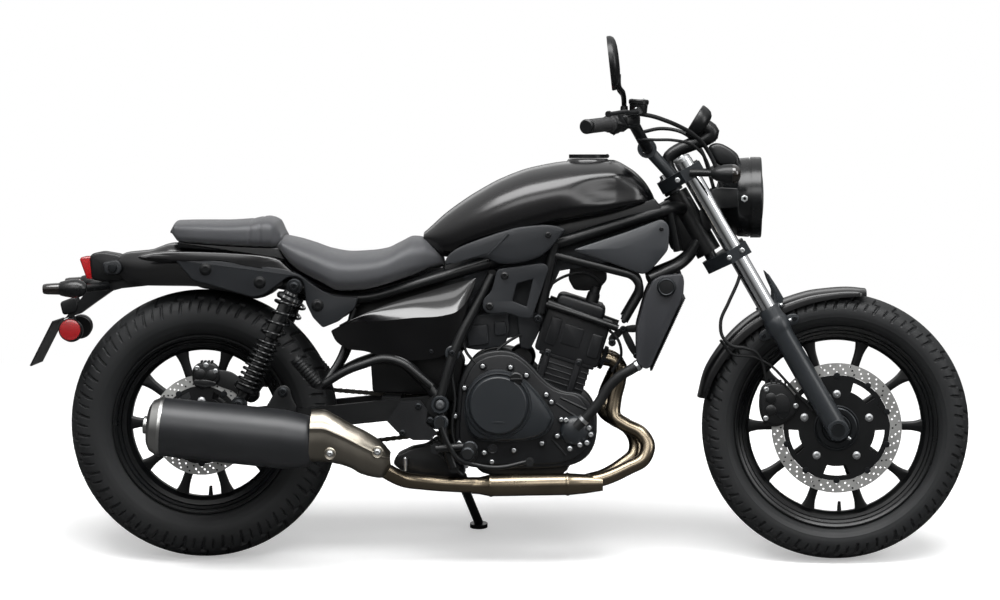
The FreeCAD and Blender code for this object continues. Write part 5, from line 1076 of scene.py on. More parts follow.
class Inners:
    """Dark parts behind the covers: the tank's flange, the seats' bases, and the box and relays under them."""

    liner = ((0.5822, 0.7081), (0.6444, 0.7344), (0.7640, 0.7559), (0.8693, 0.7822), (0.9698, 0.8062),
             (1.0631, 0.8349), (1.0990, 0.8301), (1.1157, 0.7966), (1.1157, 0.7464), (1.0750, 0.7200),
             (0.9698, 0.7200), (0.8597, 0.7057), (0.8262, 0.6818), (0.8023, 0.6243), (0.7305, 0.5956),
             (0.6683, 0.5861), (0.6253, 0.5526), (0.5726, 0.5191), (0.4769, 0.5071), (0.3717, 0.5334),
             (0.3430, 0.5621), (0.3669, 0.6100), (0.4769, 0.6483), (0.5487, 0.6698))
    tank_flange = ((0.6742, 0.7545), (0.7648, 0.7807), (0.8697, 0.8117), (0.9698, 0.8332), (1.0509, 0.8570),
                   (1.0843, 0.8666), (1.1081, 0.8379), (1.0509, 0.8117), (0.9651, 0.7879), (0.8697, 0.7617),
                   (0.7648, 0.7354), (0.6838, 0.7164))
    seat_base = ((0.1898, 0.7400), (0.2232, 0.6995), (0.2876, 0.6637), (0.3353, 0.6446), (0.3830, 0.6470),
                 (0.4784, 0.6708), (0.5405, 0.6899), (0.5810, 0.7066), (0.5858, 0.6899), (0.5452, 0.6708),
                 (0.4784, 0.6494), (0.3878, 0.6255), (0.3305, 0.6231), (0.2780, 0.6422), (0.2208, 0.6732),
                 (0.1898, 0.7019))
    pillion_base = ((-0.0529, 0.7640), (0.0019, 0.7593), (0.1211, 0.7521), (0.1903, 0.7497), (0.2069, 0.7164),
                    (0.1831, 0.7235), (0.1211, 0.7330), (0.0019, 0.7450), (-0.0505, 0.7497))
    boxes = ((((0.6018, 0.5866), (0.7356, 0.5961), (0.7404, 0.5531), (0.7261, 0.5149), (0.6639, 0.5053),
               (0.6066, 0.5149)), 0.07, -0.088),
             (((0.7547, 0.5961), (0.8216, 0.6105), (0.8121, 0.5531), (0.7882, 0.5053), (0.7643, 0.5101)), 0.05,
              -0.075),
             (((0.6357, 0.5632), (0.6882, 0.5680), (0.6906, 0.5203), (0.6404, 0.5131)), -0.05, -0.094),
             (((0.7025, 0.5728), (0.7311, 0.5752), (0.7335, 0.5441), (0.7049, 0.5394)), -0.05, -0.1))
    horn = ((1.1883, 0.8365), (1.2075, 0.8413), (1.2267, 0.8029), (1.2147, 0.7836), (1.1979, 0.7981))
    plates = ((((0.4045, 0.4826), (0.5865, 0.4945), (0.6153, 0.5041), (0.6296, 0.4754), (0.6105, 0.3796),
                (0.5722, 0.3796), (0.5434, 0.3963), (0.4093, 0.4011)), 0.05, -0.05),
              (((0.4674, 0.2511), (0.5033, 0.2679), (0.5344, 0.2727), (0.5655, 0.2942), (0.6013, 0.2559),
                (0.6301, 0.2224), (0.6301, 0.1985), (0.5487, 0.1985), (0.4865, 0.2105), (0.4602, 0.2320)), 0.03,
               -0.085),
              (((1.0922, 0.8509), (1.1282, 0.8701), (1.1715, 0.8701), (1.2123, 0.7860), (1.2051, 0.7428),
                (1.1715, 0.7380), (1.1258, 0.7428), (1.1042, 0.7956)), 0.024, -0.024),
              (((0.8858, 0.7145), (0.9266, 0.7073), (0.9697, 0.6953), (0.9721, 0.6714), (0.9529, 0.6498),
                (0.9194, 0.6450), (0.8930, 0.6474), (0.8786, 0.6738)), 0.045, -0.045),
              (((-0.3474, 0.6153), (-0.3090, 0.6297), (-0.3018, 0.6080), (-0.3090, 0.5888), (-0.3402, 0.5840)),
               0.028, -0.028),
              (((-0.0398, 0.6674), (0.0056, 0.6507), (0.0583, 0.6447), (0.0942, 0.6363), (0.1300, 0.6255),
                (0.1564, 0.6315), (0.1755, 0.6459), (0.1707, 0.6626), (-0.0015, 0.6794)), 0.075, -0.075))

    def build(self, finishes: Finishes) -> None:
        """Makes them all as flat mouldings with rounded rims."""
        parts = [slab(cornered(self.liner, 0.01), 0.05, -0.05, 0.005),
                 slab(cornered(self.tank_flange, 0.006), 0.092, -0.092, 0.003)]
        parts += [slab(cornered(outline, 0.008), left, right, 0.004) for outline, left, right in self.plates]
        make("inner_mouldings", merged(parts), finishes.moulded_smooth, Body.ROOT, crease=38)
        loom = slab(cornered(self.horn, 0.008), 0.026, -0.026, 0.004)
        make("horn_and_loom", loom, finishes.moulded_smooth, Body.STEERING)
        bases = [slab(cornered(self.seat_base, 0.004), 0.085, -0.085, 0.004),
                 slab(cornered(self.pillion_base, 0.004), 0.1, -0.1, 0.004)]
        make("seat_bases", merged(bases), finishes.moulded_smooth, Body.ROOT, crease=38)
        relays = [slab(cornered(outline, 0.006), left, right, 0.003) for outline, left, right in self.boxes]
        make("relay_boxes", merged(relays), finishes.moulded, Body.ROOT, crease=38)


@dataclass
class RearFender:
    """The gloss shell behind the seat: rings across the machine, flat-topped and drawn in to the lamp."""

    top: tuple[Pair, ...] = ((-0.2084, 0.7251), (-0.1843, 0.7359), (-0.1289, 0.7420), (-0.0711, 0.7588),
                             (0.0638, 0.7444), (0.1747, 0.7372), (0.1987, 0.7131))
    foot: tuple[Pair, ...] = ((-0.2001, 0.6818), (-0.1762, 0.6650), (-0.1212, 0.6578), (-0.0398, 0.6578),
                              (0.0353, 0.6544), (0.1211, 0.6448), (0.1831, 0.6544), (0.2165, 0.6734))
    widths: tuple[Pair, ...] = ((-0.208, 0.04), (-0.17, 0.062), (-0.1, 0.084), (0.0, 0.098), (0.10, 0.104),
                                (0.20, 0.104))
    section: tuple[Pair, ...] = ((1.0, 0.0), (1.0, 0.35), (0.985, 0.58), (0.955, 0.68), (0.9, 0.77), (0.82, 0.87),
                                 (0.7, 0.95), (0.5, 0.985), (0.25, 1.0), (0.0, 1.0))
    wall: float = 0.004

    def build(self, finishes: Finishes) -> None:
        """Makes the shell, open below, replacing the solid."""
        x = np.linspace(self.top[0][0], self.top[-1][0], 80)
        top, foot, half = (single(keys, x) for keys in (self.top, self.foot, self.widths))
        right = spline([(share, 0.0, rise) for share, rise in self.section], 30)
        side = np.concatenate([-right[:, 0], right[-2::-1, 0]])
        rise = np.concatenate([right[:, 2], right[-2::-1, 2]])

        def arch(inset: float) -> np.ndarray:
            """The section, drawn in by a distance."""
            y = (half - inset)[:, None] * side
            z = foot[:, None] + (top - foot - inset)[:, None] * rise
            return grid(x, y, z)

        make("rear_fender_skin", walled(arch, self.wall), finishes.tank_enamel, Body.ROOT,
             replaces=("rear_fender",), crease=40)
        self.build_side_blade(finishes)

    def build_side_blade(self, finishes: Finishes) -> None:
        """Adds the gloss panel along the fender's side, over the matte rail."""
        outline = softened(((-0.1565, 0.7269), (-0.1137, 0.7400), (-0.0400, 0.7423), (0.0764, 0.7388),
                            (0.1857, 0.7293), (0.2095, 0.7055), (0.2404, 0.6817), (0.1905, 0.6960),
                            (0.1311, 0.7114), (0.0384, 0.7245), (-0.0590, 0.7198), (-0.1137, 0.7150)), 2)
        make("fender_side_blade", slab(outline, -0.1, -0.118, 0.006, 0.003).both_sides(), finishes.tank_enamel,
             Body.ROOT)


class Tail:
    """Rear lamp, reflectors and rear signals."""

    signal: Pair = (-0.3141, 0.6545)
    reflector: Pair = (-0.3122, 0.5524)

    def build(self, finishes: Finishes) -> None:
        """Makes the lamp, the signals and the reflectors."""
        self.build_lamp(finishes)
        self.build_signals(finishes)
        self.build_reflectors(finishes)

    def build_lamp(self, finishes: Finishes) -> None:
        """Makes the lamp's black body and its red wrap-round lens."""
        body = cornered(((-0.2739, 0.7238), (-0.2667, 0.7334), (-0.2451, 0.7382), (-0.2018, 0.7310),
                         (-0.1682, 0.6998), (-0.1826, 0.6709), (-0.2355, 0.6637), (-0.2691, 0.6709)), 0.008)
        make("tail_lamp_body", slab(body, -0.037, 0.037, 0.006), finishes.moulded_smooth, Body.ROOT,
             replaces=("tail_light",), crease=40)
        lens = cornered(((-0.2979, 0.7190), (-0.2931, 0.7250), (-0.2643, 0.7262), (-0.2643, 0.6709),
                         (-0.2811, 0.6721)), 0.004)
        make("tail_lamp_lens", slab(lens, -0.034, 0.034, 0.004), finishes.red_lens, Body.ROOT,
             crease=40)
        ear = slab(cornered(((-0.2417, 0.7120), (-0.2033, 0.7192), (-0.1913, 0.7000), (-0.2009, 0.6832),
                             (-0.2345, 0.6832)), 0.008), -0.036,
                   -0.05, 0.004)
        make("tail_lamp_ear", ear.both_sides(), finishes.moulded, Body.ROOT)
        knob = turned([(0, 0.009), (0.004, 0.011), (0.008, 0.009), (0.009, 0.0)], spread((-0.2153, 0.6988), -0.05),
                      TO_RIGHT, 20)
        make("tail_lamp_knob", knob.both_sides(), finishes.dark_bolt, Body.ROOT)

    def build_signals(self, finishes: Finishes) -> None:
        """Makes each bullet, its smoked lens and its stalk."""
        shells, lenses = [], []
        for side in SIDES:
            x, z = self.signal
            profile = [(-0.055, 0.0), (-0.054, 0.009), (-0.047, 0.017), (-0.034, 0.0222), (-0.02, 0.0222),
                       (-0.004, 0.0195), (0.008, 0.0165), (0.01, 0.0145)]
            lens = [(0.008, 0.0148), (0.012, 0.0142), (0.04, 0.013), (0.048, 0.0115), (0.05, 0.009),
                    (0.0505, 0.0)]
            shells.append(turned(profile, (x, side * 0.175, z), (-1, 0, -0.02), 36))
            lenses.append(turned(lens, (x, side * 0.175, z), (-1, 0, -0.02), 36))
            root = np.array(spread((-0.2312, 0.6554), side * 0.045))
            tip = np.array([x + 0.012, side * 0.16, z - 0.004])
            shells.append(tube(np.linspace(root, tip, 8), np.linspace(0.011, 0.0085, 8), 14))
        make("rear_signal_shells", merged(shells), finishes.lamp_shell, Body.ROOT, replaces=("rear_signals",))
        make("rear_signal_lenses", merged(lenses), finishes.smoke_lens, Body.ROOT)

    def build_reflectors(self, finishes: Finishes) -> None:
        """Makes the round red reflectors and their holders."""
        place = spread(self.reflector, -0.094)
        ring = turned([(-0.012, 0.0), (-0.012, 0.026), (0.0, 0.028), (0.003, 0.027), (0.003, 0.0)], place,
                      TO_RIGHT, 36)
        glass = turned([(0.002, 0.0255), (0.006, 0.0245), (0.0075, 0.02), (0.008, 0.0)], place, TO_RIGHT, 36)
        make("reflector_holder", ring.both_sides(), finishes.moulded_smooth, Body.ROOT)
        make("reflector_glass", glass.both_sides(), finishes.reflector, Body.ROOT)


# Running gear

@dataclass
class Shock:
    """One rear shock: a damper in a coil whose upper turns stand wider apart than the lower."""

    top: Pair = (0.2313, 0.6594)
    bottom: Pair = (0.0988, 0.3800)
    y: float = 0.150
    coil_radius: float = 0.0265
    wire: float = 0.0037
    turns_wide: float = 4.2
    turns_tight: float = 9.5
    span: Pair = (0.14, 0.88)
    tight_share: float = 0.52

    def line(self, side: float) -> tuple[np.ndarray, np.ndarray, float]:
        """The lower eye, the direction up to the upper one, and the length between them."""
        low = np.array(spread(self.bottom, side * self.y))
        high = np.array(spread(self.top, side * self.y))
        length = float(np.linalg.norm(high - low))
        return low, (high - low) / length, length

    def coil(self, side: float) -> Shape:
        """A helix whose turns close up below, as a circle carried along it."""
        low, up, length = self.line(side)
        t = np.linspace(0, 1, 720)
        share = self.tight_share
        turn = np.where(t < 0.5, t * 2 * self.turns_tight, self.turns_tight + (t - 0.5) * 2 * self.turns_wide)
        height = np.where(t < 0.5, t * 2 * share, share + (t - 0.5) * 2 * (1 - share))
        along = (self.span[0] + (self.span[1] - self.span[0]) * height) * length
        across = np.array([0.0, 1.0, 0.0])
        other = np.cross(up, across)
        angle = turn * FULL_TURN
        spin = np.cos(angle)[:, None] * across + np.sin(angle)[:, None] * other
        path = low + up * along[:, None] + spin * self.coil_radius
        tangent = np.gradient(path, axis=0)
        tangent /= np.linalg.norm(tangent, axis=1, keepdims=True)
        side_way = np.cross(tangent, spin)
        ring = circle(self.wire, 10)
        rows = path[:, None] + spin[:, None] * ring[None, :, :1] + side_way[:, None] * ring[None, :, 1:]
        return skin(rows)

    def damper(self, side: float) -> Shape:
        """The damper's body, rod, seats, rubber stop and preload ring, turned about its line."""
        low, up, length = self.line(side)
        s = [(0.0, 0.0), (0.02, 0.012), (0.06, 0.015), (0.1, 0.0165), (0.105, 0.026), (0.118, 0.031),
             (0.14, 0.0315), (0.146, 0.027), (0.15, 0.0185), (0.5, 0.0185), (0.51, 0.012), (0.56, 0.012),
             (0.57, 0.017), (0.72, 0.019), (0.76, 0.0165), (0.87, 0.0165), (0.875, 0.028), (0.895, 0.031),
             (0.915, 0.029), (0.93, 0.019), (0.98, 0.014), (1.0, 0.0)]
        return turned([(share * length, radius) for share, radius in s], low, up, 36)

    def eyes(self, side: float) -> Shape:
        """Both mounting eyes with their rubber bushes and the upper nut."""
        pieces = []
        for place in (self.top, self.bottom):
            pieces.append(turned([(-0.0175, 0.0), (-0.0175, 0.016), (-0.015, 0.0185), (0.015, 0.0185),
                                  (0.0175, 0.016), (0.0175, 0.0)], spread(place, side * self.y), (0, side, 0), 32))
            pieces.append(bolt(spread(place, side * (self.y + 0.017)), 0.0125, 0.011, (0, side, 0)))
        return merged(pieces)

    def build(self, finishes: Finishes) -> None:
        """Makes both shocks, which replace the solids."""
        make("shock_dampers", merged([self.damper(s) for s in SIDES]), finishes.shock, Body.ROOT,
             replaces=("rear_shocks",), crease=40)
        make("shock_coils", merged([self.coil(s) for s in SIDES]), finishes.shock, Body.ROOT)
        make("shock_eyes", merged([self.eyes(s) for s in SIDES]), finishes.dark_bolt, Body.ROOT)


@dataclass
class Silencer:
    """The rolled can with a brushed domed end, its clamp bands, and the perforated guard's bolts."""

    front: Pair = (0.2694, 0.2951)
    back: Pair = (-0.0903, 0.3315)
    y: float = 0.208
    radius: float = 0.070
    outlet: float = 0.021

    def build(self, finishes: Finishes) -> None:
        """Makes the can, its end cap and outlet, and the guard."""
        front, back = np.array(spread(self.front, -self.y)), np.array(spread(self.back, -self.y))
        length = float(np.linalg.norm(back - front))
        way = (back - front) / length
        r = self.radius
        can = turned([(-0.022, 0.0), (-0.022, 0.03), (-0.008, r * 0.78), (0.0, r * 0.86), (0.012, r * 0.9),
                      (0.055, r * 0.985), (0.06, r * 0.985), (0.064, r), (0.2, r), (length - 0.012, r * 0.985),
                      (length - 0.008, r * 0.985), (length - 0.008, 0.0)], front, way, 96)
        make("silencer_can", can, finishes.silencer, Body.ROOT, replaces=("silencer",), crease=30)
        cap = turned([(length - 0.014, r * 0.6), (length - 0.014, r * 0.995), (length - 0.011, r * 1.012),
                      (length - 0.007, r * 1.012), (length - 0.002, r * 0.97), (length + 0.012, r * 0.86),
                      (length + 0.02, r * 0.66), (length + 0.022, r * 0.52), (length + 0.018, r * 0.47),
                      (length + 0.006, r * 0.42), (length + 0.006, 0.0)], front, way, 96)
        make("silencer_end_cap", cap, finishes.brushed_cap, Body.ROOT, crease=30)
        pipe = turned([(length - 0.01, 0.0), (length - 0.01, self.outlet), (length + 0.03, self.outlet),
                       (length + 0.032, self.outlet - 0.002), (length + 0.03, self.outlet - 0.003),
                       (length, self.outlet - 0.003), (length, 0.0)], front, way, 40)
        make("silencer_outlet", pipe, finishes.brushed_cap, Body.ROOT, crease=30)
        self.build_hanger(finishes)
        self.build_guard(finishes)

    def build_hanger(self, finishes: Finishes) -> None:
        """Makes the bracket over the can with its rubber bush and bolt."""
        outline = softened(((0.1623, 0.3721), (0.1764, 0.3933), (0.1906, 0.4240), (0.2190, 0.4264),
                            (0.2260, 0.3933), (0.2402, 0.3697), (0.2237, 0.3461), (0.1764, 0.3461)), 2)
        make("silencer_hanger", slab(outline, -0.160, -0.168, 0.002), finishes.frame_powder, Body.ROOT)
        make("silencer_hanger_bolt", bolt(spread((0.2046, 0.4097), -0.167), 0.0125, 0.011), finishes.dark_bolt,
             Body.ROOT)

    def build_guard(self, finishes: Finishes) -> None:
        """Makes the stainless guard: a plate bent round the pipe, its outline cut from a bowed grid."""
        top = ((0.2787, 0.3733), (0.3047, 0.3737), (0.3397, 0.3573), (0.3721, 0.3383), (0.4068, 0.3203),
               (0.4431, 0.2932), (0.4609, 0.2684))
        foot = ((0.2717, 0.2507), (0.3047, 0.2499), (0.3374, 0.2452), (0.3675, 0.2355), (0.3951, 0.2197),
                (0.4385, 0.2088), (0.4633, 0.2332))
        share = np.linspace(0, 1, 60)
        high, low = evenly(top, share), evenly(foot, share)
        bow = single([(0.0, 0.268), (0.25, 0.268), (0.6, 0.258), (0.85, 0.232), (1.0, 0.212)], share)
        across = np.linspace(-1, 1, 33)
        mid, half = (high + low) / 2, (high - low) / 2

        def face(inset: float) -> np.ndarray:
            """The plate's bowed face, drawn in by a distance."""
            drop = 0.052 * (1 - np.sqrt(np.clip(1 - (np.abs(across) * 0.97) ** 2.6, 0, 1)))
            ridge = 0.004 * np.exp(-((across - 0.34) / 0.09) ** 2)
            y = -(bow[:, None] - drop[None, :] + ridge[None, :] - inset)
            shape = mid[:, None] + half[:, None] * (across[None, :, None] * (1 - inset * 2))
            return np.stack([shape[..., 0], y, shape[..., 1]], axis=-1)

        make("heat_guard", walled(face, 0.003), finishes.shield, Body.ROOT, replaces=("heat_shield",), crease=35)
        cups, heads = [], []
        for place, y in (((0.3236, 0.2722), 0.2665), ((0.4338, 0.2744), 0.245)):
            cups.append(turned([(-0.004, 0.0), (-0.004, 0.0135), (0.001, 0.0145), (0.0025, 0.013), (0.0005, 0.010),
                                (-0.001, 0.0)], spread(place, -y), TO_RIGHT, 28))
            heads.append(bolt(spread(place, -y - 0.0005), 0.0075, 0.006))
        make("heat_guard_cups", merged(cups), finishes.shield, Body.ROOT)
        make("heat_guard_bolts", merged(heads), finishes.zinc, Body.ROOT)


class Pipes:
    """The headers, collector and link pipe, with their clamps and flanges."""

    header = ((0.9578, 0.4850), (0.9817, 0.4805), (1.0023, 0.4641), (1.0009, 0.4331), (0.9901, 0.3856),
              (0.9903, 0.3440), (1.0176, 0.3242), (1.0533, 0.3058), (1.0700, 0.2777), (1.0604, 0.2472),
              (1.0222, 0.2254), (0.9699, 0.2021), (0.9152, 0.1892))
    first_y = (0.047, 0.047, 0.047, 0.047, 0.049, 0.056, 0.064, 0.074, 0.082, 0.090, 0.1, 0.108, 0.112)
    second_y = (-0.047, -0.047, -0.047, -0.047, -0.045, -0.03, -0.012, 0.008, 0.026, 0.042, 0.056, 0.066, 0.07)
    port = 0.047
    second_back = (0.0, 0.0, 0.004, 0.014, 0.022, 0.026, 0.03, 0.032, 0.03, 0.022, 0.012, 0.004, 0.0)

    def build(self, finishes: Finishes) -> None:
        """Makes the pipes, which replace the solid."""
        pieces = []
        for ys, back in ((self.first_y, (0.0,) * len(self.first_y)), (self.second_y, self.second_back)):
            route = [spread((x - shift, z + shift * 0.35), -y) for (x, z), y, shift in zip(self.header, ys, back)]
            pieces.append(tube(spline(route, 90), 0.0172, 28))
        front, rear = spread((0.9176, 0.1881), -0.112), spread((0.6798, 0.1833), -0.112)
        run = float(np.linalg.norm(np.subtract(rear, front)))
        way = np.subtract(rear, front) / run
        pieces.append(turned([(-0.045, 0.0), (-0.045, 0.0175), (-0.03, 0.0195), (0.0, 0.0235), (0.035, 0.0262),
                              (0.037, 0.0278), (0.041, 0.0278), (0.043, 0.0262), (run - 0.02, 0.0262),
                              (run - 0.018, 0.0275), (run - 0.014, 0.0275), (run - 0.012, 0.0258),
                              (run + 0.012, 0.0205), (run + 0.03, 0.0192), (run + 0.03, 0.0)], front, way, 40))
        link = [spread(p, -y) for p, y in (((0.6798, 0.1845), 0.112), ((0.6110, 0.1861), 0.114),
                                           ((0.5403, 0.1920), 0.124), ((0.4894, 0.2013), 0.148),
                                           ((0.4487, 0.2242), 0.176), ((0.3908, 0.2586), 0.193),
                                           ((0.3208, 0.2852), 0.202),
                                           ((0.2647, 0.2951), 0.208))]
        pieces.append(tube(spline(link, 60), 0.0188, 28))
        make("exhaust_skin", merged(pieces), finishes.header, Body.ROOT, replaces=("exhaust_pipes",), crease=35)
        self.build_clamps(finishes)

    def build_clamps(self, finishes: Finishes) -> None:
        """Makes the flange collars at the head and the band clamp before the can."""
        collars, way = [], (0.92, 0, -0.39)
        for y in (-self.port, self.port):
            collars.append(turned([(0.0, 0.0), (0.0, 0.026), (0.009, 0.026), (0.011, 0.022), (0.011, 0.0)],
                                  spread((0.9578, 0.4850), y), way, 6))
            for side in SIDES:
                collars.append(bolt(spread((0.9650, 0.4826), y + side * 0.028), 0.006, 0.016, way, hexed=True))
        make("header_flanges", merged(collars), finishes.dark_bolt, Body.ROOT)
        band = turned([(0.0, 0.0), (0.0, 0.0215), (0.014, 0.0215), (0.014, 0.0)], spread((0.4325, 0.2341), -0.181),
                      (-0.86, -0.22, 0.46), 40)
        make("silencer_clamp", band, finishes.zinc, Body.ROOT)


@dataclass
class Chain:
    """The drive chain: link plates and rollers set along the closed run round both sprockets."""

    y: float = 0.088
    front: Pair = (0.62, 0.335)
    front_radius: float = 0.036
    rear_radius: float = 0.098
    pitch: float = 0.015875
    plate: float = 0.0016

    def run(self) -> tuple[np.ndarray, np.ndarray]:
        """Where every link starts and ends, equally spaced along the belt line."""
        front, rear = np.array(self.front), np.array([REAR_AXLE[0], REAR_AXLE[2]])
        gap = front - rear
        base = math.atan2(gap[1], gap[0])
        open_by = math.acos((self.rear_radius - self.front_radius) / float(np.linalg.norm(gap)))

        def arc(middle: np.ndarray, radius: float, start: float, end: float, count: int) -> np.ndarray:
            """Points of an arc round a sprocket."""
            angle = np.linspace(start, end, count)
            return middle + radius * np.stack([np.cos(angle), np.sin(angle)], axis=1)

        path = np.vstack([arc(rear, self.rear_radius, base + open_by, base + FULL_TURN - open_by, 200),
                          arc(front, self.front_radius, base - open_by, base + open_by, 80)])
        path = np.vstack([path, path[:1]])
        run = np.concatenate([[0], np.cumsum(np.linalg.norm(np.diff(path, axis=0), axis=1))])
        count = int(round(run[-1] / self.pitch / 2)) * 2
        at = np.linspace(0, run[-1], count, endpoint=False)
        place = np.stack([np.interp(at, run, path[:, k]) for k in (0, 1)], axis=1)
        return place, np.roll(place, -1, axis=0)

    def build(self, finishes: Finishes) -> None:
        """Makes every plate and roller as one joined mesh."""
        start, end = self.run()
        angle = circle(1.0, 12)
        waist = np.where(np.abs(angle[:, 0]) < 0.3, 0.0042, 0.0062)
        mid, half = (start + end) / 2, np.linalg.norm(end - start, axis=1) / 2
        along = (end - start) / (half[:, None] * 2)
        up = np.stack([-along[:, 1], along[:, 0]], axis=1)
        u = np.sign(angle[:, 0]) * (np.abs(angle[:, 0]) > 0.01)
        ring = (mid[:, None] + along[:, None] * (half[:, None] * u + 0.006 * angle[:, 0])[..., None]
                + up[:, None] * (waist * angle[:, 1])[None, :, None])
        offset = np.where(np.arange(len(mid)) % 2 == 0, 0.0072, 0.0052)
        shapes, flat = [], ring[..., :1].shape
        for side in SIDES:
            faces = (self.y + side * offset + side * depth for depth in (0.0, self.plate))
            rows = [np.concatenate([ring[..., :1], np.broadcast_to(y[:, None, None], flat), ring[..., 1:]], axis=-1)
                    for y in faces]
            shapes += [skin(np.stack(pair)) for pair in zip(*rows)]
        roller = circle(0.005, 10)
        shapes += [skin(np.stack([upright(place + roller, self.y - 0.0052),
                                  upright(place + roller, self.y + 0.0052)]))
                   for place in start]
        make("chain_links", merged(shapes), finishes.chain, Body.ROOT, replaces=("drive_chain",))


def pierced(rings: list[np.ndarray], centre: Triple, y: float, depth: float, rim: float = 0.0) -> Shape:
    """A flat plate with holes: closed outlines about a centre, filled by the even-odd rule and given depth.

    Args:
        rings: the outer outline and the holes, each as points about the centre.
        centre: where the plate's middle goes in side view.
        y: the plate's middle across the machine.
        depth: its thickness.
        rim: radius of its rounded edges, by which outlines grow and holes shrink.
    Returns:
        The plate.
    """
    curve = bpy.data.curves.new("plate_outline", "CURVE")
    curve.dimensions, curve.fill_mode, curve.extrude = "2D", "BOTH", depth / 2 - rim
    curve.bevel_depth, curve.bevel_resolution = rim, 2
    for ring in rings:
        line = curve.splines.new("POLY")
        line.points.add(len(ring) - 1)
        flat = np.column_stack([ring, np.zeros(len(ring)), np.ones(len(ring))])
        line.points.foreach_set("co", flat.reshape(-1))
        line.use_cyclic_u = True
    holder = placed("plate_outline", curve)
    mesh = bpy.data.meshes.new_from_object(holder.evaluated_get(bpy.context.evaluated_depsgraph_get()))
    bpy.data.objects.remove(holder)
    points = np.zeros(len(mesh.vertices) * 3)
    mesh.vertices.foreach_get("co", points)
    points = points.reshape(-1, 3)
    place = np.stack([points[:, 0] + centre[0], points[:, 2] + y, points[:, 1] + centre[2]], axis=1)
    return Shape(place, [tuple(p.vertices) for p in mesh.polygons])


@dataclass
class Wheel:
    """A cast wheel: a rim turned about the axle, a web with ten round-cornered windows, and the hub."""

    name: str
    node: str
    body: Body
    axle: Triple
    bead: float
    window: float
    half: float
    hub: tuple[Pair, ...] = ((-0.0655, 0.0), (-0.0655, 0.03), (-0.06, 0.037), (-0.035, 0.045), (-0.02, 0.05),
                             (0.02, 0.05), (0.04, 0.043), (0.058, 0.036), (0.058, 0.0))
    spokes: int = 10
    spoke_half: float = 0.0098
    web: float = 0.024
    edge: float = 0.0045

    def opening(self, middle: float) -> np.ndarray:
        """One window: its sides run beside the spokes' middle lines and flare where they meet the rim."""
        low, high = 0.066, self.window + self.edge
        radius = np.array([low, low + 0.012, low + 0.03, high - 0.045, high - 0.026, high - 0.012, high])
        wide = self.spoke_half - self.edge + np.array([0.004, 0.002, 0.0, 0.0, 0.001, 0.004, 0.008])
        turn = math.pi / self.spokes - np.arcsin(wide / radius)
        arc = np.linspace(turn[-1], -turn[-1], 9)[1:-1]
        foot = np.linspace(-turn[0], turn[0], 4)[1:-1]
        around = middle + np.concatenate([turn, arc, -turn[::-1], foot])
        far = np.concatenate([radius, np.full(len(arc), high), radius[::-1], np.full(len(foot), low)])
        return softened(np.stack([far * np.cos(around), far * np.sin(around)], axis=1), 2)

    def build(self, finishes: Finishes) -> None:
        """Makes rim, web and hub, which replace the solid."""
        h, b, w = self.half, self.bead, self.window
        side = [(0.24 * h, w - 0.001), (0.3 * h, w + 0.003), (0.55 * h, w + 0.008), (0.62 * h, b - 0.02),
                (h - 0.012, b - 0.0175), (h - 0.009, b - 0.012), (h - 0.002, b - 0.0095), (h, b - 0.006),
                (h + 0.0015, b - 0.004), (h + 0.0015, b - 0.001), (h - 0.001, b), (0.5 * h, b - 0.01)]
        ring = np.array(side + [(-y, r) for y, r in side[::-1]])
        angle = angles(180)
        rows = round_axle(self.axle, angle, ring[None, :, 1], ring[None, :, 0])
        windows = [self.opening(math.pi / 2 + i * FULL_TURN / self.spokes) for i in range(self.spokes)]
        web = pierced([circle(self.window + self.edge + 0.002, 180)] + windows, self.axle, 0.0, self.web, self.edge)
        hub = turned(self.hub, self.axle, TO_LEFT, 64)
        make(self.name, merged([skin(rows, close=True), web, hub]), finishes.wheel, self.body,
             replaces=(self.node,), crease=35)
        valve = turned([(0.0, 0.0), (0.0, 0.0055), (0.01, 0.005), (0.026, 0.0035), (0.026, 0.0)],
                       (self.axle[0] + 0.012, 0.012, self.axle[2] - self.window - 0.002), (0.0, 0.1, 1.0), 14)
        make(self.name + "_valve", valve, finishes.rubber, self.body)


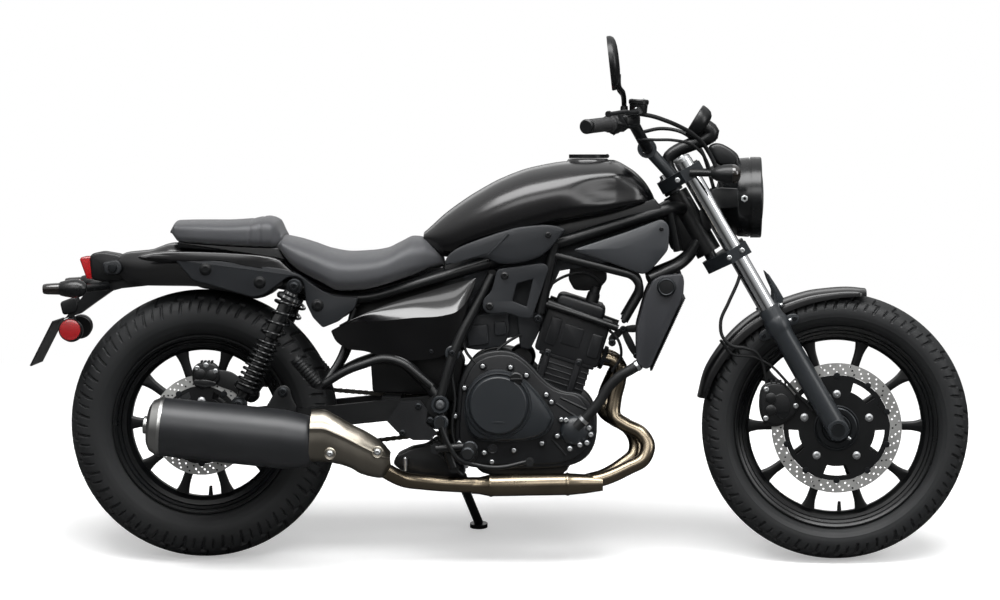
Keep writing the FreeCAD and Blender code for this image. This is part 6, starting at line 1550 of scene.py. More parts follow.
@dataclass
class Disc:
    """A brake disc: a drilled steel band on a black carrier with five bolts and rivets."""

    name: str
    node: str
    body: Body
    centre: Triple
    outer: float
    inner: float
    holes: int
    carrier_bolts: float
    y: float = -0.070
    windows: int = 5
    buttons: int = 10
    thickness: float = 0.0045
    turn: float = math.radians(90)

    def build(self, finishes: Finishes) -> None:
        """Makes the band, which replaces the solid, and the carrier with its bolts."""
        rings = [circle(self.outer, 96), circle(self.inner, 96)]
        for row, radius in enumerate(np.linspace(self.inner + 0.006, self.outer - 0.006, 3)):
            turns = (np.arange(self.holes) + row * 0.33) * FULL_TURN / self.holes
            rings += [circle(0.0025, 10) + (radius * math.cos(t), radius * math.sin(t)) for t in turns]
        make(self.name, pierced(rings, self.centre, self.y, self.thickness), finishes.disc, self.body,
             replaces=(self.node,), crease=30)
        self.build_carrier(finishes)

    def build_carrier(self, finishes: Finishes) -> None:
        """Makes the carrier with its windows, its bolts to the hub and the buttons that hold the band."""
        rings = [circle(self.inner - 0.0008, 120), circle(0.042, 60)]
        sweep = np.linspace(-1, 1, 10) * math.radians(16)
        for i in range(self.windows):
            middle = self.turn + (i + 0.5) * FULL_TURN / self.windows
            around = np.concatenate([middle + sweep, middle - sweep * 0.9])
            far = np.repeat([self.inner * 0.9, self.inner * 0.72], len(sweep))
            rings.append(np.stack([far * np.cos(around), far * np.sin(around)], axis=1))
        y_out = self.y - 0.0035
        make(self.name + "_carrier", pierced(rings, self.centre, self.y, 0.007), finishes.wheel, self.body,
             crease=30)
        pickup = turned([(0.0, 0.0), (0.0, 0.052), (0.003, 0.055), (0.004, 0.052), (0.0025, 0.049), (0.0045, 0.046),
                         (0.0045, 0.036), (0.003, 0.034), (0.0055, 0.031), (0.0055, 0.0)],
                        (self.centre[0], y_out, self.centre[2]), TO_RIGHT, 60)
        make(self.name + "_pickup", pickup, finishes.dark_bolt, self.body)

        def places(count: int, radius: float, y: float) -> list[Triple]:
            """Places equally spaced round the axle."""
            turns = [self.turn + i * FULL_TURN / count for i in range(count)]
            return [(self.centre[0] + radius * math.cos(a), y, self.centre[2] + radius * math.sin(a))
                    for a in turns]

        heads = [bolt(p, 0.0095, 0.005) for p in places(self.windows, self.carrier_bolts, y_out + 0.0005)]
        buttons = [turned([(-0.001, 0.0), (-0.001, 0.008), (0.0025, 0.007), (0.003, 0.0)], p, TO_RIGHT, 20)
                   for p in places(self.buttons, self.inner - 0.002, y_out)]
        make(self.name + "_bolts", merged(heads), finishes.zinc, self.body)
        make(self.name + "_buttons", merged(buttons), finishes.dark_bolt, self.body)


class RunningGear:
    """Shocks, chain, pipes, silencer, wheels and discs."""

    wheels = (
        Wheel("front_wheel_cast", "front_rim", Body.FRONT_WHEEL, FRONT_AXLE, bead=0.243, window=0.208, half=0.046),
        Wheel("rear_wheel_cast", "rear_rim", Body.REAR_WHEEL, REAR_AXLE, bead=0.216, window=0.178, half=0.055))
    discs = (
        Disc("front_disc_band", "front_disc", Body.FRONT_WHEEL, FRONT_AXLE, outer=0.155, inner=0.127, holes=40,
             carrier_bolts=0.081),
        Disc("rear_disc_band", "rear_disc", Body.REAR_WHEEL, REAR_AXLE, outer=0.120, inner=0.094, holes=32,
             carrier_bolts=0.058))

    def build(self, finishes: Finishes) -> None:
        """Makes each in turn."""
        for part in (Shock(), Chain(), Pipes(), Silencer(), *self.wheels, *self.discs):
            part.build(finishes)


# Engine

class Engine:
    """The twin's outside: layered cases, clutch and pump covers, cylinders, head, and what hangs on them."""

    case_outline = ((0.6136, 0.3801), (0.6183, 0.4276), (0.6421, 0.4799), (0.6801, 0.5036), (0.7418, 0.5084),
                    (0.7846, 0.4799), (0.8250, 0.4324), (0.8654, 0.4086), (0.9082, 0.4062), (0.9390, 0.3753),
                    (0.9509, 0.3183), (0.9367, 0.2613), (0.8939, 0.2304), (0.8131, 0.2233), (0.6706, 0.2233),
                    (0.6207, 0.2328), (0.6064, 0.2946))
    cover_outline = ((0.6314, 0.3776), (0.6386, 0.4108), (0.6575, 0.4392), (0.6812, 0.4558), (0.7096, 0.4629),
                     (0.7427, 0.4581), (0.7735, 0.4439), (0.8161, 0.3989), (0.8493, 0.3504), (0.8422, 0.3279),
                     (0.8279, 0.3066), (0.7901, 0.2912), (0.7096, 0.2865), (0.6480, 0.2948), (0.6314, 0.3421))
    disc_centre = (0.7148, 0.3781)
    disc_radius = 0.0685
    cap_centre = (0.7565, 0.4401)
    glass_centre = (0.7006, 0.2722)
    filter_centre = (0.6398, 0.2627)
    pump_centre = (0.8958, 0.3152)
    rim_bolts = ((0.6336, 0.4167), (0.6109, 0.3501), (0.6209, 0.2859), (0.6804, 0.2626), (0.7511, 0.2686),
                 (0.8177, 0.2852), (0.8635, 0.3423), (0.8402, 0.3841), (0.8281, 0.4014), (0.7809, 0.4476),
                 (0.7428, 0.4664), (0.6768, 0.4690), (0.8542, 0.3032), (0.6378, 0.2304), (0.6988, 0.2411))
    pump_bolts = ((0.9297, 0.3228), (0.9342, 0.3069), (0.9249, 0.2873), (0.9081, 0.2821), (0.8752, 0.3413),
                  (0.8842, 0.2731))
    boss_count = 13
    foot: Pair = (0.8492, 0.3999)
    tilt = math.radians(-17.5)

    def build(self, finishes: Finishes) -> None:
        """Makes every part of the engine that shows."""
        self.build_cases(finishes)
        self.build_clutch_cover(finishes)
        self.build_pump(finishes)
        self.build_cylinders(finishes)
        self.build_left(finishes)
        self.build_small(finishes)

    def build_cases(self, finishes: Finishes) -> None:
        """Makes the stepped crankcase halves, which replace the solid, with the sump under them."""
        outline = softened(self.case_outline, 2)
        middle = outline.mean(axis=0)
        inner = middle + (outline - middle) * 0.985
        halves = [slab(inner, 0.072, -0.1, 0.004), slab(outline, -0.09, -0.112, 0.005),
                  slab(middle + (outline - middle) * 0.93, -0.11, -0.1175, 0.004)]
        sump = softened(((0.6504, 0.2395), (0.8888, 0.2395), (0.8745, 0.2133), (0.8506, 0.2062), (0.6981, 0.2062),
                         (0.6695, 0.2133)), 1)
        halves.append(slab(sump, 0.05, -0.095, 0.004))
        for ribs in (((0.8511, 0.3801), (0.9224, 0.3326)), ((0.8606, 0.3943), (0.9319, 0.3611)),
                     ((0.8416, 0.2946), (0.8749, 0.2566))):
            halves.append(tube(np.array([spread(p, -0.1165) for p in ribs]), 0.0035, 10))
        make("crankcase_skin", merged(halves), finishes.engine_paint, Body.ROOT, replaces=("crankcase",), crease=38)
        seam = slab(middle + (outline - middle) * 1.004, -0.0985, -0.1005, 0.0006)
        make("case_gasket", seam, finishes.dark_bolt, Body.ROOT)

    def build_clutch_cover(self, finishes: Finishes) -> None:
        """Makes the teardrop cover: a flange, a crowned wall, and the round boss with its rings."""
        outline = softened(self.cover_outline, 3)
        centre = np.array(self.disc_centre)
        flange = slab(outline, -0.112, -0.124, 0.002)
        toward = centre + (outline - centre) * 0.96
        body = slab(toward, -0.122, -0.143, 0.009, 0.004)
        r = self.disc_radius
        rings = turned([(0.0, 0.0), (0.0, r * 1.17), (0.004, r * 1.16), (0.007, r * 1.13), (0.0075, r * 1.09),
                        (0.005, r * 1.07), (0.005, r * 1.045), (0.008, r * 1.02), (0.0125, r * 0.985),
                        (0.014, r * 0.95), (0.0145, r * 0.5), (0.0148, 0.0)], spread(self.disc_centre, -0.141),
                       TO_RIGHT, 96)
        badge = softened(centre + np.array([(-0.017, -0.040), (0.0, -0.037), (0.017, -0.040), (0.012, -0.0425),
                                            (0.0, -0.0435), (-0.012, -0.0425)]), 2)
        notch = slab(badge, -0.1552, -0.1562, 0.0003)
        # The cover's paint is drawn paler than the cases' as painted light, for the light its smooth face catches
        make("clutch_cover", merged([flange, body, rings, notch]), finishes.cover_paint, Body.ROOT,
             replaces=("engine_covers",), crease=30)
        bosses = [turned([(0.0, 0.0), (0.0, 0.0095), (0.016, 0.0085), (0.018, 0.007), (0.018, 0.0)], (x, -0.108, z),
                         TO_RIGHT, 20) for x, z in self.rim_bolts[:self.boss_count]]
        make("cover_bosses", merged(bosses), finishes.engine_paint, Body.ROOT)
        heads = [bolt((x, -0.1255, z), 0.0052, 0.0065) for x, z in self.rim_bolts]
        make("cover_bolts", merged(heads), finishes.zinc, Body.ROOT)
        cap = turned([(0.0, 0.0), (0.0, 0.0165), (0.012, 0.016), (0.014, 0.0135), (0.016, 0.013), (0.016, 0.0)],
                     spread(self.cap_centre, -0.136), TO_RIGHT, 30)
        x, z = self.cap_centre
        wing = slab(softened([(x - 0.014, z - 0.003), (x + 0.014, z - 0.003), (x + 0.014, z + 0.003),
                              (x - 0.014, z + 0.003)], 2), -0.15, -0.158, 0.001)
        make("oil_filler_cap", cap + wing, finishes.moulded_smooth, Body.ROOT)

    def build_pump(self, finishes: Finishes) -> None:
        """Makes the round pump cover low in front, its bolts, the sight glass and the filter's cover."""
        place = spread(self.pump_centre, -0.108)
        body = turned([(0.0, 0.0), (0.0, 0.037), (0.012, 0.036), (0.02, 0.031), (0.026, 0.02), (0.028, 0.008),
                       (0.028, 0.0)], place, TO_RIGHT, 48)
        lugs = [turned([(0.0, 0.0), (0.0, 0.0085), (0.02, 0.0075), (0.02, 0.0)], (x, -0.108, z), TO_RIGHT, 16)
                for x, z in self.pump_bolts]
        make("pump_cover", merged([body] + lugs), finishes.cover_paint, Body.ROOT)
        make("pump_bolts", merged([bolt((x, -0.1275, z), 0.0058, 0.0065) for x, z in self.pump_bolts]),
             finishes.zinc, Body.ROOT)
        ring = turned([(0.0, 0.0), (0.0, 0.0125), (0.006, 0.012), (0.006, 0.0095), (0.003, 0.009), (0.003, 0.0)],
                      spread(self.glass_centre, -0.117), TO_RIGHT, 28)
        make("oil_sight_glass", ring, finishes.dial, Body.ROOT)
        ribs = [turned([(0.0, 0.0), (0.0, 0.026), (0.018, 0.025), (0.021, 0.022), (0.021, 0.0)],
                       spread(self.filter_centre, -0.112), TO_RIGHT, 32)]
        x, z = self.filter_centre
        for k in range(-3, 4):
            half, low, high = math.sqrt(0.022**2 - (k * 0.006) ** 2), z + k * 0.006 - 0.0012, z + k * 0.006 + 0.0012
            ribs.append(slab([(x - half, low), (x + half, low), (x + half, high), (x - half, high)], -0.131,
                             -0.1355,
                             0.0005))
        make("filter_cover", merged(ribs), finishes.engine_paint, Body.ROOT)

    def leaned(self, shape: Shape) -> Shape:
        """A shape of the cylinders, drawn upright over their foot, turned forward by their tilt."""
        return shape.turned_about(spread(self.foot, 0.0), self.tilt)

    def block(self, x: float, z: float, wide: float, tall: float, half: float, edge: float = 0.004) -> Shape:
        """A rounded block over the cylinders' foot: its middle, width, height and half thickness."""
        low, high = self.foot[1] + z, self.foot[1] + z + tall
        back, front = self.foot[0] + x - wide / 2, self.foot[0] + x + wide / 2
        corners = [(back, low), (front, low), (front, high), (back, high)]
        return self.leaned(slab(cornered(corners, max(edge * 2, 0.002)), half, -half, edge))

    def build_cylinders(self, finishes: Finishes) -> None:
        """Makes barrels, head and cam cover with their joint lines, studs and bolts."""
        blocks = (
            (0.0, -0.005, 0.118, 0.092, 0.09), (0.0, 0.082, 0.136, 0.012, 0.094, 0.002),
            (-0.003, 0.088, 0.158, 0.11, 0.095, 0.006), (-0.003, 0.19, 0.166, 0.01, 0.0965, 0.002),
            (-0.006, 0.196, 0.122, 0.038, 0.084, 0.009), (-0.05, 0.108, 0.03, 0.07, 0.097),
            (-0.004, 0.12, 0.05, 0.05, 0.0965, 0.003), (0.03, 0.228, 0.03, 0.008, 0.07, 0.002),
            *((0.0, 0.012 + k * 0.014, 0.122, 0.0035, 0.0925, 0.001) for k in range(5)),
            *((x, 0.0, 0.017, 0.1, 0.0985) for x in (-0.048, 0.03)), (0.055, 0.108, 0.03, 0.06, 0.098))
        parts = [self.block(*sizes) for sizes in blocks]
        make("cylinder_skin", merged(parts), finishes.engine_paint, Body.ROOT, replaces=("cylinder_block",),
             crease=35)
        heads = [self.leaned(bolt((self.foot[0] + x, -0.0975, self.foot[1] + z), 0.0055, 0.006)) for x, z in (
            (-0.048, 0.088), (0.03, 0.088), (-0.072, 0.195), (0.066, 0.195), (-0.028, 0.195), (0.02, 0.195))]
        make("head_bolts", merged(heads), finishes.dark_bolt, Body.ROOT)
        line = self.block(-0.003, 0.1935, 0.169, 0.0025, 0.098, 0.0008)
        make("cam_cover_joint", line, finishes.dark_bolt, Body.ROOT)
        caps = [self.leaned(turned([(0.0, 0.0), (0.0, 0.016), (0.03, 0.015), (0.034, 0.012), (0.05, 0.011),
                                    (0.052, 0.0)], (self.foot[0] + 0.016, y, self.foot[1] + 0.222), UPWARD, 24))
                for y in (-0.045, 0.045)]
        make("plug_caps", merged(caps), finishes.rubber, Body.ROOT)

    def build_left(self, finishes: Finishes) -> None:
        """Makes the generator cover on the left with its rings and bolts."""
        centre = (0.8299, 0.3228)
        cover = turned([(0.0, 0.0), (0.0, 0.078), (0.016, 0.077), (0.026, 0.07), (0.029, 0.058), (0.032, 0.056),
                        (0.033, 0.0)], spread(centre, 0.118), TO_LEFT, 72)
        base = slab(softened(self.case_outline, 2), 0.07, 0.118, 0.006)
        heads = [bolt((centre[0] + 0.07 * math.cos(a), 0.134, centre[1] + 0.07 * math.sin(a)), 0.0058, 0.006,
                      TO_LEFT) for a in np.arange(8) * math.pi / 4 + 0.3]
        make("generator_cover", cover + base, finishes.cover_paint, Body.ROOT, crease=35)
        make("generator_bolts", merged(heads), finishes.zinc, Body.ROOT)
        shield = softened(((0.5866, 0.4481), (0.6227, 0.4625), (0.6902, 0.4481), (0.7335, 0.3999), (0.7384, 0.3324),
                           (0.7143, 0.2698), (0.6613, 0.2554), (0.6083, 0.2746), (0.5890, 0.3324)), 2)
        make("sprocket_cover_skin", slab(shield, 0.074, 0.113, 0.007, 0.002), finishes.cover_paint, Body.ROOT,
             replaces=("sprocket_cover",), crease=38)

    def build_small(self, finishes: Finishes) -> None:
        """Makes the starter, intakes, wiring, head braces and sensor between the cylinders and the frame."""
        pieces = [turned([(0.0, 0.0), (0.0, 0.028), (0.01, 0.031), (0.1, 0.031), (0.112, 0.024), (0.112, 0.0)],
                         spread((0.7683, 0.4843), 0.06), TO_RIGHT, 32)]
        for y in (-0.05, 0.05):
            pieces.append(tube(spline([spread((0.8308, 0.5712), y), spread((0.8021, 0.5808), y),
                                       spread((0.7686, 0.5951), y)],
                                      10), 0.024, 24))
            pieces.append(turned([(-0.006, 0.0), (-0.006, 0.027), (0.006, 0.027), (0.006, 0.0)],
                                 spread((0.8045, 0.5808), y), (-0.9, 0, 0.3), 24))
        make("starter_and_intakes", merged(pieces), finishes.moulded_smooth, Body.ROOT)
        lines = (
            (((0.9457, 0.6330), -0.03), ((0.9554, 0.6626), -0.05), ((0.9268, 0.6869), -0.06),
             ((0.8743, 0.6826), -0.075),
             ((0.8315, 0.6541), -0.085), ((0.8124, 0.6017), -0.088)),
            (((0.7648, 0.5423), -0.085), ((0.7365, 0.5262), -0.1), ((0.7081, 0.5027), -0.105),
             ((0.6892, 0.4745), -0.11)),
            (((0.6654, 0.4697), -0.11), ((0.6369, 0.5030), -0.108), ((0.6274, 0.5411), -0.104),
             ((0.6460, 0.5834), -0.1)),
            (((0.6112, 0.5036), -0.128), ((0.6041, 0.4561), -0.13), ((0.6112, 0.3896), -0.128),
             ((0.6041, 0.3183), -0.13),
             ((0.6183, 0.2518), -0.127)),
            (((0.9770, 0.5548), -0.1), ((0.9984, 0.5310), -0.1), ((1.0056, 0.4929), -0.09),
             ((0.9842, 0.4541), -0.08)),
        )
        cords = [tube(spline([spread(p, y) for p, y in line], 48), 0.0036, 10) for line in lines]
        make("engine_wiring", merged(cords), finishes.rubber, Body.ROOT)
        brace = tube(np.array([spread((0.8319, 0.6194), -0.106), spread((0.9984, 0.5587), -0.106)]), 0.0088, 18)
        make("head_braces", brace.both_sides(), finishes.frame_powder, Body.ROOT)
        sensor = turned([(0.0, 0.0), (0.0, 0.009), (0.016, 0.009), (0.018, 0.0065), (0.03, 0.006), (0.03, 0.0)],
                         spread((0.6960, 0.4691), -0.1), (0, -0.2, 1), 16)
        make("neutral_sensor", sensor, finishes.zinc, Body.ROOT)


class Cooling:
    """The radiator with its tanks, fins and cap, and the hose down to the pump."""

    side = ((1.0788, 0.6740), (1.0977, 0.6858), (1.1497, 0.6917), (1.1545, 0.6740), (1.1521, 0.6385),
            (1.0741, 0.4683), (1.0622, 0.4647), (1.0410, 0.4801), (1.0410, 0.5581), (1.0622, 0.6385))
    cap_place = spread((1.1119, 0.6598), -0.157)
    fin_count = 46

    def build(self, finishes: Finishes) -> None:
        """Makes the radiator, replacing the solid, and the hose."""
        outline = cornered(self.side, 0.008)
        middle = outline.mean(axis=0)
        tanks = [slab(outline, side * 0.128, side * 0.157, 0.004) for side in SIDES]
        core = slab(middle + (outline - middle) * 0.9, 0.13, -0.13, 0.002)
        make("radiator_shell", merged(tanks + [core]), finishes.radiator, Body.ROOT, replaces=("radiator",),
             crease=35)
        front = np.array([(1.1551, 0.6312), (1.0756, 0.4577)])
        fins = []
        for k in range(self.fin_count):
            x, z = front[0] + (front[1] - front[0]) * ((k + 0.5) / self.fin_count)
            fins.append(slab([(x - 0.002, z - 0.0008), (x + 0.004, z + 0.0006), (x + 0.004, z + 0.0016),
                              (x - 0.002, z + 0.0002)], 0.126, -0.126, 0.0002))
        make("radiator_fins", merged(fins), finishes.radiator, Body.ROOT)
        cap = turned([(0.0, 0.0), (0.0, 0.021), (0.006, 0.0225), (0.01, 0.0225), (0.013, 0.019), (0.014, 0.0)],
                     self.cap_place, TO_RIGHT, 28)
        make("radiator_cap", cap, finishes.moulded_smooth, Body.ROOT)
        rim = turned([(0.011, 0.0225), (0.013, 0.0215), (0.0145, 0.018), (0.0135, 0.0165), (0.012, 0.0165)],
                     self.cap_place, TO_RIGHT, 28)
        make("radiator_cap_rim", rim, finishes.dark_bolt, Body.ROOT)
        route = [spread(p, -y) for p, y in (
            ((1.0506, 0.4764), 0.138), ((1.0316, 0.4646), 0.14), ((1.0032, 0.4478), 0.139),
            ((0.9747, 0.4192), 0.136),
            ((0.9510, 0.3810), 0.134), ((0.9225, 0.3476), 0.131), ((0.8988, 0.3239), 0.129))]
        make("coolant_hose_skin", tube(spline(route, 60), 0.0122, 24), finishes.rubber, Body.ROOT,
             replaces=("coolant_hose",))
        clips = [turned([(0.004, 0.0), (0.004, 0.0136), (0.012, 0.0136), (0.012, 0.0)], a, np.subtract(b, a), 24)
                 for a, b in (route[:2], route[-2:])]
        make("hose_clips", merged(clips), finishes.zinc, Body.ROOT)


# Front end and controls

def set_on(shape: Shape, centre: Triple, ahead: Triple, aside: Triple) -> Shape:
    """A shape drawn about the origin, set at a centre with its x along one way and its y near another."""
    first = np.asarray(ahead, float) / np.linalg.norm(ahead)
    third = np.cross(first, aside)
    third /= np.linalg.norm(third)
    return Shape(np.asarray(centre) + shape.points @ np.stack([first, np.cross(third, first), third]), shape.faces)


def brick(length: float, width: float, height: float, edge: float = 0.003) -> Shape:
    """A block about the origin with rounded rims, its length along x, width along y and height along z."""
    corners = softened([(-length / 2, -height / 2), (length / 2, -height / 2), (length / 2, height / 2),
                        (-length / 2, height / 2)], 1)
    return slab(corners, width / 2, -width / 2, edge)


def ribbed(start: Triple, end: Triple, low: float, high: float, ribs: int, sides: int = 28) -> Shape:
    """A round rubber between two points, its radius swinging between low and high once a rib."""
    way = np.asarray(end) - np.asarray(start)
    along = np.linspace(0, 1, ribs * 4 + 1)
    swing = np.abs(np.sin(along * ribs * math.pi))
    profile = [(0.0, 0.0)] + list(zip(along * np.linalg.norm(way), low + (high - low) * swing**0.4))
    return turned(profile + [(float(np.linalg.norm(way)), 0.0)], start, way, sides)


class Fork:
    """Lower legs, their seals and lugs, the silver caps, and the clamps' bolts."""

    offset, half_gap = 0.055, 0.105
    leg = ((-0.022, 0.0), (-0.022, 0.019), (-0.017, 0.0245), (0.02, 0.026), (0.1, 0.0255), (0.262, 0.0245),
           (0.27, 0.0265), (0.276, 0.0288), (0.298, 0.0292), (0.303, 0.027), (0.308, 0.0255), (0.325, 0.0255),
           (0.333, 0.0235), (0.333, 0.0))

    def build(self, finishes: Finishes) -> None:
        """Makes both legs and everything fixed to them."""
        legs, chrome, bolts = [], [], []
        axle = np.array(FRONT_AXLE)
        for side in SIDES:
            legs.append(turned(self.leg, steered(self.offset, side * self.half_gap, 0.0), STEER_UP, 40))
            legs.append(turned([(0.0, 0.0), (0.0, 0.022), (0.003, 0.0255), (0.048, 0.0255), (0.052, 0.022),
                                (0.052, 0.0)], axle + (0, side * 0.08, 0), (0, side, 0), 32))
            chrome.append(turned([(0.0, 0.0), (0.0, 0.0195), (0.008, 0.0195), (0.011, 0.016), (0.011, 0.009),
                                  (0.014, 0.008), (0.014, 0.0)],
                                 steered(self.offset, side * self.half_gap, 0.7345), STEER_UP, 32))
            bolts.append(bolt(axle + (0.024, side * 0.11, -0.02), 0.0055, 0.008, (0.87, 0, -0.5)))
            for up in (0.28, 0.322):
                legs.append(turned([(0.0, 0.0), (0.0, 0.01), (0.012, 0.009), (0.012, 0.0)],
                                   steered(self.offset + 0.018, side * (self.half_gap - 0.018), up), STEER_AHEAD,
                                   16))
                bolts.append(bolt(steered(self.offset + 0.0295, side * (self.half_gap - 0.018), up), 0.0058, 0.006,
                                  STEER_AHEAD))
        make("fork_legs_skin", merged(legs), finishes.fork_leg, Body.STEERING, replaces=("fork_sliders",),
             crease=35)
        make("fork_caps", merged(chrome), finishes.zinc, Body.STEERING)
        for at, up in ((0.02, 0.703), (0.035, 0.483), (0.07, 0.483)):
            bolts += [bolt(steered(at, side * 0.137, up), 0.0062, 0.007, (0, side, 0)) for side in SIDES]
        bolts.append(bolt(steered(0.0, 0.0, 0.7175), 0.017, 0.012, STEER_UP, hexed=True))
        make("clamp_bolts", merged(bolts), finishes.zinc, Body.STEERING)
        ring = turned([(0.0, 0.0), (0.0, 0.0225), (0.005, 0.024), (0.009, 0.0225), (0.009, 0.0)],
                      steered(0.0, 0.0, 0.6785), STEER_UP, 36)
        make("head_lock_ring", ring, finishes.steel, Body.STEERING)


class Controls:
    """Grips, switchgear, levers and the brake's reservoir, which replace the plain solids."""

    bar = ((1.0340, 0.190, 1.0463), (0.9839, 0.270, 1.0451), (0.9252, 0.392, 1.0378))
    reach = 0.055
    lever_shares = (0, 0.2, 0.6, 0.93, 0.97, 1)
    lever_radii = (0.0085, 0.0062, 0.005, 0.0048, 0.0085, 0.007)

    def bar_place(self, index: int, side: float) -> np.ndarray:
        """A corner of the handlebar."""
        x, y, z = self.bar[index]
        return np.array([x, side * y, z])

    def build(self, finishes: Finishes) -> None:
        """Makes both sides' controls."""
        rubber, housings, levers, screws = [], [], [], []
        for side in SIDES:
            inner, outer = self.bar_place(1, side), self.bar_place(2, side)
            way = (outer - inner) / np.linalg.norm(outer - inner)
            before = self.bar_place(0, side) - inner
            before /= np.linalg.norm(before)
            start = inner + way * 0.018
            rubber.append(ribbed(start, start + way * 0.108, 0.0152, 0.0168, 22))
            rubber.append(turned([(0.0, 0.0), (0.0, 0.0205), (0.004, 0.0205), (0.007, 0.017), (0.007, 0.0)],
                                 inner + way * 0.0145, way, 28))
            housings.append(turned([(0.0, 0.0), (0.0, 0.0155), (0.004, 0.0172), (0.012, 0.0172), (0.0145, 0.014),
                                    (0.0145, 0.0)], start + way * 0.107, way, 28))
            centre = inner - way * 0.006 + before * 0.012
            housings.append(set_on(brick(0.05, 0.042, 0.040, 0.008), centre, way, STEER_AHEAD))
            housings.append(set_on(brick(0.003, 0.043, 0.041, 0.001), centre, way, STEER_AHEAD))
            housings.append(set_on(brick(0.03, 0.03, 0.034, 0.006), inner + before * 0.042, before, STEER_AHEAD))
            root = inner + before * 0.021
            hinge = root + STEER_AHEAD * self.reach
            housings.append(tube([root + before * 0.014, (root + hinge) / 2 + before * 0.006, hinge],
                                 np.array([0.0125, 0.0115, 0.0105]), 18))
            housings.append(turned([(-0.008, 0.0), (-0.008, 0.011), (0.008, 0.011), (0.008, 0.0)], hinge,
                                   STEER_UP, 20))
            tip = root + (STEER_AHEAD * self.reach + (outer - inner)) * 1.1 + way * 0.021
            path = spline([hinge, hinge + way * 0.03 - STEER_AHEAD * 0.002, (hinge + tip) / 2 + STEER_AHEAD * 0.004,
                           tip - way * 0.02, tip], 26)
            radii = np.interp(np.linspace(0, 1, 26), self.lever_shares, self.lever_radii)
            levers.append(tube(path, radii, 16))
            screws.append(bolt(hinge + STEER_UP * 0.008, 0.006, 0.003, STEER_UP))
            screws.append(bolt(centre - STEER_AHEAD * 0.021, 0.004, 0.002, -STEER_AHEAD))
        make("grip_rubbers", merged(rubber), finishes.grip, Body.STEERING)
        cup = self.bar_place(1, RIGHT) + np.array([0.0604, 0.0356, 0.0226])
        body = turned([(0.0, 0.0), (0.0, 0.018), (0.004, 0.0205), (0.022, 0.0215), (0.024, 0.0235), (0.031, 0.0238),
                       (0.034, 0.0215), (0.034, 0.0)], cup, (0.05, 0, 1), 40)
        housings += [body, set_on(brick(0.062, 0.026, 0.026, 0.007), cup - STEER_AHEAD * 0.018 - (0, 0, 0.006),
                                  (0.47, 0.85, 0), UPWARD)]
        for turn in (0.6, 0.6 + math.pi):
            screws.append(bolt(cup + np.array([0.0165 * math.cos(turn), 0.0165 * math.sin(turn), 0.0335]), 0.0035,
                               0.002, (0.05, 0, 1)))
        make("switchgear", merged(housings), finishes.moulded_smooth, Body.STEERING, replaces=("hand_controls",),
             crease=35)
        make("hand_levers", merged(levers), finishes.lever, Body.STEERING)
        make("control_screws", merged(screws), finishes.zinc, Body.STEERING)
        centre = self.bar_place(1, RIGHT) + (0.003, 0.012, 0.0205)
        button = set_on(brick(0.016, 0.013, 0.008, 0.002), centre, (0.43, 0.9, 0), UPWARD)
        make("stop_switch", button, finishes.red_button, Body.STEERING)


class Mirrors:
    """Round heads with their glass, on bent stems."""

    centre, tilt, radius = (0.988, 0.330, 1.1885), math.radians(6.2), 0.060

    def build(self, finishes: Finishes) -> None:
        """Makes heads, glasses and stems on both sides."""
        shells, panes = [], []
        ahead = np.array([math.cos(self.tilt), 0.0, math.sin(self.tilt)])
        for side in SIDES:
            middle = np.array([self.centre[0], side * self.centre[1], self.centre[2]])
            r = self.radius
            shells.append(turned([(-0.0095, 0.0), (-0.0095, r * 0.94), (-0.0118, r * 0.955), (-0.0115, r * 0.985),
                                  (-0.008, r), (-0.002, r * 0.99), (0.004, r * 0.93), (0.008, r * 0.8),
                                  (0.0105, r * 0.6), (0.0118, r * 0.3), (0.012, 0.0)], middle, ahead, 72))
            panes.append(turned([(-0.0096, 0.0), (-0.0096, r * 0.935), (-0.0106, r * 0.93), (-0.0108, 0.0)], middle,
                                ahead, 64))
            foot = np.array([1.0119, side * 0.2252, 1.0458])
            neck = middle + (0.0105, 0.0, -0.03)
            bend = foot + (neck - foot) * (0.2, 0.5, 0.62)
            shells.append(tube(spline([foot + (0, 0, 0.004), foot + (0, 0, 0.04), bend, neck - (0, 0, 0.02), neck],
                                      30), 0.0055, 16))
            shells.append(turned([(0.0, 0.0), (0.0, 0.013), (0.016, 0.013), (0.02, 0.009), (0.034, 0.0085),
                                  (0.036, 0.0)], foot + (0, 0, 0.006), UPWARD, 24))
        make("mirror_shells", merged(shells), finishes.moulded_smooth, Body.STEERING, replaces=("mirrors",),
             crease=35)
        make("mirror_panes", merged(panes), finishes.mirror_glass, Body.STEERING)


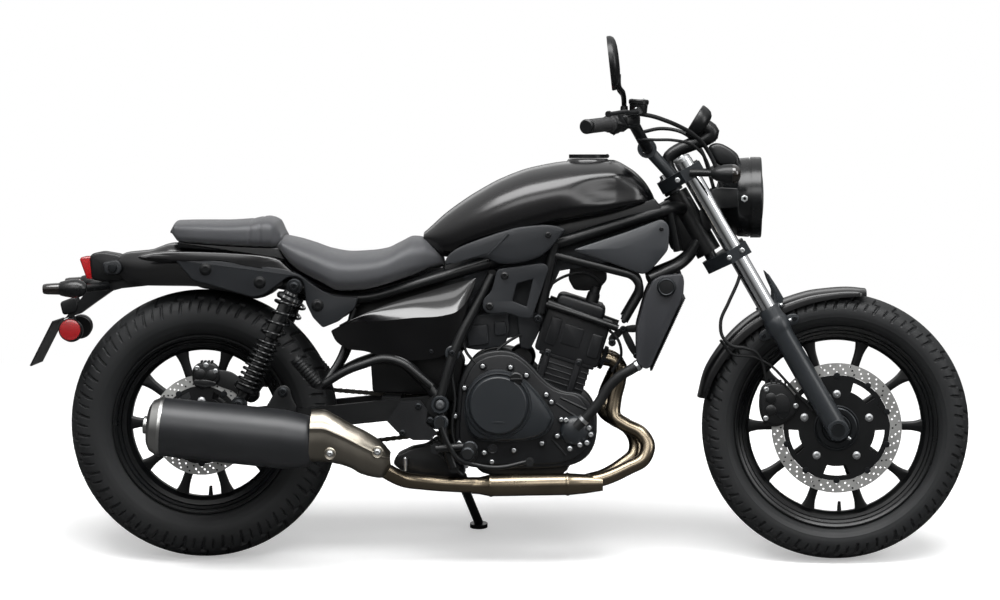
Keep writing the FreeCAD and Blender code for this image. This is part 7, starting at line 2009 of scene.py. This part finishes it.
class Meter:
    """The round meter with its dial, and the cowl ahead of it."""

    centre, axis = np.array([1.1932, 0.0, 1.0452]), np.array([-0.85, 0.0, 0.53])
    cowl = ((1.2093, 0.9891), (1.2357, 1.0023), (1.2685, 0.9858), (1.2896, 0.9664), (1.2869, 0.9256),
            (1.2644, 0.9436), (1.2333, 0.9448))

    def build(self, finishes: Finishes) -> None:
        """Makes the meter's case, face, marks, needle and glass, its stem, and the cowl."""
        case = turned([(-0.017, 0.0), (-0.017, 0.024), (-0.015, 0.031), (-0.008, 0.0385), (0.002, 0.0418),
                       (0.012, 0.043), (0.016, 0.0425), (0.017, 0.0405), (0.0165, 0.0375), (0.012, 0.0365),
                       (0.012, 0.0)], self.centre, self.axis, 64)
        stem = tube(spline([steered(0.018, 0.0, 0.722), steered(0.022, 0.0, 0.75), self.centre - self.axis * 0.03,
                            self.centre - self.axis * 0.012], 20), np.linspace(0.013, 0.02, 20), 20)
        foot = turned([(0.0, 0.0), (0.0, 0.014), (0.02, 0.014), (0.024, 0.01), (0.024, 0.0)],
                      steered(0.018, 0.0, 0.7185), STEER_UP, 24)
        cowl = slab(softened(self.cowl, 2), 0.047, -0.047, 0.009)
        arm = tube([self.centre - self.axis * 0.008 + (0.012, 0, -0.008), (1.222, 0, 1.0)], 0.011, 16)
        make("meter_case", merged([case, stem, foot, cowl, arm]), finishes.moulded_smooth, Body.STEERING,
             replaces=("instrument",), crease=32)
        face = self.centre + self.axis * 0.0123
        side = np.array([0.0, -1.0, 0.0])
        up = np.cross(self.axis / np.linalg.norm(self.axis), side)
        make("meter_face", turned([(0.0, 0.0), (0.0, 0.0362), (0.0006, 0.0362), (0.0006, 0.0)], face, self.axis,
                                  48),
             finishes.dial, Body.STEERING)
        marks = []
        for k in range(25):
            turn = math.radians(210 - 240 * k / 24)
            way = side * math.cos(turn) + up * math.sin(turn)
            long = 0.006 if k % 3 == 0 else 0.0035
            marks.append(set_on(brick(long, 0.0009, 0.0004, 0.0001), face + way * (0.033 - long / 2)
                                + self.axis * 0.0009, way, np.cross(self.axis, way)))
        make("meter_marks", merged(marks), finishes.dial_mark, Body.STEERING)
        rest = math.radians(208)
        way = side * math.cos(rest) + up * math.sin(rest)
        needle = set_on(brick(0.03, 0.0014, 0.0006, 0.0002), face + way * 0.012 + self.axis * 0.0018, way,
                        np.cross(self.axis, way))
        hub = turned([(0.0, 0.0), (0.0, 0.004), (0.002, 0.0035), (0.002, 0.0)], face + self.axis * 0.001, self.axis,
                     20)
        make("meter_needle", needle + hub, finishes.red_button, Body.STEERING)
        pane = turned([(0.0, 0.0), (0.0, 0.0372), (0.0008, 0.0372), (0.0016, 0.03), (0.002, 0.0)],
                      self.centre + self.axis * 0.0152, self.axis, 48)
        # The pane is an opaque grey face: its grey is a painted reflection in place of clear glass
        make("meter_pane", pane, finishes.lamp_glass, Body.STEERING)


class Lamps:
    """The headlight with its bezel, lens, bowl and bulb, its brackets, and the two front signals."""

    centre = np.array([1.32696, 0.0, 0.86877])
    bracket = ((1.2226, 0.8949), (1.2965, 0.8911), (1.3165, 0.8785), (1.3184, 0.8618), (1.3036, 0.8511),
               (1.2607, 0.8437), (1.2273, 0.8451), (1.2154, 0.8713))
    lamp = np.array([1.25096, 0.165, 0.92684])

    def build(self, finishes: Finishes) -> None:
        """Makes the headlight and the signals."""
        shell = turned([(-0.094, 0.0), (-0.093, 0.026), (-0.088, 0.044), (-0.078, 0.062), (-0.064, 0.077),
                        (-0.05, 0.0845), (-0.046, 0.0905), (-0.042, 0.0935), (-0.016, 0.0955), (-0.0155, 0.0935),
                        (-0.012, 0.0935), (-0.0115, 0.0968), (0.011, 0.0968), (0.0135, 0.095), (0.0135, 0.0925),
                        (0.009, 0.0905), (0.0, 0.09), (-0.03, 0.071), (-0.05, 0.04), (-0.056, 0.0)], self.centre,
                       FORWARD, 96)
        make("headlight_shell", shell, finishes.lamp_shell, Body.STEERING, replaces=("headlight",), crease=35)
        bowl = turned([(-0.055, 0.0), (-0.049, 0.039), (-0.03, 0.0698), (0.0, 0.0885), (0.0055, 0.0895),
                       (0.0055, 0.0885), (-0.0005, 0.0872), (-0.03, 0.0685), (-0.0485, 0.038), (-0.0545, 0.0)],
                      self.centre, FORWARD, 96)
        make("headlight_bowl", bowl, finishes.lamp_bowl, Body.STEERING)
        bulb = turned([(-0.054, 0.0), (-0.054, 0.012), (-0.04, 0.011), (-0.036, 0.016), (-0.014, 0.0165),
                       (-0.011, 0.013), (-0.011, 0.0)], self.centre, FORWARD, 32)
        make("headlight_bulb_cap", bulb, finishes.steel, Body.STEERING)
        dome = np.linspace(0, 1, 9)
        outer = list(zip(0.0197 - 0.0105 * dome**2.2, 0.0903 * dome))
        inner = list(zip(0.0172 - 0.0105 * dome**2.2, 0.0893 * dome))
        lens = turned(inner + outer[::-1], self.centre, FORWARD, 96)
        # The lens is an opaque grey face: its grey is a painted reflection in place of clear glass
        make("headlight_lens", lens, finishes.lamp_glass, Body.STEERING)
        arm = slab(softened(self.bracket, 1), -0.0815, -0.0885, 0.002)
        make("headlight_brackets", arm.both_sides(), finishes.frame_powder, Body.STEERING)
        heads = bolt(spread((1.2981, 0.8675), -0.088), 0.011, 0.008, hexed=True)
        make("headlight_bolts", heads.both_sides(), finishes.zinc, Body.STEERING)
        shells, lenses = [], []
        for side in SIDES:
            place = self.lamp * (1, side, 1)
            shells.append(turned([(-0.036, 0.0), (-0.036, 0.006), (-0.031, 0.0115), (-0.02, 0.0175),
                                  (-0.004, 0.0218), (0.012, 0.0228), (0.0155, 0.0226), (0.0155, 0.0)], place,
                                 FORWARD, 40))
            lenses.append(turned([(0.0157, 0.0), (0.0157, 0.0224), (0.021, 0.022), (0.027, 0.0198), (0.032, 0.0155),
                                  (0.035, 0.009), (0.036, 0.0)], place, FORWARD, 40))
            root = steered(0.055, side * 0.138, 0.703)
            shells.append(tube(spline([root, root + (0.025, side * 0.008, 0.0), place - (0.012, 0, 0)], 12),
                               np.linspace(0.0095, 0.0075, 12), 16))
        make("front_signal_shells", merged(shells), finishes.moulded_smooth, Body.STEERING,
             replaces=("front_signals",), crease=35)
        make("front_signal_lenses", merged(lenses), finishes.smoke_lens, Body.STEERING)


class Lines:
    """Cables and hoses from the bars to the lamp and the brake, each one smooth tube."""

    routes = (
        (0.0052, (((1.0358, 1.0685), -0.24), ((1.0570, 1.0662), -0.228), ((1.0806, 1.0616), -0.212),
                  ((1.1090, 1.0522), -0.195), ((1.1377, 1.0405), -0.16), ((1.1754, 1.0192), -0.11),
                  ((1.2054, 0.9898), -0.07), ((1.2279, 0.9497), -0.055), ((1.2473, 0.8875), -0.05),
                  ((1.2667, 0.8275), -0.045))),
        (0.0036, (((1.0440, 1.0081), -0.15), ((1.0861, 1.0069), -0.125), ((1.1267, 1.0061), -0.105),
                  ((1.1761, 0.9929), -0.075), ((1.2016, 0.9689), -0.06), ((1.2236, 0.9161), -0.05))),
        (0.0045, (((1.0526, 1.0237), 0.15), ((1.1015, 1.0335), 0.13), ((1.1596, 1.0213), 0.1),
                  ((1.1980, 0.9824), 0.07),
                  ((1.2193, 0.9219), 0.05), ((1.2357, 0.8616), 0.045))),
        (0.0032, (((1.2412, 0.5313), -0.105), ((1.2689, 0.4980), -0.095), ((1.3224, 0.4898), -0.09),
                  ((1.3605, 0.4706), -0.087), ((1.3990, 0.4321), -0.088), ((1.4372, 0.3899), -0.09),
                  ((1.4626, 0.3636), -0.092))),
    )
    hose = (((1.3031, 0.7169), -0.1), ((1.2911, 0.6980), -0.108), ((1.2827, 0.6719), -0.112),
            ((1.2600, 0.6206), -0.114), ((1.2417, 0.5750), -0.115),
            ((1.2457, 0.5412), -0.114), ((1.2685, 0.5179), -0.11), ((1.2985, 0.5124), -0.102),
            ((1.3260, 0.5019), -0.094),
            ((1.3415, 0.4786), -0.086), ((1.3493, 0.4463), -0.08), ((1.3567, 0.4077), -0.074))

    def build(self, finishes: Finishes) -> None:
        """Makes the cables and the brake hose with its end fittings."""
        cords = [tube(spline([spread(p, y) for p, y in route], 60), radius, 12) for radius, route in self.routes]
        make("bar_cables", merged(cords), finishes.rubber, Body.STEERING)
        path = spline([spread(p, y) for p, y in self.hose], 90)
        make("brake_hose_skin", tube(path, 0.0042, 14), finishes.rubber, Body.STEERING, replaces=("front_hose",))
        sleeve = [(0.0, 0.0), (0.0, 0.0058), (0.018, 0.0058), (0.02, 0.0)]
        ends = [turned(sleeve, path[0], path[3] - path[0], 16), turned(sleeve, path[-1], path[-4] - path[-1], 16),
                bolt(path[-1] + (0, -0.006, 0), 0.0075, 0.006, hexed=True),
                turned([(-0.005, 0.0), (-0.005, 0.0095), (0.005, 0.0095), (0.005, 0.0)], path[-1], TO_LEFT, 20)]
        make("brake_hose_fittings", merged(ends), finishes.zinc, Body.STEERING)


class Calipers:
    """Both brake calipers: ribbed bodies over the discs' edges, covers, pins and bolts."""

    front = ((1.3364, 0.4197), (1.3615, 0.4328), (1.3925, 0.4280), (1.4128, 0.4077), (1.4272, 0.3862),
             (1.4260, 0.3576), (1.4021, 0.3337), (1.3758, 0.3217), (1.3472, 0.3277), (1.3328, 0.3623))
    front_cover = ((1.3684, 0.3938), (1.3875, 0.4057), (1.4078, 0.3938), (1.4090, 0.3556), (1.3923, 0.3389),
                   (1.3720, 0.3508))
    rear = ((-0.0225, 0.4555), (-0.0094, 0.4722), (0.0169, 0.4782), (0.0408, 0.4674), (0.0491, 0.4412),
            (0.0408, 0.4197), (0.0121, 0.4113), (-0.0189, 0.4149))
    rear_cover = ((-0.0219, 0.4355), (0.0413, 0.4296), (0.0306, 0.4143), (-0.0136, 0.4164))

    def build_one(self, name: str, outline: tuple[Pair, ...], cover: tuple[Pair, ...], body: Body,
                  holes: tuple[Pair, ...], pistons: tuple[Pair, ...], finishes: Finishes) -> None:
        """Makes one caliper, which replaces the node of its name.

        Args:
            name: the node's name, from which its pieces are named.
            outline: its body in side view.
            cover: the smaller plate on its face.
            body: what it rides on.
            holes: where its bolts are.
            pistons: where its piston caps are.
            finishes: the materials.
        """
        around = softened(outline, 2)
        middle = around.mean(axis=0)
        halves = [slab(around, -0.0745, -0.0853, 0.004),
                  slab(middle + (around - middle) * 0.96, -0.0657, -0.055, 0.003),
                  slab(middle + (around - middle) * 0.9, -0.084, -0.0868, 0.002)]
        for x, z in pistons:
            halves.append(turned([(0.0, 0.0), (0.0, 0.0135), (0.003, 0.013), (0.0045, 0.0105), (0.004, 0.0)],
                                 (x, -0.0862, z), TO_RIGHT, 28))
        low = around.min(axis=0)
        size = around.max(axis=0) - low
        for share in (0.3, 0.42, 0.54, 0.66):
            x, foot, crest = low[0] + size[0] * share, low[1] + size[1] * 0.86, low[1] + size[1] * 1.03
            halves.append(slab([(x, foot), (x + 0.004, foot), (x + 0.004, crest), (x, crest)], -0.0855, -0.058,
                               0.0008))
        make(name + "_skin", merged(halves), finishes.caliper, body, replaces=(name,), crease=35)
        make(name + "_cover", slab(softened(cover, 2), -0.086, -0.0885, 0.0012), finishes.shock, body)
        heads = [bolt((x, -0.0865, z), 0.0062, 0.006) for x, z in holes]
        make(name + "_bolts", merged(heads), finishes.zinc, body)

    def build(self, finishes: Finishes) -> None:
        """Makes both calipers."""
        self.build_one("front_caliper", self.front, self.front_cover, Body.STEERING,
                       ((1.4221, 0.3735), (1.3517, 0.4129), (1.3505, 0.3436)), ((1.3625, 0.3914), (1.3625, 0.3627)),
                       finishes)
        self.build_one("rear_caliper", self.rear, self.rear_cover, Body.ROOT,
                       ((-0.0088, 0.4606), (0.0354, 0.4534), (0.0127, 0.4678)),
                       ((-0.0016, 0.4463), (0.0270, 0.4439)), finishes)
        arm = cornered(((0.0312, 0.4579), (0.0718, 0.4531), (0.1029, 0.4316), (0.1148, 0.3982), (0.0957, 0.3838),
                        (0.0790, 0.4053), (0.0480, 0.4149), (0.0288, 0.4244)), 0.012)
        make("rear_caliper_arm", slab(arm, -0.0765, -0.083, 0.002), finishes.caliper, Body.ROOT)


class Feet:
    """Ribbed pegs and pedal pads, and the bolts of the plates that carry them."""

    peg: Pair = (0.6506, 0.2815)
    pads = (((0.7904, 0.2484), RIGHT), ((0.7478, 0.2573), LEFT))
    plate_bolts = ((0.5255, 0.3760), (0.4876, 0.3122), (0.5538, 0.3429))

    def build(self, finishes: Finishes) -> None:
        """Makes the rubbers and the bolts."""
        rubbers, ends = [], []
        for side in SIDES:
            rubbers.append(ribbed(spread(self.peg, side * 0.236), spread(self.peg, side * 0.362),
                                  0.0135, 0.0158, 12))
            ends.append(turned([(0.0, 0.0), (0.0, 0.0162), (0.007, 0.0155), (0.0095, 0.012), (0.0098, 0.0)],
                               spread(self.peg, side * 0.361), (0, side, 0), 28))
            ends.append(turned([(0.0, 0.0), (0.0, 0.0185), (0.012, 0.0185), (0.014, 0.016), (0.014, 0.0)],
                               spread(self.peg, side * 0.223), (0, side, 0), 28))
            low, high = np.array([0.2873, side * 0.165, 0.4278]), np.array([0.2326, side * 0.165, 0.4895])
            rubbers.append(ribbed(low + (high - low) * 0.04, low + (high - low) * 0.96, 0.0128, 0.015, 9))
            for share in (0.18, 0.82):
                ends.append(bolt(low + (high - low) * share + (0, side * 0.0125, 0), 0.004, 0.003, (0, side, 0)))
        for place, side in self.pads:
            rubbers.append(ribbed(spread(place, side * 0.183), spread(place, side * 0.222), 0.0085, 0.0098, 6))
        make("peg_rubbers", merged(rubbers), finishes.rubber, Body.ROOT)
        for place in self.plate_bolts:
            ends += [bolt(spread(place, side * 0.1605), 0.0085, 0.006, (0, side, 0)) for side in SIDES]
        make("peg_ends", merged(ends), finishes.dark_bolt, Body.ROOT)


class FrameBolts:
    """Bolts, bosses and straps where engine, covers and plates meet the frame, and the brake pedal's linkage."""

    heads = (((0.8085, 0.5823), 0.122, 0.011), ((0.9842, 0.5244), 0.1, 0.009), ((0.6052, 0.5004), 0.141, 0.0085),
             ((1.0103, 0.5563), 0.098, 0.0085), ((1.0674, 0.5601), 0.1, 0.007), ((1.0413, 0.4935), 0.1, 0.007))
    pivot = (0.5768, 0.3796)
    straps = (((1.0104, 0.5560), (1.0675, 0.5596)), ((1.0104, 0.5560), (1.0413, 0.4929)),
              ((0.9770, 0.5286), (1.0104, 0.5560)))
    strap_half: float = 0.009

    def build(self, finishes: Finishes) -> None:
        """Makes the bolts, the pivot's cap, rings and links, the linkage, and the bracket by the radiator."""
        bolts = [bolt((x, -reach, z), radius, 0.008, hexed=radius > 0.01) for (x, z), reach, radius in self.heads]
        hub = spread(self.pivot, -0.158)
        cap = turned([(0.0, 0.0), (0.0, 0.0115), (0.004, 0.0115), (0.007, 0.0095), (0.0075, 0.005), (0.006, 0.0045),
                      (0.006, 0.0)], hub, TO_RIGHT, 32)
        make("pivot_cap", cap, finishes.steel, Body.ROOT)
        ring = turned([(-0.006, 0.0), (-0.006, 0.0215), (0.001, 0.0215), (0.004, 0.0195), (0.004, 0.0155),
                       (0.001, 0.0135), (0.0, 0.0)], hub, TO_RIGHT, 40)
        for (x, z), reach in (((0.5782, 0.3374), -0.152), ((0.6052, 0.5004), -0.132)):
            ring += turned([(-0.02, 0.0), (-0.02, 0.018), (0.004, 0.018), (0.006, 0.0155), (0.006, 0.011),
                            (0.003, 0.009), (0.003, 0.0)], (x, reach, z), TO_RIGHT, 36)
        make("pivot_rings", ring.both_sides(), finishes.slider, Body.ROOT)
        make("frame_bolts", merged(bolts), finishes.dark_bolt, Body.ROOT)
        places = ((0.4666, 0.4885), (0.4856, 0.4802), (0.5055, 0.4636), (0.5245, 0.4446), (0.5437, 0.4258),
                  (0.5760, 0.3880))
        path = spline([spread(p, -y) for p, y in zip(places, (0.12, 0.121, 0.123, 0.125, 0.127, 0.131))], 40)
        link = tube(path, 0.0132, 20)
        make("pivot_links", link.both_sides(), finishes.frame_powder, Body.ROOT)
        rods = [tube(spline([spread(p, -0.141) for p in ((0.5836, 0.3271), (0.5907, 0.2939), (0.6050, 0.2607),
                                                         (0.6287, 0.2370))],
                            24), 0.0052, 14),
                tube(np.array([spread((0.5526, 0.2816), -0.132), spread((0.6284, 0.2105), -0.132)]), 0.0042, 12)]
        make("pedal_linkage", merged(rods), finishes.lever, Body.ROOT)
        switch = turned([(0.0, 0.0), (0.0, 0.005), (0.012, 0.005), (0.013, 0.0065), (0.03, 0.0065), (0.034, 0.003),
                         (0.034, 0.0)], spread((0.4909, 0.2162), -0.093), UPWARD, 16)
        make("brake_lamp_switch", switch, finishes.zinc, Body.ROOT)
        straps = []
        for start, end in self.straps:
            low, high = np.array(start), np.array(end)
            way = high - low
            across = np.array([-way[1], way[0]]) / float(np.linalg.norm(way)) * self.strap_half
            corners = [low - across, high - across, high + across, low + across]
            straps.append(slab(softened(corners, 2), -0.088, -0.093, 0.001))
        make("radiator_bracket", merged(straps), finishes.frame_powder, Body.ROOT)


ASSEMBLIES: tuple[type, ...] = (Tank, Seats, Bodywork, Covers, Inners, RearFender, Tail, RunningGear, Engine,
                                Cooling, Fork,
                                Controls, Mirrors, Meter, Lamps, Lines, Calipers, Feet, FrameBolts)


@dataclass(frozen=True)
class SoftBox:
    """A rectangular lamp: where it hangs, where it looks, its size and its power in watts."""

    name: str
    place: Triple
    target: Triple
    size: Pair
    power: float

    def build(self) -> None:
        """Adds the lamp, turned to look at its target."""
        light = bpy.data.lights.new(self.name, "AREA")
        light.shape = "RECTANGLE"
        light.size, light.size_y = self.size
        light.energy = self.power
        lamp = placed(self.name, light)
        lamp.location = Vector(STANCE.place(np.array(self.place)))
        lamp.rotation_euler = (Vector(self.place) - Vector(self.target)).to_track_quat("Z", "Y").to_euler()


@dataclass
class Studio:
    """Camera, lamps, world and floor.

    The camera stands where the photograph's did, in the machine's own upright frame, and leans with it.
    """

    eye: Triple = (0.991, -8.70, 1.031)
    aim: Triple = (0.714, 0.0, 0.621)
    view_width: float = 2.409
    sensor: float = 36.0
    far_clip: float = 60.0
    floor_half: float = 30.0
    floor_paint: str = "#e9e9e9"
    floor_mirrored: str = "#4c4c4c"
    floor_glow: float = 0.36
    shade_ends: Pair = (1.3, 2.4)
    world_plain: float = 0.32
    world_grade: Pair = (0.1, 0.95)
    world_heights: Pair = (-0.05, 0.75)
    boxes: tuple[SoftBox, ...] = (
        SoftBox("box_above", (0.75, -1.5, 3.5), (0.75, 0.0, 0.5), (4.6, 1.8), 255.0),
        SoftBox("box_before", (0.4, -5.3, 3.0), (0.7, 0.0, 0.6), (5.0, 1.4), 82.0),
        SoftBox("box_ahead", (4.6, -1.8, 1.8), (1.2, 0.0, 0.7), (1.4, 2.2), 45.0),
        SoftBox("box_behind", (0.3, 4.2, 2.6), (0.7, 0.0, 0.6), (4.0, 1.4), 16.0))

    def build(self) -> None:
        """Adds the camera, the floor, the lamps and the world."""
        self.add_camera()
        self.add_floor()
        for box in self.boxes:
            box.build()
        self.add_world()

    def add_camera(self) -> None:
        """Adds the camera, turned so that the machine's upright axis is upright in the picture."""
        eye, aim, top = STANCE.place(np.array([self.eye, self.aim, (self.aim[0], 0.0, self.aim[2] + 1.0)]))
        away = eye - aim
        distance = float(np.linalg.norm(away))
        back = away / distance
        right = np.cross(top - aim, back)
        right /= np.linalg.norm(right)
        up = np.cross(back, right)
        lens = bpy.data.cameras.new("studio_camera")
        lens.sensor_width = self.sensor
        lens.lens = self.sensor * distance / self.view_width
        lens.clip_end = self.far_clip
        camera = placed("studio_camera", lens)
        turn = np.eye(4)
        turn[:3, 0], turn[:3, 1], turn[:3, 2], turn[:3, 3] = right, up, back, eye
        camera.matrix_world = Matrix(turn.tolist())
        bpy.context.scene.camera = camera

    def add_floor(self) -> None:
        """Adds the pale floor: white to the eye, shaded under the machine, and dim in what the paint mirrors."""
        mesh = bpy.data.meshes.new("floor")
        corner = self.floor_half
        mesh.from_pydata([(-corner, -corner, 0), (corner, -corner, 0), (corner, corner, 0), (-corner, corner, 0)],
                         [], [(0, 1, 2, 3)])
        floor = placed("floor", mesh)
        material, tree = blank_material("floor_painted_white")
        paint = add_node(tree, "ShaderNodeBsdfDiffuse", inputs={"Color": linear(self.floor_paint)})
        glow = add_node(tree, "ShaderNodeEmission", inputs={"Color": (1, 1, 1, 1), "Strength": self.floor_glow})
        white = add_node(tree, "ShaderNodeEmission", inputs={"Color": (1, 1, 1, 1), "Strength": 1.0})
        dim = add_node(tree, "ShaderNodeBsdfDiffuse", inputs={"Color": linear(self.floor_mirrored)})
        place = add_node(tree, "ShaderNodeTexCoord")
        away = add_node(tree, "ShaderNodeVectorMath", {"operation": "LENGTH"}, {0: place.outputs["Object"]})
        fade = add_node(tree, "ShaderNodeMapRange", {"interpolation_type": "SMOOTHSTEP"}, {
            "Value": away.outputs["Value"], "From Min": self.shade_ends[0], "From Max": self.shade_ends[1]})
        path = add_node(tree, "ShaderNodeLightPath")
        near = add_node(tree, "ShaderNodeAddShader", inputs={0: paint.outputs[0], 1: glow.outputs[0]})
        shown = add_node(tree, "ShaderNodeMixShader", inputs={
            0: fade.outputs["Result"], 1: near.outputs[0], 2: white.outputs[0]})
        mirrored = add_node(tree, "ShaderNodeMixShader", inputs={
            0: path.outputs["Is Glossy Ray"], 1: paint.outputs[0], 2: dim.outputs[0]})
        surface = add_node(tree, "ShaderNodeMixShader", inputs={
            0: seen_rays(tree, path), 1: mirrored.outputs[0], 2: shown.outputs[0]})
        add_node(tree, "ShaderNodeOutputMaterial", inputs={"Surface": surface.outputs[0]})
        mesh.materials.append(material)

    def add_world(self) -> None:
        """Adds the world: white where it is seen, and graded from a bright top to a dim floor in reflections."""
        world = bpy.data.worlds.new("studio_world")
        bpy.context.scene.world = world
        world.use_nodes = True
        tree = world.node_tree
        tree.nodes.clear()
        way = add_node(tree, "ShaderNodeTexCoord").outputs["Generated"]
        parts = add_node(tree, "ShaderNodeSeparateXYZ", inputs={0: way})
        ramp = add_node(tree, "ShaderNodeMapRange", {"interpolation_type": "SMOOTHSTEP"}, {
            "Value": parts.outputs[2], "From Min": self.world_heights[0], "From Max": self.world_heights[1],
            "To Min": self.world_grade[0], "To Max": self.world_grade[1]})
        path = add_node(tree, "ShaderNodeLightPath")
        plain = add_node(tree, "ShaderNodeMix", {"data_type": "FLOAT"}, {
            0: path.outputs["Is Glossy Ray"], 2: self.world_plain, 3: ramp.outputs[0]})
        strength = add_node(tree, "ShaderNodeMix", {"data_type": "FLOAT"}, {
            0: seen_rays(tree, path), 2: plain.outputs[0], 3: 1.0})
        light = add_node(tree, "ShaderNodeBackground", inputs={
            "Color": (1, 1, 1, 1), "Strength": strength.outputs[0]})
        add_node(tree, "ShaderNodeOutputWorld", inputs={"Surface": light.outputs[0]})
        bpy.context.scene.view_settings.view_transform = "Standard"


def main() -> None:
    """Builds the studio, dresses the frame and adds every sub-assembly in turn."""
    logging.basicConfig(level=logging.INFO, format="%(message)s")
    Studio().build()
    finishes = Finishes()
    dress_frame(finishes)
    for assembly in ASSEMBLIES:
        log.info("building %s", assembly.__name__)
        assembly().build(finishes)


if __name__ == "__main__":
    main()
